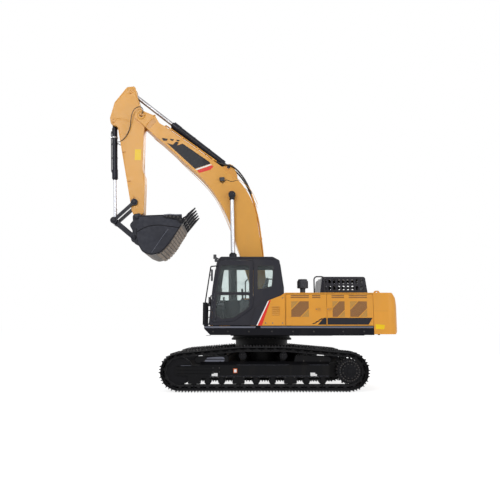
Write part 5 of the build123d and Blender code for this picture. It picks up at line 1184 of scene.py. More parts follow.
@dataclass
class House:
    """Decks, doors, hood, tanks and counterweight."""

    body: str = "house"
    skin: float = 1.5
    hood_z: float = 2.326
    tank_z: float = 2.3
    deck_z: float = 1.531

    def grilles(self) -> None:
        """Punched sheets behind the slats of the side doors, and trims across their corners."""
        for body, openings in (("side_door_front", ((-1.089, -0.663),)),
                               ("side_door_rear", ((-1.950, -1.654), (-2.490, -2.077)))):
            sheet, corner, trims = Stock(), Stock(), Stock()
            face = self.skin
            low, high = 1.745, 2.120
            for rear, front in openings:
                rise = min(0.20, (front - rear) * 0.55)
                sheet.side_sheet([(front - rise, high), (rear, high), (rear, low + rise), (rear + rise, low),
                                  (front, low), (front, high - rise)], face - 0.002, face + 0.001)
                corner.side_sheet([(front, high - rise + 0.01), (front, high), (front - rise + 0.01, high)],
                                  face - 0.002, face + 0.001)
                corner.side_sheet([(rear, low + rise - 0.01), (rear, low), (rear + rise - 0.01, low)],
                                  face - 0.002, face + 0.001)
                for x1, z1, x2, z2 in ((front, high - rise, front - rise, high),
                                       (rear, low + rise, rear + rise, low)):
                    half = Vector((0.006, 0, 0.006))
                    trims.sheet([Vector((x1, face - 0.001, z1)) - half, Vector((x1, face - 0.001, z1)) + half,
                                 Vector((x2, face - 0.001, z2)) + half,
                                 Vector((x2, face - 0.001, z2)) - half],
                                Vector((0, 0.005, 0)), 0.001)
                trims.rim([(rear - 0.016, face - 0.001, low - 0.016),
                           (front + 0.016, face - 0.001, low - 0.016),
                           (front + 0.016, face - 0.001, high + 0.016),
                           (rear - 0.016, face - 0.001, high + 0.016)], Vector((0, 0.004, 0)), 0.018, 0.01)
            sheet.piece(f"{body}_mesh", body, Finish.GRILLE)
            corner.piece(f"{body}_corner_mesh", body, Finish.CORNER)
            trims.piece(f"{body}_trims", body, Finish.HOUSE)
        slots = Stock()
        for rear, front in ((-1.095, -0.655), (-1.371, -1.17)):
            slots.block((rear, self.skin - 0.012, 2.19), (front, self.skin - 0.003, 2.272))
        slots.piece("slot_mesh_front", "side_door_front", Finish.GRILLE)
        slots = Stock()
        for rear, front in ((-1.941, -1.639), (-2.494, -2.053)):
            slots.block((rear, self.skin - 0.012, 2.19), (front, self.skin - 0.003, 2.272))
        slots.piece("slot_mesh_rear", "side_door_rear", Finish.GRILLE)
        louvres = Stock()
        for index in range(5):
            z = 1.818 + index * 0.07
            louvres.sheet([(-2.385, -self.skin - 0.001, z + 0.026), (-1.775, -self.skin - 0.001, z + 0.026),
                           (-1.775, -self.skin - 0.016, z - 0.002), (-2.385, -self.skin - 0.016, z - 0.002)],
                          Vector((0, 0.003, 0.001)))
        louvres.piece("pump_door_louvres", "pump_door", Finish.HOUSE)

    def latches(self) -> None:
        """Keyed paddle latches in their dishes on the doors."""
        rows = (("side_door_front", -1.31, 1.93, 1), ("side_door_rear", -1.585, 1.93, 1),
                ("pump_door", -1.585, 1.93, -1))
        for body, x, z, side in rows:
            dish, paddle, lock = Stock(), Stock(), Stock()
            face = side * self.skin
            out = Vector((0, side, 0))
            dish.rim([(x - 0.075, face, z - 0.045), (x + 0.075, face, z - 0.045),
                      (x + 0.075, face, z + 0.045), (x - 0.075, face, z + 0.045)], out * 0.006, 0.012, 0.014)
            paddle.sheet([(x - 0.06, face - side * 0.002, z - 0.03),
                          (x + 0.02, face - side * 0.002, z - 0.03),
                          (x + 0.02, face - side * 0.002, z + 0.03),
                          (x - 0.06, face - side * 0.002, z + 0.03)],
                         out * 0.006, 0.002, 0.006)
            lock.round_bar(Vector((x + 0.04, face, z)), Vector((x + 0.04, face, z)) + out * 0.010, 0.013, 16,
                           0.002)
            dish.piece(f"{body}_latch_dish", body, Finish.HOUSE)
            paddle.piece(f"{body}_latch", body, Finish.PRIMER)
            lock.piece(f"{body}_lock", body, Finish.BOLT)

    def stripes(self) -> None:
        """Dark band with slanted yellow cuts on the doors, blank tags, white and red stripe."""
        film = self.skin + 0.0012
        band = Stock()
        band.side_sheet([(-1.532, 1.724), (-2.612, 1.724), (-2.515, 1.562), (-1.532, 1.562)],
                        self.skin - 0.0005, film)
        band.piece("side_band_rear", "side_door_rear", Finish.DARK)
        band = Stock()
        band.side_sheet([(-1.440, 1.724), (-1.506, 1.724), (-1.506, 1.562), (-1.300, 1.562)],
                        self.skin - 0.0005, film)
        for front, rear, low, high in ((-1.190, -1.262, 1.572, 1.604), (-1.268, -1.338, 1.615, 1.650),
                                       (-1.345, -1.412, 1.662, 1.700)):
            band.side_sheet([(front, low), (rear - 0.02, high), (rear + 0.012, high + 0.016),
                             (front + 0.03, low + 0.014)],
                            self.skin - 0.0005, film)
        band.piece("side_band_front", "side_door_front", Finish.DARK)
        tag = Stock()
        tag.side_sheet([(-2.682, 1.574), (-2.905, 1.556), (-2.880, 1.452), (-2.682, 1.462)],
                       self.skin - 0.0005, film)
        tag.pair("weight_tag", self.body, Finish.SIGN)
        panel = 1.488
        white, red = Stock(), Stock()
        low, high = panel - 0.0005, panel + 0.0012
        white.side_sheet([(0.172, 1.543), (0.140, 1.543), (-0.134, 2.125), (-0.105, 2.118)], low, high)
        red.side_sheet([(0.140, 1.543), (0.036, 1.543), (-0.180, 2.150), (-0.134, 2.125)], low, high)
        white.block((0.08, self.skin - 0.0005, 1.478), (0.186, film, 1.526))
        white.piece("panel_stripe_white", self.body, Finish.WHITE)
        red.piece("panel_stripe_red", self.body, Finish.RED)
        corner = Stock()
        corner.side_sheet([(0.304, 1.541), (0.172, 1.541), (-0.105, 2.120), (-0.118, 2.137), (0.190, 1.966)],
                          low, high)
        corner.piece("panel_corner", self.body, Finish.BLACK)
        louvres = Stock()
        for index in range(5):
            z = 1.985 - index * 0.048
            louvres.block((-0.372, panel - 0.001, z - 0.010), (-0.215, panel + 0.006, z + 0.010), 0.004, 2)
        louvres.piece("panel_louvres", self.body, Finish.PRIMER)
        bolts = Stock()
        for x, z in ((-0.22, 1.60), (-0.46, 1.60), (-0.46, 2.20), (-0.05, 1.60)):
            bolts.bolt((x, panel, z), Y_AXIS, 0.02, 0.01)
        bolts.piece("panel_bolts", self.body, Finish.BOLT)

    def decks(self) -> None:
        """Lip, its lighter face, bolts and studs of the side decks."""
        lip, bolts, treads = Stock(), Stock(), Stock()
        lip.side_sheet([(1.405, 1.470), (1.405, 1.529), (-2.630, 1.529), (-2.630, 1.470)], self.skin - 0.002,
                       self.skin + 0.007, 0.005)
        film = self.skin + 0.0075
        # Grey-blue face on the lip's outer band: painted highlight of its lit top band.
        worn_and_painted_highlight = Stock()
        worn_and_painted_highlight.side_sheet([(1.398, 1.482), (1.398, 1.522), (0.19, 1.522), (0.19, 1.482)], self.skin + 0.006,
                        film)
        worn_and_painted_highlight.side_sheet([(0.07, 1.482), (0.07, 1.522), (-2.624, 1.522), (-2.624, 1.482)], self.skin + 0.006,
                        film)
        worn_and_painted_highlight.pair("deck_lip_painted_highlight", self.body, Finish.EDGE)
        for x in (-2.4, -1.9, -1.2, -0.7, -0.2, 0.35, 0.85, 1.2):
            bolts.bolt((x, self.skin, 1.40), Y_AXIS, 0.024, 0.014)
        lip.mirrored()
        bolts.mirrored()
        for step in range(20):
            treads.bolt((1.32, 0.55 + 0.03 * step, self.deck_z), Z_AXIS, 0.014, 0.006)
        lip.piece("deck_lip", self.body, Finish.DECK)
        bolts.piece("deck_bolts", self.body, Finish.BLACK_BOLT)
        treads.piece("deck_studs", self.body, Finish.DECK)

    def treads(self) -> None:
        """Studded walkways on hood, tanks and toolbox lid."""
        areas = (
            ("hood_walk", self.body, Finish.DECK, -1.40, -0.60, 0.62, 1.40, self.hood_z),
            ("tank_walk", self.body, Finish.DECK, -1.44, -0.62, -1.40, -0.62, self.tank_z),
            ("fuel_walk", self.body, Finish.DECK, -0.46, 0.36, -1.40, -0.98, self.tank_z),
            ("lid_walk", "toolbox_lid", Finish.DECK, 0.56, 1.34, -1.40, -0.60, 2.038),
        )
        for name, body, finish, x_low, x_high, y_low, y_high, z in areas:
            pad = Stock()
            pad.block((x_low, y_low, z - 0.001), (x_high, y_high, z + 0.004), 0.001, 1)
            columns = int((x_high - x_low - 0.04) / 0.06)
            rows = int((y_high - y_low - 0.04) / 0.06)
            for column in range(columns):
                for row in range(rows):
                    x = x_low + 0.05 + column * 0.06
                    y = y_low + 0.05 + row * 0.06
                    lean = 0.5 if (column + row) % 2 else -0.5
                    half = Vector((0.017 * math.cos(lean), 0.017 * math.sin(lean), 0.0))
                    across = Vector((-half.y, half.x, 0.0)) * 0.35
                    middle = Vector((x, y, z + 0.0035))
                    pad.sheet([middle - half, middle - across, middle + half, middle + across],
                              Vector((0, 0, 0.005)))
            pad.piece(name, body, finish)

    def hood(self) -> None:
        """Latches, lifting handle, ribs and seams of the hood, the air cleaner's cap and the exhaust collar.
        """
        trims, seams = Stock(), Stock()
        for y in (0.3, -0.3):
            trims.block((-2.66, y - 0.02, 2.798), (-1.57, y + 0.02, 2.806), 0.003, 1)
        for x in (-1.9, -2.45):
            trims.block((x - 0.02, 0.556, 2.35), (x + 0.02, 0.576, 2.43), 0.003, 1)
        trims.run([(-2.05, 0.56, 2.385), (-2.05, 0.592, 2.385), (-2.25, 0.592, 2.385), (-2.25, 0.56, 2.385)],
                  0.008)
        trims.piece("cover_trims", "engine_hood", Finish.BLACK)
        for x in (-1.519,):
            seams.block((x - 0.002, -0.45, self.hood_z - 0.001),
                        (x + 0.002, self.skin - 0.002, self.hood_z + 0.0012))
        seams.block((-2.63, -1.32, self.hood_z - 0.001), (-2.0, -1.316, self.hood_z + 0.0012))
        seams.piece("hood_seams", self.body, Finish.SEAL)
        cap = Stock()
        centre = (-1.012, 0.9, self.hood_z)
        cap.turned([(0.0, 0.372), (0.10, 0.372), (0.112, 0.366), (0.118, 0.352), (0.118, 0.338),
                    (0.0, 0.338)],
                   centre, Z_AXIS, 40)
        for z in (0.17, 0.2, 0.23, 0.26, 0.29):
            cap.turned([(0.1372, z), (0.1405, z + 0.004), (0.1405, z + 0.010), (0.1372, z + 0.014)], centre,
                       Z_AXIS, 40)
        cap.turned([(0.0665, 0.0), (0.09, 0.0), (0.088, 0.012), (0.0665, 0.016)], centre, Z_AXIS, 32)
        cap.turned([(0.0665, 0.12), (0.072, 0.12), (0.072, 0.14), (0.0665, 0.14)], centre, Z_AXIS, 32)
        cap.piece("cleaner_ribs", self.body, Finish.PLASTIC)
        pipe = Stock()
        spot = (-2.1, -0.86, self.hood_z)
        pipe.turned([(0.0625, 0.0), (0.1, 0.0), (0.097, 0.012), (0.0625, 0.016)], spot, Z_AXIS, 32)
        pipe.turned([(0.0625, 0.05), (0.07, 0.05), (0.07, 0.075), (0.0625, 0.075)], spot, Z_AXIS, 32)
        pipe.bolt_ring((-2.1, -0.86, self.hood_z + 0.012), Z_AXIS, 0.083, 6, 0.014, 0.01)
        pipe.piece("exhaust_collar", self.body, Finish.EXHAUST)

    def tanks(self) -> None:
        """Caps, gauges, seams and foot plates of the tanks and toolbox."""
        caps, plates, gauge = Stock(), Stock(), Stock()
        for x, y, radius in ((0.15, -0.72, 0.075), (-0.80, -0.72 + 0.18, 0.065)):
            caps.turned([(0.0, 0.075), (radius * 0.9, 0.072), (radius, 0.06), (radius, 0.022),
                         (radius * 1.25, 0.018),
                         (radius * 1.25, 0.0), (0.0, 0.0)], (x, y, self.tank_z), Z_AXIS, 36)
            caps.block((x - radius * 0.9, y - 0.012, self.tank_z + 0.07),
                       (x + radius * 0.9, y + 0.012, self.tank_z + 0.09), 0.004, 1)
        caps.turned([(0.0, 0.13), (0.035, 0.125), (0.04, 0.11), (0.04, 0.04), (0.02, 0.035), (0.02, 0.0),
                     (0.0, 0.0)],
                    (-0.95, -0.53, self.tank_z), Z_AXIS, 24)
        caps.piece("tank_caps", self.body, Finish.PLASTIC)
        for x_low, x_high in ((-1.44, -0.62), (-0.49, 0.42)):
            plates.rim([(x_low, -self.skin, 1.62), (x_high, -self.skin, 1.62), (x_high, -self.skin, 2.22),
                        (x_low, -self.skin, 2.22)], Vector((0, -0.006, 0)), 0.016, 0.05)
        plates.piece("tank_ribs", self.body, Finish.HOUSE)
        gauge.block((-1.36, -self.skin - 0.012, 1.85), (-1.32, -self.skin + 0.002, 2.08), 0.004, 1)
        gauge.piece("oil_gauge", self.body, Finish.LENS)
        steps = Stock()
        for z in (1.275, 1.6):
            for index in range(9):
                y = -1.32 + index * 0.048
                steps.block((1.42, y, z - 0.002), (1.535, y + 0.016, z + 0.006), 0.002, 1)
        for x in (0.60, 1.28):
            steps.bolt((x, -self.skin, 1.60), -Y_AXIS, 0.02, 0.01)
            steps.bolt((x, -self.skin, 1.95), -Y_AXIS, 0.02, 0.01)
        steps.piece("step_treads", self.body, Finish.DECK)
        handle = Stock()
        handle.run([(1.396, -1.12, 2.0), (1.42, -1.12, 2.0), (1.42, -0.86, 2.0), (1.396, -0.86, 2.0)], 0.008)
        handle.piece("lid_handle", self.body, Finish.BOLT)

    def weight(self) -> None:
        """Casting line, rear lamps, reflectors, camera and bolts of the counterweight."""
        seams, lamps, lenses, camera = Stock(), Stock(), Stock(), Stock()
        for side in SIDES:
            seams.side_sheet([(-2.66, 1.885), (-3.0, 1.885), (-3.0, 1.893), (-2.66, 1.893)],
                             side * (self.skin - 0.001), side * (self.skin + 0.0012))
            lamps.block((-3.268, min(side * 0.98, side * 1.16), 1.95),
                        (-3.20, max(side * 0.98, side * 1.16), 2.05), 0.012, 2)
            lenses.block((-3.276, min(side * 1.0, side * 1.14), 1.968),
                         (-3.262, max(side * 1.0, side * 1.14), 2.032), 0.008, 2)
            camera.turned([(0.0, 0.0), (0.05, 0.0), (0.045, 0.02), (0.0, 0.022)],
                          (-2.84, side * 1.1, self.hood_z), Z_AXIS, 20)
        seams.piece("weight_seam", self.body, Finish.PRIMER)
        lamps.piece("rear_lamp_bowls", self.body, Finish.PLASTIC)
        lenses.piece("rear_lamp_lenses", self.body, Finish.REFLECTOR)
        camera.block((-3.10, -0.05, self.hood_z - 0.002), (-3.0, 0.05, self.hood_z + 0.05), 0.01, 2)
        camera.block((-3.135, -0.03, self.hood_z + 0.012), (-3.095, 0.03, self.hood_z + 0.046), 0.006, 2)
        camera.piece("rear_camera", self.body, Finish.PLASTIC)
        bolts = Stock()
        for x, y in ((-2.8, 0.5), (-2.8, -0.5), (-3.0, 0.5), (-3.0, -0.5)):
            bolts.bolt((x, y, 1.334), -Z_AXIS, 0.055, 0.03)
        bolts.piece("weight_bolts", self.body, Finish.BLACK_BOLT)

    def rails(self) -> None:
        """Foot plates of the rails, and rims and glasses of the mirrors."""
        feet, glass, shells = Stock(), Stock(), Stock()
        for x, y, z in ((-0.51, -1.44, self.tank_z), (0.42, -1.44, self.tank_z), (-1.321, 0.76, self.hood_z),
                        (-1.594, 0.76, self.hood_z)):
            feet.turned([(0.018, 0.0), (0.05, 0.0), (0.048, 0.008), (0.018, 0.012)], (x, y, z), Z_AXIS, 20)
        feet.piece("rail_feet", self.body, Finish.BLACK)
        for x, y_low, y_high, z_low, z_high in ((1.235, 1.382, 1.558, 2.612, 2.878),
                                                (1.475, -1.558, -1.382, 2.122, 2.388)):
            shells.rim([(x - 0.002, y_low, z_low), (x - 0.002, y_high, z_low), (x - 0.002, y_high, z_high),
                        (x - 0.002, y_low, z_high)], Vector((-0.010, 0, 0)), 0.012, 0.03)
            glass.sheet([(x - 0.001, y_low + 0.01, z_low + 0.01), (x - 0.001, y_high - 0.01, z_low + 0.01),
                         (x - 0.001, y_high - 0.01, z_high - 0.01), (x - 0.001, y_low + 0.01, z_high - 0.01)],
                        Vector((-0.004, 0, 0)), 0.001, 0.02)
        shells.piece("mirror_rims", self.body, Finish.PLASTIC)
        glass.piece("mirror_glasses", self.body, Finish.MIRROR)

    def well(self) -> None:
        """Control valve, swivel and pipes between the main plates, seen in front of the boom foot."""
        parts, pipes = Stock(), Stock()
        parts.block((-0.78, -0.19, 1.345), (-0.45, 0.19, 1.72), 0.015, 1)
        parts.turned([(0.0, 0.0), (0.12, 0.0), (0.12, 0.2), (0.09, 0.24), (0.0, 0.24)], (0.12, 0.0, 1.32),
                     Z_AXIS, 32)
        parts.block((0.40, -0.17, 1.33), (0.56, 0.17, 1.43), 0.01, 1)
        parts.piece("well_valves", self.body, Finish.ENGINE)
        for index in range(6):
            y = -0.15 + index * 0.06
            pipes.run([(-0.46, y, 1.62 - 0.02 * (index % 2)), (-0.28, y, 1.60), (-0.12, y * 0.8, 1.50),
                       (0.03, y * 0.5, 1.47)], 0.017, True, 8)
            pipes.run([(0.2, y * 0.5, 1.44), (0.30, y * 0.8, 1.42), (0.41, y, 1.39)], 0.014, True, 8)
        pipes.piece("well_hoses", self.body, Finish.RUBBER)

    def build(self) -> None:
        """Builds every piece of the house."""
        self.grilles()
        self.latches()
        self.stripes()
        self.decks()
        self.treads()
        self.hood()
        self.tanks()
        self.weight()
        self.rails()
        self.well()


# Cab


@dataclass
class Cab:
    """Seals, wiper, lamps and fittings of the cab, and what shows through its glass."""

    body: str = "house"
    inner_y: float = 0.44
    outer_y: float = 1.45
    floor_z: float = 1.59
    roof_z: float = 3.203

    def seals(self) -> None:
        """Rubber seals round the panes."""
        upper = [(0.33, 3.0), (0.33, 2.33), (1.15, 2.33), (1.035, 3.0)]
        lower = [(0.33, 2.28), (0.33, 2.0), (0.40, 1.93), (0.72, 1.715), (1.01, 1.69), (1.15, 1.80),
                 (1.14, 2.28)]
        door = Stock()
        for outline, rounding in ((upper, 0.05), (lower, 0.03)):
            door.rim([(x, self.outer_y - 0.003, z) for x, z in outline], Vector((0, 0.006, 0)), 0.014,
                     rounding)
        door.piece("door_seals", "cab_door", Finish.SEAL)
        rest = Stock()
        quarter = [(0.15, 2.99), (0.15, 2.385), (-0.215, 2.47), (-0.265, 2.99)]
        rest.rim([(x, self.outer_y - 0.003, z) for x, z in quarter], Vector((0, 0.006, 0)), 0.016, 0.045)
        right = [(1.0, 3.0), (1.11, 2.18), (-0.3, 2.18), (-0.3, 3.0)]
        rest.rim([(x, self.inner_y + 0.003, z) for x, z in right], Vector((0, -0.006, 0)), 0.016, 0.05)
        low_y, high_y = self.inner_y + 0.07, self.outer_y - 0.07
        rear = [(-0.4995, low_y, 2.42), (-0.4995, high_y, 2.42), (-0.412, high_y, 3.04),
                (-0.412, low_y, 3.04)]
        rest.rim(rear, Vector((-0.008, 0, 0)), 0.018, 0.05)
        hatch = [(0.35, low_y + 0.06, self.roof_z), (0.9, low_y + 0.06, self.roof_z),
                 (0.9, high_y - 0.06, self.roof_z), (0.35, high_y - 0.06, self.roof_z)]
        rest.rim(hatch, Vector((0, 0, 0.012)), 0.024, 0.06)
        rest.piece("cab_seals", self.body, Finish.SEAL)

    def fittings(self) -> None:
        """Door handle, rain gutter, wiper, lamps and roof ribs."""
        handle, gutter, wiper, lens, bowls = Stock(), Stock(), Stock(), Stock(), Stock()
        handle.run([(1.165, 1.452, 1.86), (1.165, 1.485, 1.86), (1.135, 1.485, 1.70), (1.135, 1.452, 1.70)],
                   0.010)
        handle.round_bar((1.17, 1.45, 1.655), (1.17, 1.462, 1.655), 0.016, 16, 0.002)
        handle.piece("door_handle", "cab_door", Finish.PLASTIC)
        gutter.run([(1.10, 1.455, 3.135), (1.02, 1.458, 3.165), (-0.16, 1.458, 3.165), (-0.27, 1.455, 3.14)],
                   0.012, True, 8)
        gutter.run([(1.235, 1.452, 2.25), (1.185, 1.452, 2.65), (1.125, 1.452, 3.06)], 0.008, True, 6)
        for y in (0.62, 0.82, 1.02, 1.22):
            gutter.block((-0.10, y - 0.03, self.roof_z - 0.002), (0.26, y + 0.03, self.roof_z + 0.008), 0.006,
                         2)
        gutter.piece("cab_gutter", self.body, Finish.BLACK)
        wiper.run([(1.235, 1.26, 2.16), (1.262, 1.24, 2.19), (1.238, 1.10, 2.50), (1.222, 1.04, 2.62)], 0.007)
        wiper.run([(1.262, 0.90, 2.30), (1.222, 1.04, 2.62), (1.172, 1.16, 2.92)], 0.009, False, 6)
        wiper.round_bar((1.225, 1.26, 2.15), (1.270, 1.26, 2.16), 0.02, 14, 0.003)
        wiper.piece("wiper", self.body, Finish.SEAL)
        for y in (0.64, 1.25):
            front, low, high = 1.216, 3.176, 3.274
            bowls.rim([(front, y - 0.059, low), (front, y + 0.059, low), (front, y + 0.059, high),
                       (front, y - 0.059, high)], Vector((0.006, 0, 0)), 0.01, 0.015)
            lens.sheet([(front - 0.002, y - 0.05, low + 0.01), (front - 0.002, y + 0.05, low + 0.01),
                        (front - 0.002, y + 0.05, high - 0.01), (front - 0.002, y - 0.05, high - 0.01)],
                       Vector((0.005, 0, 0)), 0.002, 0.012)
        bowls.piece("roof_lamp_rims", self.body, Finish.PLASTIC)
        lens.piece("roof_lamp_lenses", self.body, Finish.LENS)

    def seat(self) -> None:
        """Sprung seat with sewn cushions in place of the plain block seat."""
        middle = (self.inner_y + self.outer_y) / 2
        base = Stock()
        base.block((-0.06, middle - 0.2, self.floor_z), (0.36, middle + 0.2, self.floor_z + 0.05), 0.01, 1)
        for index in range(6):
            z = self.floor_z + 0.06 + index * 0.035
            base.block((-0.02, middle - 0.17, z), (0.32, middle + 0.17, z + 0.022), 0.01, 2)
        base.block((-0.06, middle - 0.22, self.floor_z + 0.27), (0.40, middle + 0.22, self.floor_z + 0.33),
                   0.02, 2)
        base.block((-0.13, middle - 0.20, self.floor_z + 0.36), (-0.075, middle + 0.20, self.floor_z + 1.0),
                   0.025, 3)
        frame = base.piece("seat_base", self.body, Finish.PLASTIC)
        pads = (
            ("seat_cushion", (0.18, middle, self.floor_z + 0.395), (0.262, 0.238, 0.060), 0.0),
            ("seat_back", (-0.03, middle, self.floor_z + 0.72), (0.282, 0.228, 0.050), math.radians(-97)),
            ("seat_headrest", (-0.105, middle, self.floor_z + 1.05), (0.096, 0.134, 0.041),
             math.radians(-97)),
        )
        for name, centre, half, lean in pads:
            self.cushion(name, centre, half, lean)
        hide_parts("operator_seat")
        rests = Stock()
        for side in SIDES:
            y = middle + side * 0.235
            rests.block((-0.06, y - 0.03, self.floor_z + 0.55), (0.24, y + 0.03, self.floor_z + 0.60), 0.018,
                        3)
        rests.piece("seat_armrests", self.body, Finish.TRIM)

    def cushion(self, name: str, centre: Place, half: Place, lean: float) -> bpy.types.Object:
        """One crowned cushion with two sewn channels.

        Args:
            name: Its name.
            centre: Its middle.
            half: Half its length, width and thickness.
            lean: Turn about the machine's cross axis.

        Returns:
            The cushion.
        """
        stock = Stock()
        bmesh.ops.create_cube(stock.bm, size=2.0)
        bmesh.ops.subdivide_edges(stock.bm, edges=list(stock.bm.edges), cuts=9, use_grid_fill=True)
        for vert in stock.bm.verts:
            u, v, w = vert.co
            crown = (1 - 0.55 * abs(u) ** 4) * (1 - 0.55 * abs(v) ** 4)
            waist = 1 - 0.05 * (1 - abs(w))
            channel = 1 - 0.16 * max(0.0, 1 - abs(abs(v) - 0.5) * 14) - 0.10 * max(0.0,
                                                                                   1 - abs(u - 0.35) * 14)
            pinch = 1 - 0.06 * (u * u * v * v)
            vert.co = (u * half[0] * waist * pinch, v * half[1] * waist * pinch,
                       w * half[2] * crown * channel)
        turn = Matrix.Translation(Vector(centre)) @ Matrix.Rotation(lean, 4, "Y")
        bmesh.ops.transform(stock.bm, matrix=turn, verts=stock.bm.verts)
        item = stock.piece(name, self.body, Finish.CLOTH, 80.0)
        swell(item)
        smoother = item.modifiers.new("soft", "SUBSURF")
        smoother.levels = 1
        smoother.render_levels = 1
        return item

    def inside(self) -> None:
        """Joystick grips, pedals, screen, floor mat and rear shelf."""
        middle = (self.inner_y + self.outer_y) / 2
        grips, trim, screen = Stock(), Stock(), Stock()
        for side in SIDES:
            y = middle + side * 0.32
            top = self.floor_z + 0.74
            grips.turned([(0.0, 0.0), (0.034, 0.0), (0.026, 0.02), (0.021, 0.05), (0.025, 0.09),
                          (0.024, 0.12), (0.0, 0.135)], (0.5, y, top - 0.02), Vector((0.12, 0, 1)), 16)
            grips.turned([(0.0, 0.10), (0.055, 0.0), (0.05, 0.0), (0.0, 0.0)], (0.5, y, top - 0.18), Z_AXIS,
                         18)
            trim.block((0.07, y - 0.055, self.floor_z + 0.558), (0.55, y + 0.055, self.floor_z + 0.575),
                       0.008, 2)
            for index in range(4):
                grips.round_bar((0.20 + index * 0.05, y, self.floor_z + 0.572),
                                (0.20 + index * 0.05, y, self.floor_z + 0.588), 0.014, 12, 0.003)
            grips.sheet([(0.95, middle + side * 0.06 - 0.045, self.floor_z + 0.12),
                         (1.06, middle + side * 0.06 - 0.045, self.floor_z + 0.20),
                         (1.06, middle + side * 0.06 + 0.045, self.floor_z + 0.20),
                         (0.95, middle + side * 0.06 + 0.045, self.floor_z + 0.12)], Vector((0.01, 0, 0.012)),
                        0.002)
        for side in SIDES:
            grips.turned([(0.0, 0.05), (0.022, 0.04), (0.026, 0.02), (0.018, 0.0), (0.0, 0.0)],
                         (0.97, middle + side * 0.06, self.floor_z + 0.61), Z_AXIS, 16)
        grips.piece("lever_grips", self.body, Finish.SEAL)
        trim.block((0.1, self.inner_y + 0.05, self.floor_z - 0.001),
                   (1.2, self.outer_y - 0.06, self.floor_z + 0.008), 0.003, 1)
        trim.block((-0.44, self.inner_y + 0.06, 2.26), (-0.14, self.outer_y - 0.06, 2.30), 0.01, 1)
        trim.block((-0.44, self.inner_y + 0.06, self.floor_z), (-0.16, self.outer_y - 0.06, 2.26), 0.02, 1)
        trim.block((0.95, self.inner_y + 0.05, 2.03), (1.18, self.outer_y - 0.07, 2.075), 0.01, 1)
        trim.piece("cab_lining", self.body, Finish.TRIM)
        screen.block((1.03, self.inner_y + 0.06, 2.34), (1.07, self.inner_y + 0.24, 2.50), 0.012, 2)
        screen.run([(1.10, self.inner_y + 0.12, 2.10), (1.09, self.inner_y + 0.14, 2.25),
                    (1.055, self.inner_y + 0.15, 2.38)], 0.014)
        screen.piece("cab_screen", self.body, Finish.PLASTIC)

    def build(self) -> None:
        """Builds every piece of the cab."""
        self.seals()
        self.fittings()
        self.seat()
        self.inside()


# Boom and arm


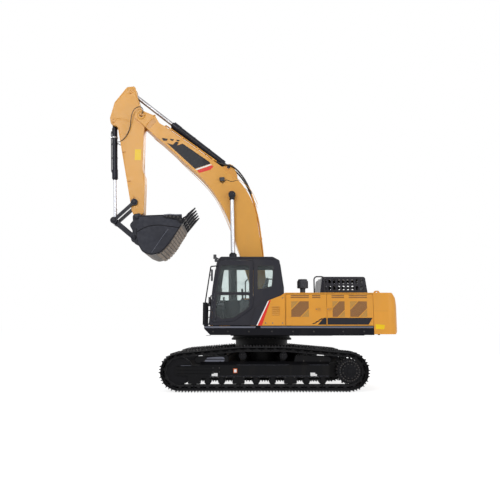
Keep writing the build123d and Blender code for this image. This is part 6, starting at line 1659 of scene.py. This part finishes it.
@dataclass
class Boom:
    """Bands, seams, pin keepers and lines on the boom."""

    body: str = "boom"
    side: float = 0.215
    pivot: Point = (3.314, 7.311)

    def films(self) -> None:
        """Dark band with its marks, and the white and red stripes, on both sides."""
        low, high = self.side - 0.0005, self.side + 0.0012
        band, white, red = Stock(), Stock(), Stock()
        band.side_sheet([(2.594, 6.517), (2.425, 6.463), (2.343, 6.551), (2.262, 6.536), (2.304, 6.446),
                         (2.153, 6.497), (1.405, 5.973), (1.397, 5.923), (1.807, 5.781)], low, high)
        for marks in ([(2.728, 6.658), (2.559, 6.631), (2.600, 6.571), (2.690, 6.577)],
                      [(2.513, 6.637), (2.391, 6.616), (2.428, 6.572), (2.480, 6.583)],
                      [(2.328, 6.616), (2.233, 6.595), (2.270, 6.555), (2.316, 6.568)]):
            band.side_sheet(marks, low, high)
        white.side_sheet([(1.800, 5.772), (1.397, 5.915), (1.350, 5.893), (1.757, 5.748)], low, high)
        red.side_sheet([(1.745, 5.740), (1.342, 5.885), (1.305, 5.842), (1.385, 5.760), (1.690, 5.664)], low,
                       high)
        for stock, name, finish in ((band, "boom_band", Finish.DARK),
                                    (white, "boom_stripe_white", Finish.WHITE),
                                    (red, "boom_stripe_red", Finish.RED)):
            stock.pair(name, self.body, finish)

    def seams(self) -> None:
        """Weld beads along the box, casting joint with its tab, and a deeper ochre area behind it, painted
        shadow of the casting.
        """
        beads, painted_shadow = Stock(), Stock()
        y = self.side
        beads.run([(2.962, y, 7.318), (2.985, y, 7.250), (3.040, y, 7.180), (3.165, y, 7.030),
                   (3.185, y, 6.985)], 0.010)
        beads.run([(2.935, y - 0.026, 7.302), (2.935, y, 7.302), (2.955, y + 0.002, 7.312)], 0.016)
        for line in ([(2.62, 6.950), (1.60, 6.205), (0.55, 5.440), (0.24, 5.190), (0.10, 4.80)],
                     [(3.02, 6.800), (2.55, 6.420), (2.05, 5.90), (1.55, 5.42), (1.22, 5.00), (0.98, 4.50),
                      (0.80, 4.05), (0.60, 3.50), (0.42, 3.0)]):
            beads.run([(x, y, z) for x, z in line], 0.006, True, 6)
        for x, z in ((0.99, 5.70), (0.75, 5.50)):
            beads.run([(x - 0.06, y, z - 0.06), (x + 0.05, y, z + 0.06)], 0.006, False, 6)
        beads.turned([(0.128, 0.0), (0.142, 0.0), (0.137, 0.010), (0.128, 0.014)], (0.792, y, 5.033), Y_AXIS,
                     36)
        # Deeper ochre film behind the casting joint: painted shadow of the nose casting.
        painted_shadow.side_sheet([(3.170, 6.990), (3.045, 7.165), (2.975, 7.235), (2.885, 7.125), (3.085, 6.905)],
                         y - 0.0005, y + 0.001)
        beads.pair("boom_welds", self.body, Finish.BOOM)
        painted_shadow.pair("boom_painted_shadow", self.body, Finish.PRIMER)

    def keepers(self) -> None:
        """Bosses, keeper plates and bolts at the pins."""
        rings, bolts = Stock(), Stock()
        x, z = self.pivot
        rings.turned([(0.056, 0.0), (0.118, 0.0), (0.118, 0.008), (0.108, 0.014), (0.056, 0.014)],
                     (x, self.side, z), Y_AXIS, 40)
        rings.side_sheet([(x - 0.11, z - 0.024), (x + 0.045, z - 0.024), (x + 0.045, z + 0.024),
                          (x - 0.11, z + 0.024)],
                         self.side + 0.014, self.side + 0.026, 0.003, 0.012)
        bolts.bolt((x - 0.085, self.side + 0.026, z), Y_AXIS, 0.024, 0.016)
        bolts.bolt((x + 0.015, self.side + 0.026, z), Y_AXIS, 0.024, 0.016)
        foot_x, foot_z = 0.891, 5.867
        rings.turned([(0.049, 0.0), (0.075, 0.0), (0.072, 0.010), (0.049, 0.012)], (foot_x, 0.113, foot_z),
                     Y_AXIS, 28)
        bolts.bolt((foot_x, 0.125, foot_z + 0.06), Y_AXIS, 0.02, 0.012)
        rings.pair("boom_keepers", self.body, Finish.BOOM)
        bolts.pair("boom_keeper_bolts", self.body, Finish.PRIMER)

    def lines(self) -> None:
        """Hoses and pipes that stay on the boom, clamps, and the lamp's face."""
        hoses, pipes, backs, clamps = Stock(), Stock(), Stock(), Stock()
        for side in SIDES:
            for offset in (0.120, 0.165):
                y = side * offset
                hoses.run([(1.225, y, 6.005), (1.13, y, 5.955), (1.01, y, 5.925), (0.85, y, 5.905),
                           (0.72, y, 5.835),
                           (0.60, y, 5.715), (0.49, y, 5.57), (0.39, y, 5.40), (0.31, y, 5.22),
                           (0.262, y, 5.10)],
                          0.018, True, 8)
                backs.run([(0.265, y, 5.10), (0.205, y, 4.95), (0.138, y, 4.66), (0.062, y, 4.33),
                           (-0.008, y, 3.80), (-0.066, y, 3.30), (-0.092, y, 2.78)], 0.015, True, 8)
                pipes.run([(2.555, y, 6.985), (2.60, y, 7.018), (2.64, y, 7.035), (2.665, y, 7.0),
                           (2.665, y, 6.93)], 0.015,
                          True, 8)
            for x, z in ((0.112, 4.52), (0.002, 3.86), (-0.060, 3.32)):
                clamps.block((x - 0.024, min(side * 0.095, side * 0.19), z - 0.02),
                             (x + 0.05, max(side * 0.095, side * 0.19), z + 0.02), 0.006, 1)
        hoses.run([(0.93, 0.0, 5.765), (1.02, 0.0, 5.755), (1.10, 0.06, 5.80), (1.20, 0.12, 5.97)], 0.016)
        hoses.piece("boom_hoses", self.body, Finish.RUBBER)
        pipes.piece("nose_pipes", self.body, Finish.BOOM)
        backs.piece("back_pipes", self.body, Finish.BOOM)
        clamps.piece("pipe_clamps", self.body, Finish.BOOM)
        lamp = Stock()
        lamp.turned([(0.0, 0.0), (0.042, 0.0), (0.040, 0.010), (0.0, 0.016)], (1.121, 0.25, 5.48), X_AXIS, 28)
        lamp.piece("boom_lamp_lens", self.body, Finish.LENS)
        rim = Stock()
        rim.turned([(0.042, -0.004), (0.047, -0.004), (0.047, 0.014), (0.042, 0.014), (0.042, -0.004)],
                   (1.121, 0.25, 5.48), X_AXIS, 28)
        rim.piece("boom_lamp_rim", self.body, Finish.SEAL)
        cable = Stock()
        cable.run([(1.10, 0.235, 5.455), (1.085, 0.228, 5.39), (1.04, 0.226, 5.38), (0.97, 0.222, 5.475),
                   (0.89, 0.220, 5.46), (0.81, 0.220, 5.415), (0.70, 0.220, 5.46), (0.60, 0.205, 5.46)],
                  0.007, True, 6)
        cable.piece("boom_lamp_cable", self.body, Finish.SEAL)

    def build(self) -> None:
        """Builds every piece of the boom."""
        self.films()
        self.seams()
        self.keepers()
        self.lines()


@dataclass
class Arm:
    """Tags, seams, keepers and hoses on the arm."""

    body: str = "arm"
    side: float = 0.17

    def build(self) -> None:
        """Builds every piece of the arm."""
        tag, beads, keepers, bolts, brackets = Stock(), Stock(), Stock(), Stock(), Stock()
        tag.side_sheet([(3.465, 6.343), (3.295, 6.343), (3.295, 6.036), (3.465, 6.036)], self.side - 0.0005,
                       self.side + 0.0012, 0.0, 0.01)
        tag.pair("arm_tag", self.body, Finish.SIGN)
        y = self.side
        for line in ([(3.55, 8.12), (3.47, 7.85), (3.39, 7.62)],
                     [(3.24, 6.80), (3.262, 5.80), (3.20, 5.62), (3.19, 5.35)],
                     [(4.05, 7.68), (3.76, 8.08)], [(3.93, 6.95), (3.66, 5.58)],
                     [(4.10, 7.215), (3.95, 7.232), (3.74, 7.20), (3.56, 7.11)]):
            beads.run([(x, y, z) for x, z in line], 0.006, True, 6)
        beads.pair("arm_welds", self.body, Finish.BOOM)
        for x, z, radius in ((3.636, 8.045, 0.085), (4.092, 7.191, 0.08)):
            keepers.turned([(0.049, 0.0), (radius, 0.0), (radius - 0.004, 0.010), (0.049, 0.012)], (x, y, z),
                           Y_AXIS, 32)
            keepers.side_sheet([(x - 0.02, z - 0.10), (x + 0.02, z - 0.10), (x + 0.02, z + 0.02),
                                (x - 0.02, z + 0.02)],
                               y + 0.012, y + 0.022, 0.002, 0.008)
            bolts.bolt((x, y + 0.022, z - 0.08), Y_AXIS, 0.02, 0.014)
            bolts.bolt((x, y + 0.022, z), Y_AXIS, 0.02, 0.014)
        for x, z, lean in ((3.765, 6.265, 0.1), (3.59, 5.44, 0.1), (3.457, 4.97, 1.2)):
            brackets.block((-0.045, y - 0.001, -0.012), (0.045, y + 0.022, 0.012), 0.004, 1,
                           Matrix.Translation((x, 0, z)) @ Matrix.Rotation(lean, 4, "Y"))
            bolts.bolt((x, y + 0.022, z), Y_AXIS, 0.014, 0.01)
        for stock, name, finish in ((keepers, "arm_keepers", Finish.BOOM),
                                    (bolts, "arm_bolts", Finish.PRIMER),
                                    (brackets, "arm_brackets", Finish.PRIMER)):
            stock.pair(name, self.body, finish)
        self.hoses()

    def hoses(self) -> None:
        """Hose pair from the pivot's swivel round to the bucket cylinder."""
        swivel = Stock()
        for side in SIDES:
            swivel.turned([(0.0, 0.0), (0.036, 0.0), (0.036, 0.04), (0.028, 0.05), (0.0, 0.05)],
                          (3.314, side * 0.229, 7.311), Vector((0, side, 0)), 24)
            route = [(3.308, side * 0.240, 7.325), (3.256, side * 0.264, 7.396), (3.266, side * 0.264, 7.492),
                     (3.358, side * 0.264, 7.540), (3.475, side * 0.264, 7.500), (3.555, side * 0.262, 7.370),
                     (3.585, side * 0.250, 7.200), (3.600, side * 0.222, 7.020), (3.640, side * 0.195, 6.860),
                     (3.712, side * 0.188, 6.715), (3.810, side * 0.182, 6.600), (3.925, side * 0.150, 6.545),
                     (4.006, side * 0.058, 6.600)]
            hose = pipe_curve(f"arm_hose_{'left' if side > 0 else 'right'}", route, 0.011, True, 10)
            bpy.context.scene.collection.objects.link(hose)
            dress(hose, self.body, Finish.RUBBER)
            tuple(route[0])
        swivel.piece("pivot_swivels", self.body, Finish.PRIMER)


@dataclass
class CylinderTrim:
    """Glands, ports, pipes and clamps of one cylinder."""

    name: str
    barrel_body: str
    foot: Point
    head: Point
    offsets: tuple
    barrel: float
    rod: float
    length: float
    pipe_side: int = 1
    clamp: float | None = None
    rod_body: str = ""
    eye: float = 0.0
    rise: float = 0.008
    plate: float = 0.018

    def build(self) -> None:
        """Builds the cylinder's trim."""
        foot, head = Vector((self.foot[0], 0, self.foot[1])), Vector((self.head[0], 0, self.head[1]))
        along = (head - foot).normalized()
        out = Vector((-along.z, 0, along.x)) * self.pipe_side if self.pipe_side else Y_AXIS.copy()
        steel, pipes, bolts, wipers, band = Stock(), Stock(), Stock(), Stock(), Stock()
        for offset in self.offsets:
            base = foot + Y_AXIS * offset
            end = base + along * self.length
            gland = self.barrel + self.rise
            steel.turned([(self.rod + 0.004, 0.0), (gland - 0.012, 0.0), (gland - 0.012, self.plate),
                          (self.rod + 0.011, self.plate), (self.rod + 0.010, 0.03), (self.rod + 0.004, 0.03)],
                         end, along, 40)
            for shift in (0.24, 0.16, 0.02):
                steel.turned([(gland - 0.004, 0.0), (gland + 0.002, 0.003), (gland + 0.002, 0.021),
                              (gland - 0.004, 0.024)],
                             end - along * shift, along, 40)
            bolts.bolt_ring(end, along, gland - 0.022, 10, 0.018, 0.008)
            wipers.turned([(self.rod + 0.0006, 0.028), (self.rod + 0.014, 0.028), (self.rod + 0.010, 0.044),
                           (self.rod + 0.0006, 0.046)], end, along, 32)
            near, far = base + along * 0.30, end - along * 0.20
            lift = out * (self.barrel + 0.022)
            pipes.run([near + out * (self.barrel - 0.01), near + lift * 0.99, near + lift + along * 0.05,
                       near + lift + along * 0.4, far + lift - along * 0.06, far + lift,
                       far + out * (self.barrel - 0.01)],
                      0.013, True, 8)
            for port in (near, far):
                steel.block((-0.03, -0.025, -0.002), (0.03, 0.025, 0.028), 0.004, 1,
                            aim(port + out * (self.barrel - 0.006), out))
            for share in (0.3, 0.65):
                spot = near.lerp(far, share)
                steel.turned([(self.barrel, 0.0), (self.barrel + 0.008, 0.002), (self.barrel + 0.008, 0.022),
                              (self.barrel, 0.024)], spot, along, 40)
                steel.block((-0.02, -0.012, 0.0), (0.02, 0.012, 0.03), 0.003, 1,
                            aim(spot + out * self.barrel + along * 0.012,
                                                                                       out))
            if self.clamp is not None:
                spot = base + along * self.clamp
                band.turned([(self.barrel + 0.001, 0.0), (self.barrel + 0.016, 0.003),
                             (self.barrel + 0.016, 0.032), (self.barrel + 0.001, 0.035)], spot, along, 40)
                side = along.cross(Y_AXIS).normalized()
                band.block((-0.02, -0.02, 0.0), (0.02, 0.02, 0.05), 0.004, 1,
                           aim(spot + side * self.barrel, side))
        steel.piece(f"{self.name}_glands", self.barrel_body, Finish.CYLINDER)
        pipes.piece(f"{self.name}_pipes", self.barrel_body, Finish.PIPE)
        bolts.piece(f"{self.name}_bolts", self.barrel_body, Finish.BLACK_BOLT)
        wipers.piece(f"{self.name}_wipers", self.barrel_body, Finish.SEAL)
        if self.clamp is not None:
            band.piece(f"{self.name}_clamp", self.barrel_body, Finish.CLAMP)
        else:
            band.bm.free()
        if self.eye:
            ring = Stock()
            half, radius = 0.058, self.eye
            for offset in self.offsets:
                side = math.copysign(1.0, offset)
                ring.turned([(0.0, 0.016), (0.058, 0.016), (0.062, 0.012), (0.062, 0.0)],
                            head + Y_AXIS * side * (abs(offset) + half), Y_AXIS * side, 36)
                ring.turned([(0.05, -0.001), (radius + 0.002, -0.001), (radius + 0.003, 0.004),
                             (radius + 0.003, 2 * half - 0.004), (radius + 0.002, 2 * half + 0.001),
                             (0.05, 2 * half + 0.001)],
                            head + Y_AXIS * (offset - half), Y_AXIS, 48)
                ring.turned([(self.rod + 0.002, 0.0), (self.rod + 0.016, 0.01), (self.rod + 0.016, 0.06),
                             (self.rod + 0.002, 0.075)], head + Y_AXIS * offset - along * 0.145, along, 40)
            ring.piece(f"{self.name}_eyes", self.rod_body, Finish.CYLINDER)


# Bucket


@dataclass
class Bucket:
    """Seams, wear plates, cutters, tooth points and link trim."""

    body: str = "bucket"
    side: float = 0.70

    def seams(self) -> None:
        """Curved seam and brace on the side plates, wear plates on the wrapper."""
        beads, edge, strips, brace = Stock(), Stock(), Stock(), Stock()
        y = self.side
        beads.run([(x, y, z) for x,
                   z in ((3.245, 3.94), (3.12, 4.028), (2.905, 4.112), (2.688, 4.131), (2.469, 4.103),
                                          (2.145, 4.060))], 0.011)
        beads.run([(x, y, z) for x, z in ((3.172, 4.360), (2.60, 4.385), (2.10, 4.400))], 0.010)
        brace.run([(x, y + 0.001, z) for x,
                   z in ((2.431, 4.029), (2.607, 3.771), (2.746, 3.551), (2.845, 3.40))], 0.006)
        brace.pair("bucket_braces", self.body, Finish.EDGE)
        edge.run([(x, y, z) for x,
                  z in ((3.255, 4.04), (3.248, 3.72), (3.10, 3.45), (2.86, 3.352), (2.61, 3.415),
                                         (2.38, 3.69), (2.10, 4.14))], 0.008)
        beads.pair("bucket_seams", self.body, Finish.TEETH)
        edge.pair("bucket_edge_welds", self.body, Finish.TEETH)
        outline = [(2.10, 4.110), (2.23, 3.900), (2.365, 3.668), (2.47, 3.530), (2.60, 3.398), (2.72, 3.350)]
        for (x1, z1), (x2, z2) in zip(outline, outline[1:]):
            first, last = Vector((x1, 0, z1)), Vector((x2, 0, z2))
            way = (last - first).normalized()
            down = Vector((way.z, 0, -way.x))
            down = down if down.z < 0 else -down
            count = max(1, round((last - first).length / 0.095))
            for index in range(count):
                near = first.lerp(last, (index + 0.13) / count)
                far = first.lerp(last, (index + 0.87) / count)
                for low, high in ((-0.68, -0.345), (-0.335, -0.005), (0.005, 0.335), (0.345, 0.68)):
                    strips.sheet([near + Y_AXIS * low, near + Y_AXIS * high, far + Y_AXIS * high,
                                  far + Y_AXIS * low],
                                 down * 0.013, 0.003)
        strips.piece("bucket_wear_plates", self.body, Finish.WEAR)

    def edge(self) -> None:
        """Cutter plates with bolts, tooth pins and side ribs on the teeth."""
        cutters, bolts, points, caps = Stock(), Stock(), Stock(), Stock()
        y = self.side + 0.034
        for x, z in ((2.47, 4.350), (2.38, 4.352), (2.28, 4.332), (2.18, 4.330), (2.112, 4.26)):
            bolts.bolt((x, y, z), Y_AXIS, 0.036, 0.022)
        cutters.side_sheet([(2.552, 4.398), (2.402, 4.416), (2.241, 4.404), (2.088, 4.410), (2.090, 4.386),
                            (2.241, 4.380), (2.402, 4.392), (2.552, 4.372)], y - 0.001, y + 0.005, 0.001)
        bolts.mirrored()
        cutters.mirrored()
        along = (Vector((1.744, 0, 4.592)) - Vector((2.035, 0, 4.31))).normalized()
        up = Vector((-along.z, 0, along.x))
        up = up if up.z > 0 else -up
        span = self.side - 0.05
        for index in range(5):
            y_mid = -span + 2 * span * index / 4
            for side in SIDES:
                spot = Vector((2.008, y_mid + side * 0.045, 4.300))
                points.round_bar(spot, spot + Y_AXIS * side * 0.012, 0.017, 12, 0.003)
                for foot in ((1.962, 4.388), (1.846, 4.502)):
                    caps.sheet([Vector((foot[0], y_mid + side * 0.0455,
                                        foot[1])) + up * rise for rise in (-0.012, 0.012)]
                               + [Vector((foot[0], y_mid + side * 0.0455, foot[1])) + along * 0.05 + up * rise
                                  for rise in (0.008, -0.008)], Y_AXIS * side * 0.004, 0.001)
        cutters.piece("cutter_edges", self.body, Finish.EDGE)
        bolts.piece("cutter_bolts", self.body, Finish.BLACK_BOLT)
        points.piece("tooth_pins", self.body, Finish.PIN)
        caps.piece("tooth_ribs", self.body, Finish.TEETH)

    def linkage(self) -> None:
        """Pin caps, keepers and grease nipples of levers, link and ears."""
        rows = (
            ("lever_caps", "levers", 3.435, 4.852, 0.224, 0.070), ("link_caps", "levers", 3.967, 4.350, 0.224,
                                                                   0.070),
            ("ear_caps", "bucket", 3.405, 3.885, 0.216, 0.072), ("tip_caps", "bucket", 3.355, 4.441, 0.216,
                                                                 0.078),
        )
        for name, body, x, z, y, radius in rows:
            caps = Stock()
            caps.turned([(0.0, 0.0), (radius, 0.0), (radius - 0.005, 0.008), (0.046, 0.012), (0.040, 0.018),
                         (0.0, 0.020)],
                        (x, y, z), Y_AXIS, 32)
            caps.bolt((x, y + 0.019, z), Y_AXIS, 0.02, 0.010)
            caps.bolt((x - radius * 0.78, y + 0.006, z), Y_AXIS, 0.014, 0.010)
            caps.pair(name, body, Finish.CYLINDER)
        ribs = Stock()
        for side in SIDES:
            y_low, y_high = sorted((side * 0.2245, side * 0.231))
            ribs.side_sheet([(3.496, 4.811), (3.922, 4.409), (3.906, 4.391), (3.480, 4.793)], y_low, y_high)
        ribs.piece("lever_ribs", "levers", Finish.CYLINDER)

    def build(self) -> None:
        """Builds every piece of the bucket."""
        self.seams()
        self.edge()
        self.linkage()


# Studio and main


NODE_FINISHES = {
    Finish.CHASSIS: ("car_body", "track_frame_left", "track_frame_right", "lashing_lugs", "swing_frame"),
    Finish.TRACK: ("track_left", "track_right"),
    Finish.WHEEL: ("sprockets", "final_drives", "idlers", "track_rollers", "carrier_rollers",
                   "swing_bearing"),
    Finish.DECK: ("deck_left", "deck_right", "front_steps", "toolbox_lid", "cab_front_step"),
    Finish.HOUSE: ("counterweight", "lifting_eyes", "hood_frame", "side_door_front", "side_door_rear",
                   "pump_door", "right_tanks", "toolbox", "cab_lower_panel"),
    Finish.BLACK: ("engine_hood", "cab_shell", "cab_door_frame", "handrails"),
    Finish.BOOM: ("boom_box", "arm_box", "boom_lines", "arm_pins"),
    Finish.CYLINDER: ("boom_cylinder_barrels", "arm_cylinder_barrel", "bucket_cylinder_barrel",
                      "guide_levers", "bucket_link", "bucket_pins", "boom_pins"),
    Finish.CHROME: ("boom_cylinder_rods", "bucket_cylinder_rod"),
    Finish.DARK_ROD: ("arm_cylinder_rod",),
    Finish.PIN: ("frame_pins",),
    Finish.BUCKET: ("bucket_shell",),
    Finish.TEETH: ("bucket_teeth", "side_cutters"),
    Finish.GLASS: ("cab_glass", "cab_door_glass"),
    Finish.ENGINE: ("engine_block",),
    Finish.CORE: ("radiator_pack",),
    Finish.EXHAUST: ("exhaust_pipe",),
    Finish.PLASTIC: ("air_cleaner", "mirrors", "cab_lamps", "boom_lamp"),
    Finish.TRIM: ("cab_consoles", "operator_seat"),
}


def paint_nodes(nodes: dict[str, bpy.types.Object]) -> None:
    """Gives every node of the frame its finish.

    Args:
        nodes: The frame's nodes by name.
    """
    for finish, names in NODE_FINISHES.items():
        for name in names:
            item = nodes[name]
            for slot in item.material_slots:
                slot.material = finish.material()
            if not item.material_slots:
                item.data.materials.append(finish.material())
            LOG.info("%s in %s", name, finish.value.name)


def watched(graph: Graph) -> Signal:
    """Share of 1 for what the camera sees, straight on, mirrored or through glass.

    Args:
        graph: Graph that uses it.

    Returns:
        The share.
    """
    rays = [graph.node("ShaderNodeLightPath", output=place) for place in (0, 3, 6)]
    return graph.node("ShaderNodeClamp", None, {0: rays[0] + rays[1] + rays[2]})


@dataclass(frozen=True)
class Lamp:
    """One soft box of the studio."""

    name: str
    place: Place
    target: Place
    power: float
    width: float
    height: float

    def build(self) -> None:
        """Hangs the lamp."""
        data = bpy.data.lights.new(self.name, "AREA")
        data.shape = "RECTANGLE"
        data.size = self.width
        data.size_y = self.height
        data.energy = self.power
        item = bpy.data.objects.new(self.name, data)
        item.matrix_world = aim(self.place, Vector(self.place) - Vector(self.target))
        bpy.context.scene.collection.objects.link(item)


@dataclass
class Studio:
    """Camera, pale floor, white surroundings and soft lamps."""

    eye: Place = (0.48808, 14.5, 1.45822)
    pitch: float = math.radians(8.32)
    yaw: float = math.radians(-0.73)
    lens: float = 38.916
    sensor: float = 36.0
    floor_size: float = 400.0
    sky: float = 0.52

    def camera(self) -> None:
        """Places the camera at the photograph's viewing angle."""
        data = bpy.data.cameras.new("view")
        data.sensor_fit = "HORIZONTAL"
        data.sensor_width = self.sensor
        data.lens = self.lens
        data.clip_end = 1000.0
        item = bpy.data.objects.new("view", data)
        forward = Vector((math.sin(self.yaw) * math.cos(self.pitch),
                          -math.cos(self.yaw) * math.cos(self.pitch), math.sin(self.pitch)))
        item.matrix_world = Matrix.Translation(self.eye) @ forward.to_track_quat("-Z",
                                                                                 "Y").to_matrix().to_4x4()
        bpy.context.scene.collection.objects.link(item)
        bpy.context.scene.camera = item

    def floor(self) -> None:
        """Lays a pale floor that keeps the machine's shadow."""
        bm = bmesh.new()
        bmesh.ops.create_grid(bm, x_segments=1, y_segments=1, size=self.floor_size)
        mesh = bpy.data.meshes.new("floor")
        bm.to_mesh(mesh)
        bm.free()
        item = bpy.data.objects.new("floor", mesh)
        bpy.context.scene.collection.objects.link(item)
        graph = Graph("pale_floor")
        matt = graph.node("ShaderNodeBsdfDiffuse", None, {"Color": srgb(238, 238, 238)})
        glow = graph.node("ShaderNodeEmission", None, {"Color": (1.0, 1.0, 1.0, 1.0), "Strength": 1.6})
        seen = watched(graph)
        mesh.materials.append(graph.close(graph.node("ShaderNodeMixShader", None,
                                                     {0: seen * 0.5, 1: matt, 2: glow})))

    def world(self) -> None:
        """Sets white surroundings that light the machine softly from above."""
        world = bpy.data.worlds.new("surroundings")
        world.use_nodes = True
        bpy.context.scene.world = world
        graph = Graph("surroundings", world.node_tree)
        toward = graph.node("ShaderNodeTexCoord")
        height = graph.node("ShaderNodeSeparateXYZ", None, {0: toward}, output=2)
        low, high = (0.55, 0.57, 0.62, 1.0), (1.0, 1.0, 1.0, 1.0)
        colour = graph.mix(graph.step(height, -0.3, 0.9), low, high)
        lit = graph.node("ShaderNodeBackground", None, {"Color": colour, "Strength": self.sky})
        plain = graph.node("ShaderNodeBackground", None, {"Color": high, "Strength": 1.0})
        graph.close(graph.node("ShaderNodeMixShader", None, {0: watched(graph), 1: lit, 2: plain}))

    def build(self) -> None:
        """Sets up the studio."""
        self.camera()
        self.floor()
        self.world()
        for lamp in (
            Lamp("key", (9.0, 22.0, 14.0), (0.5, 0.0, 3.0), 2100.0, 12.0, 9.0),
            Lamp("fill", (-10.0, 11.0, 6.0), (-0.5, 0.0, 2.0), 380.0, 7.0, 6.0),
            Lamp("back", (-5.0, -14.0, 12.0), (0.0, 0.0, 2.5), 800.0, 8.0, 6.0),
        ):
            lamp.build()
        bpy.context.scene.view_settings.view_transform = "Standard"


def cylinders() -> list[CylinderTrim]:
    """Trim of the machine's cylinders."""
    return [
        CylinderTrim("lift", "lift_barrels", (0.720, 1.480), (0.792, 5.033), (0.322, -0.322), 0.092, 0.055,
                     1.930, -1, None, "lift_rods", 0.092),
        CylinderTrim("crowd", "arm_barrel", (0.891, 5.867), (3.636, 8.045), (0.0,), 0.097, 0.054, 1.985, 0,
                     rise=0.001, plate=0.006),
        CylinderTrim("curl", "bucket_barrel", (4.092, 7.191), (3.967, 4.350), (0.0,), 0.074, 0.049, 1.630, 1,
                     0.45),
    ]


def main() -> None:
    """Builds the dressed machine and its studio."""
    logging.basicConfig(level=logging.INFO)
    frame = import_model()
    Studio().build()
    paint_nodes(frame["nodes"])
    for part in (Undercarriage(), House(), Cab(), Boom(), Arm(), *cylinders(), Bucket()):
        part.build()


if __name__ == "__main__":
    main()
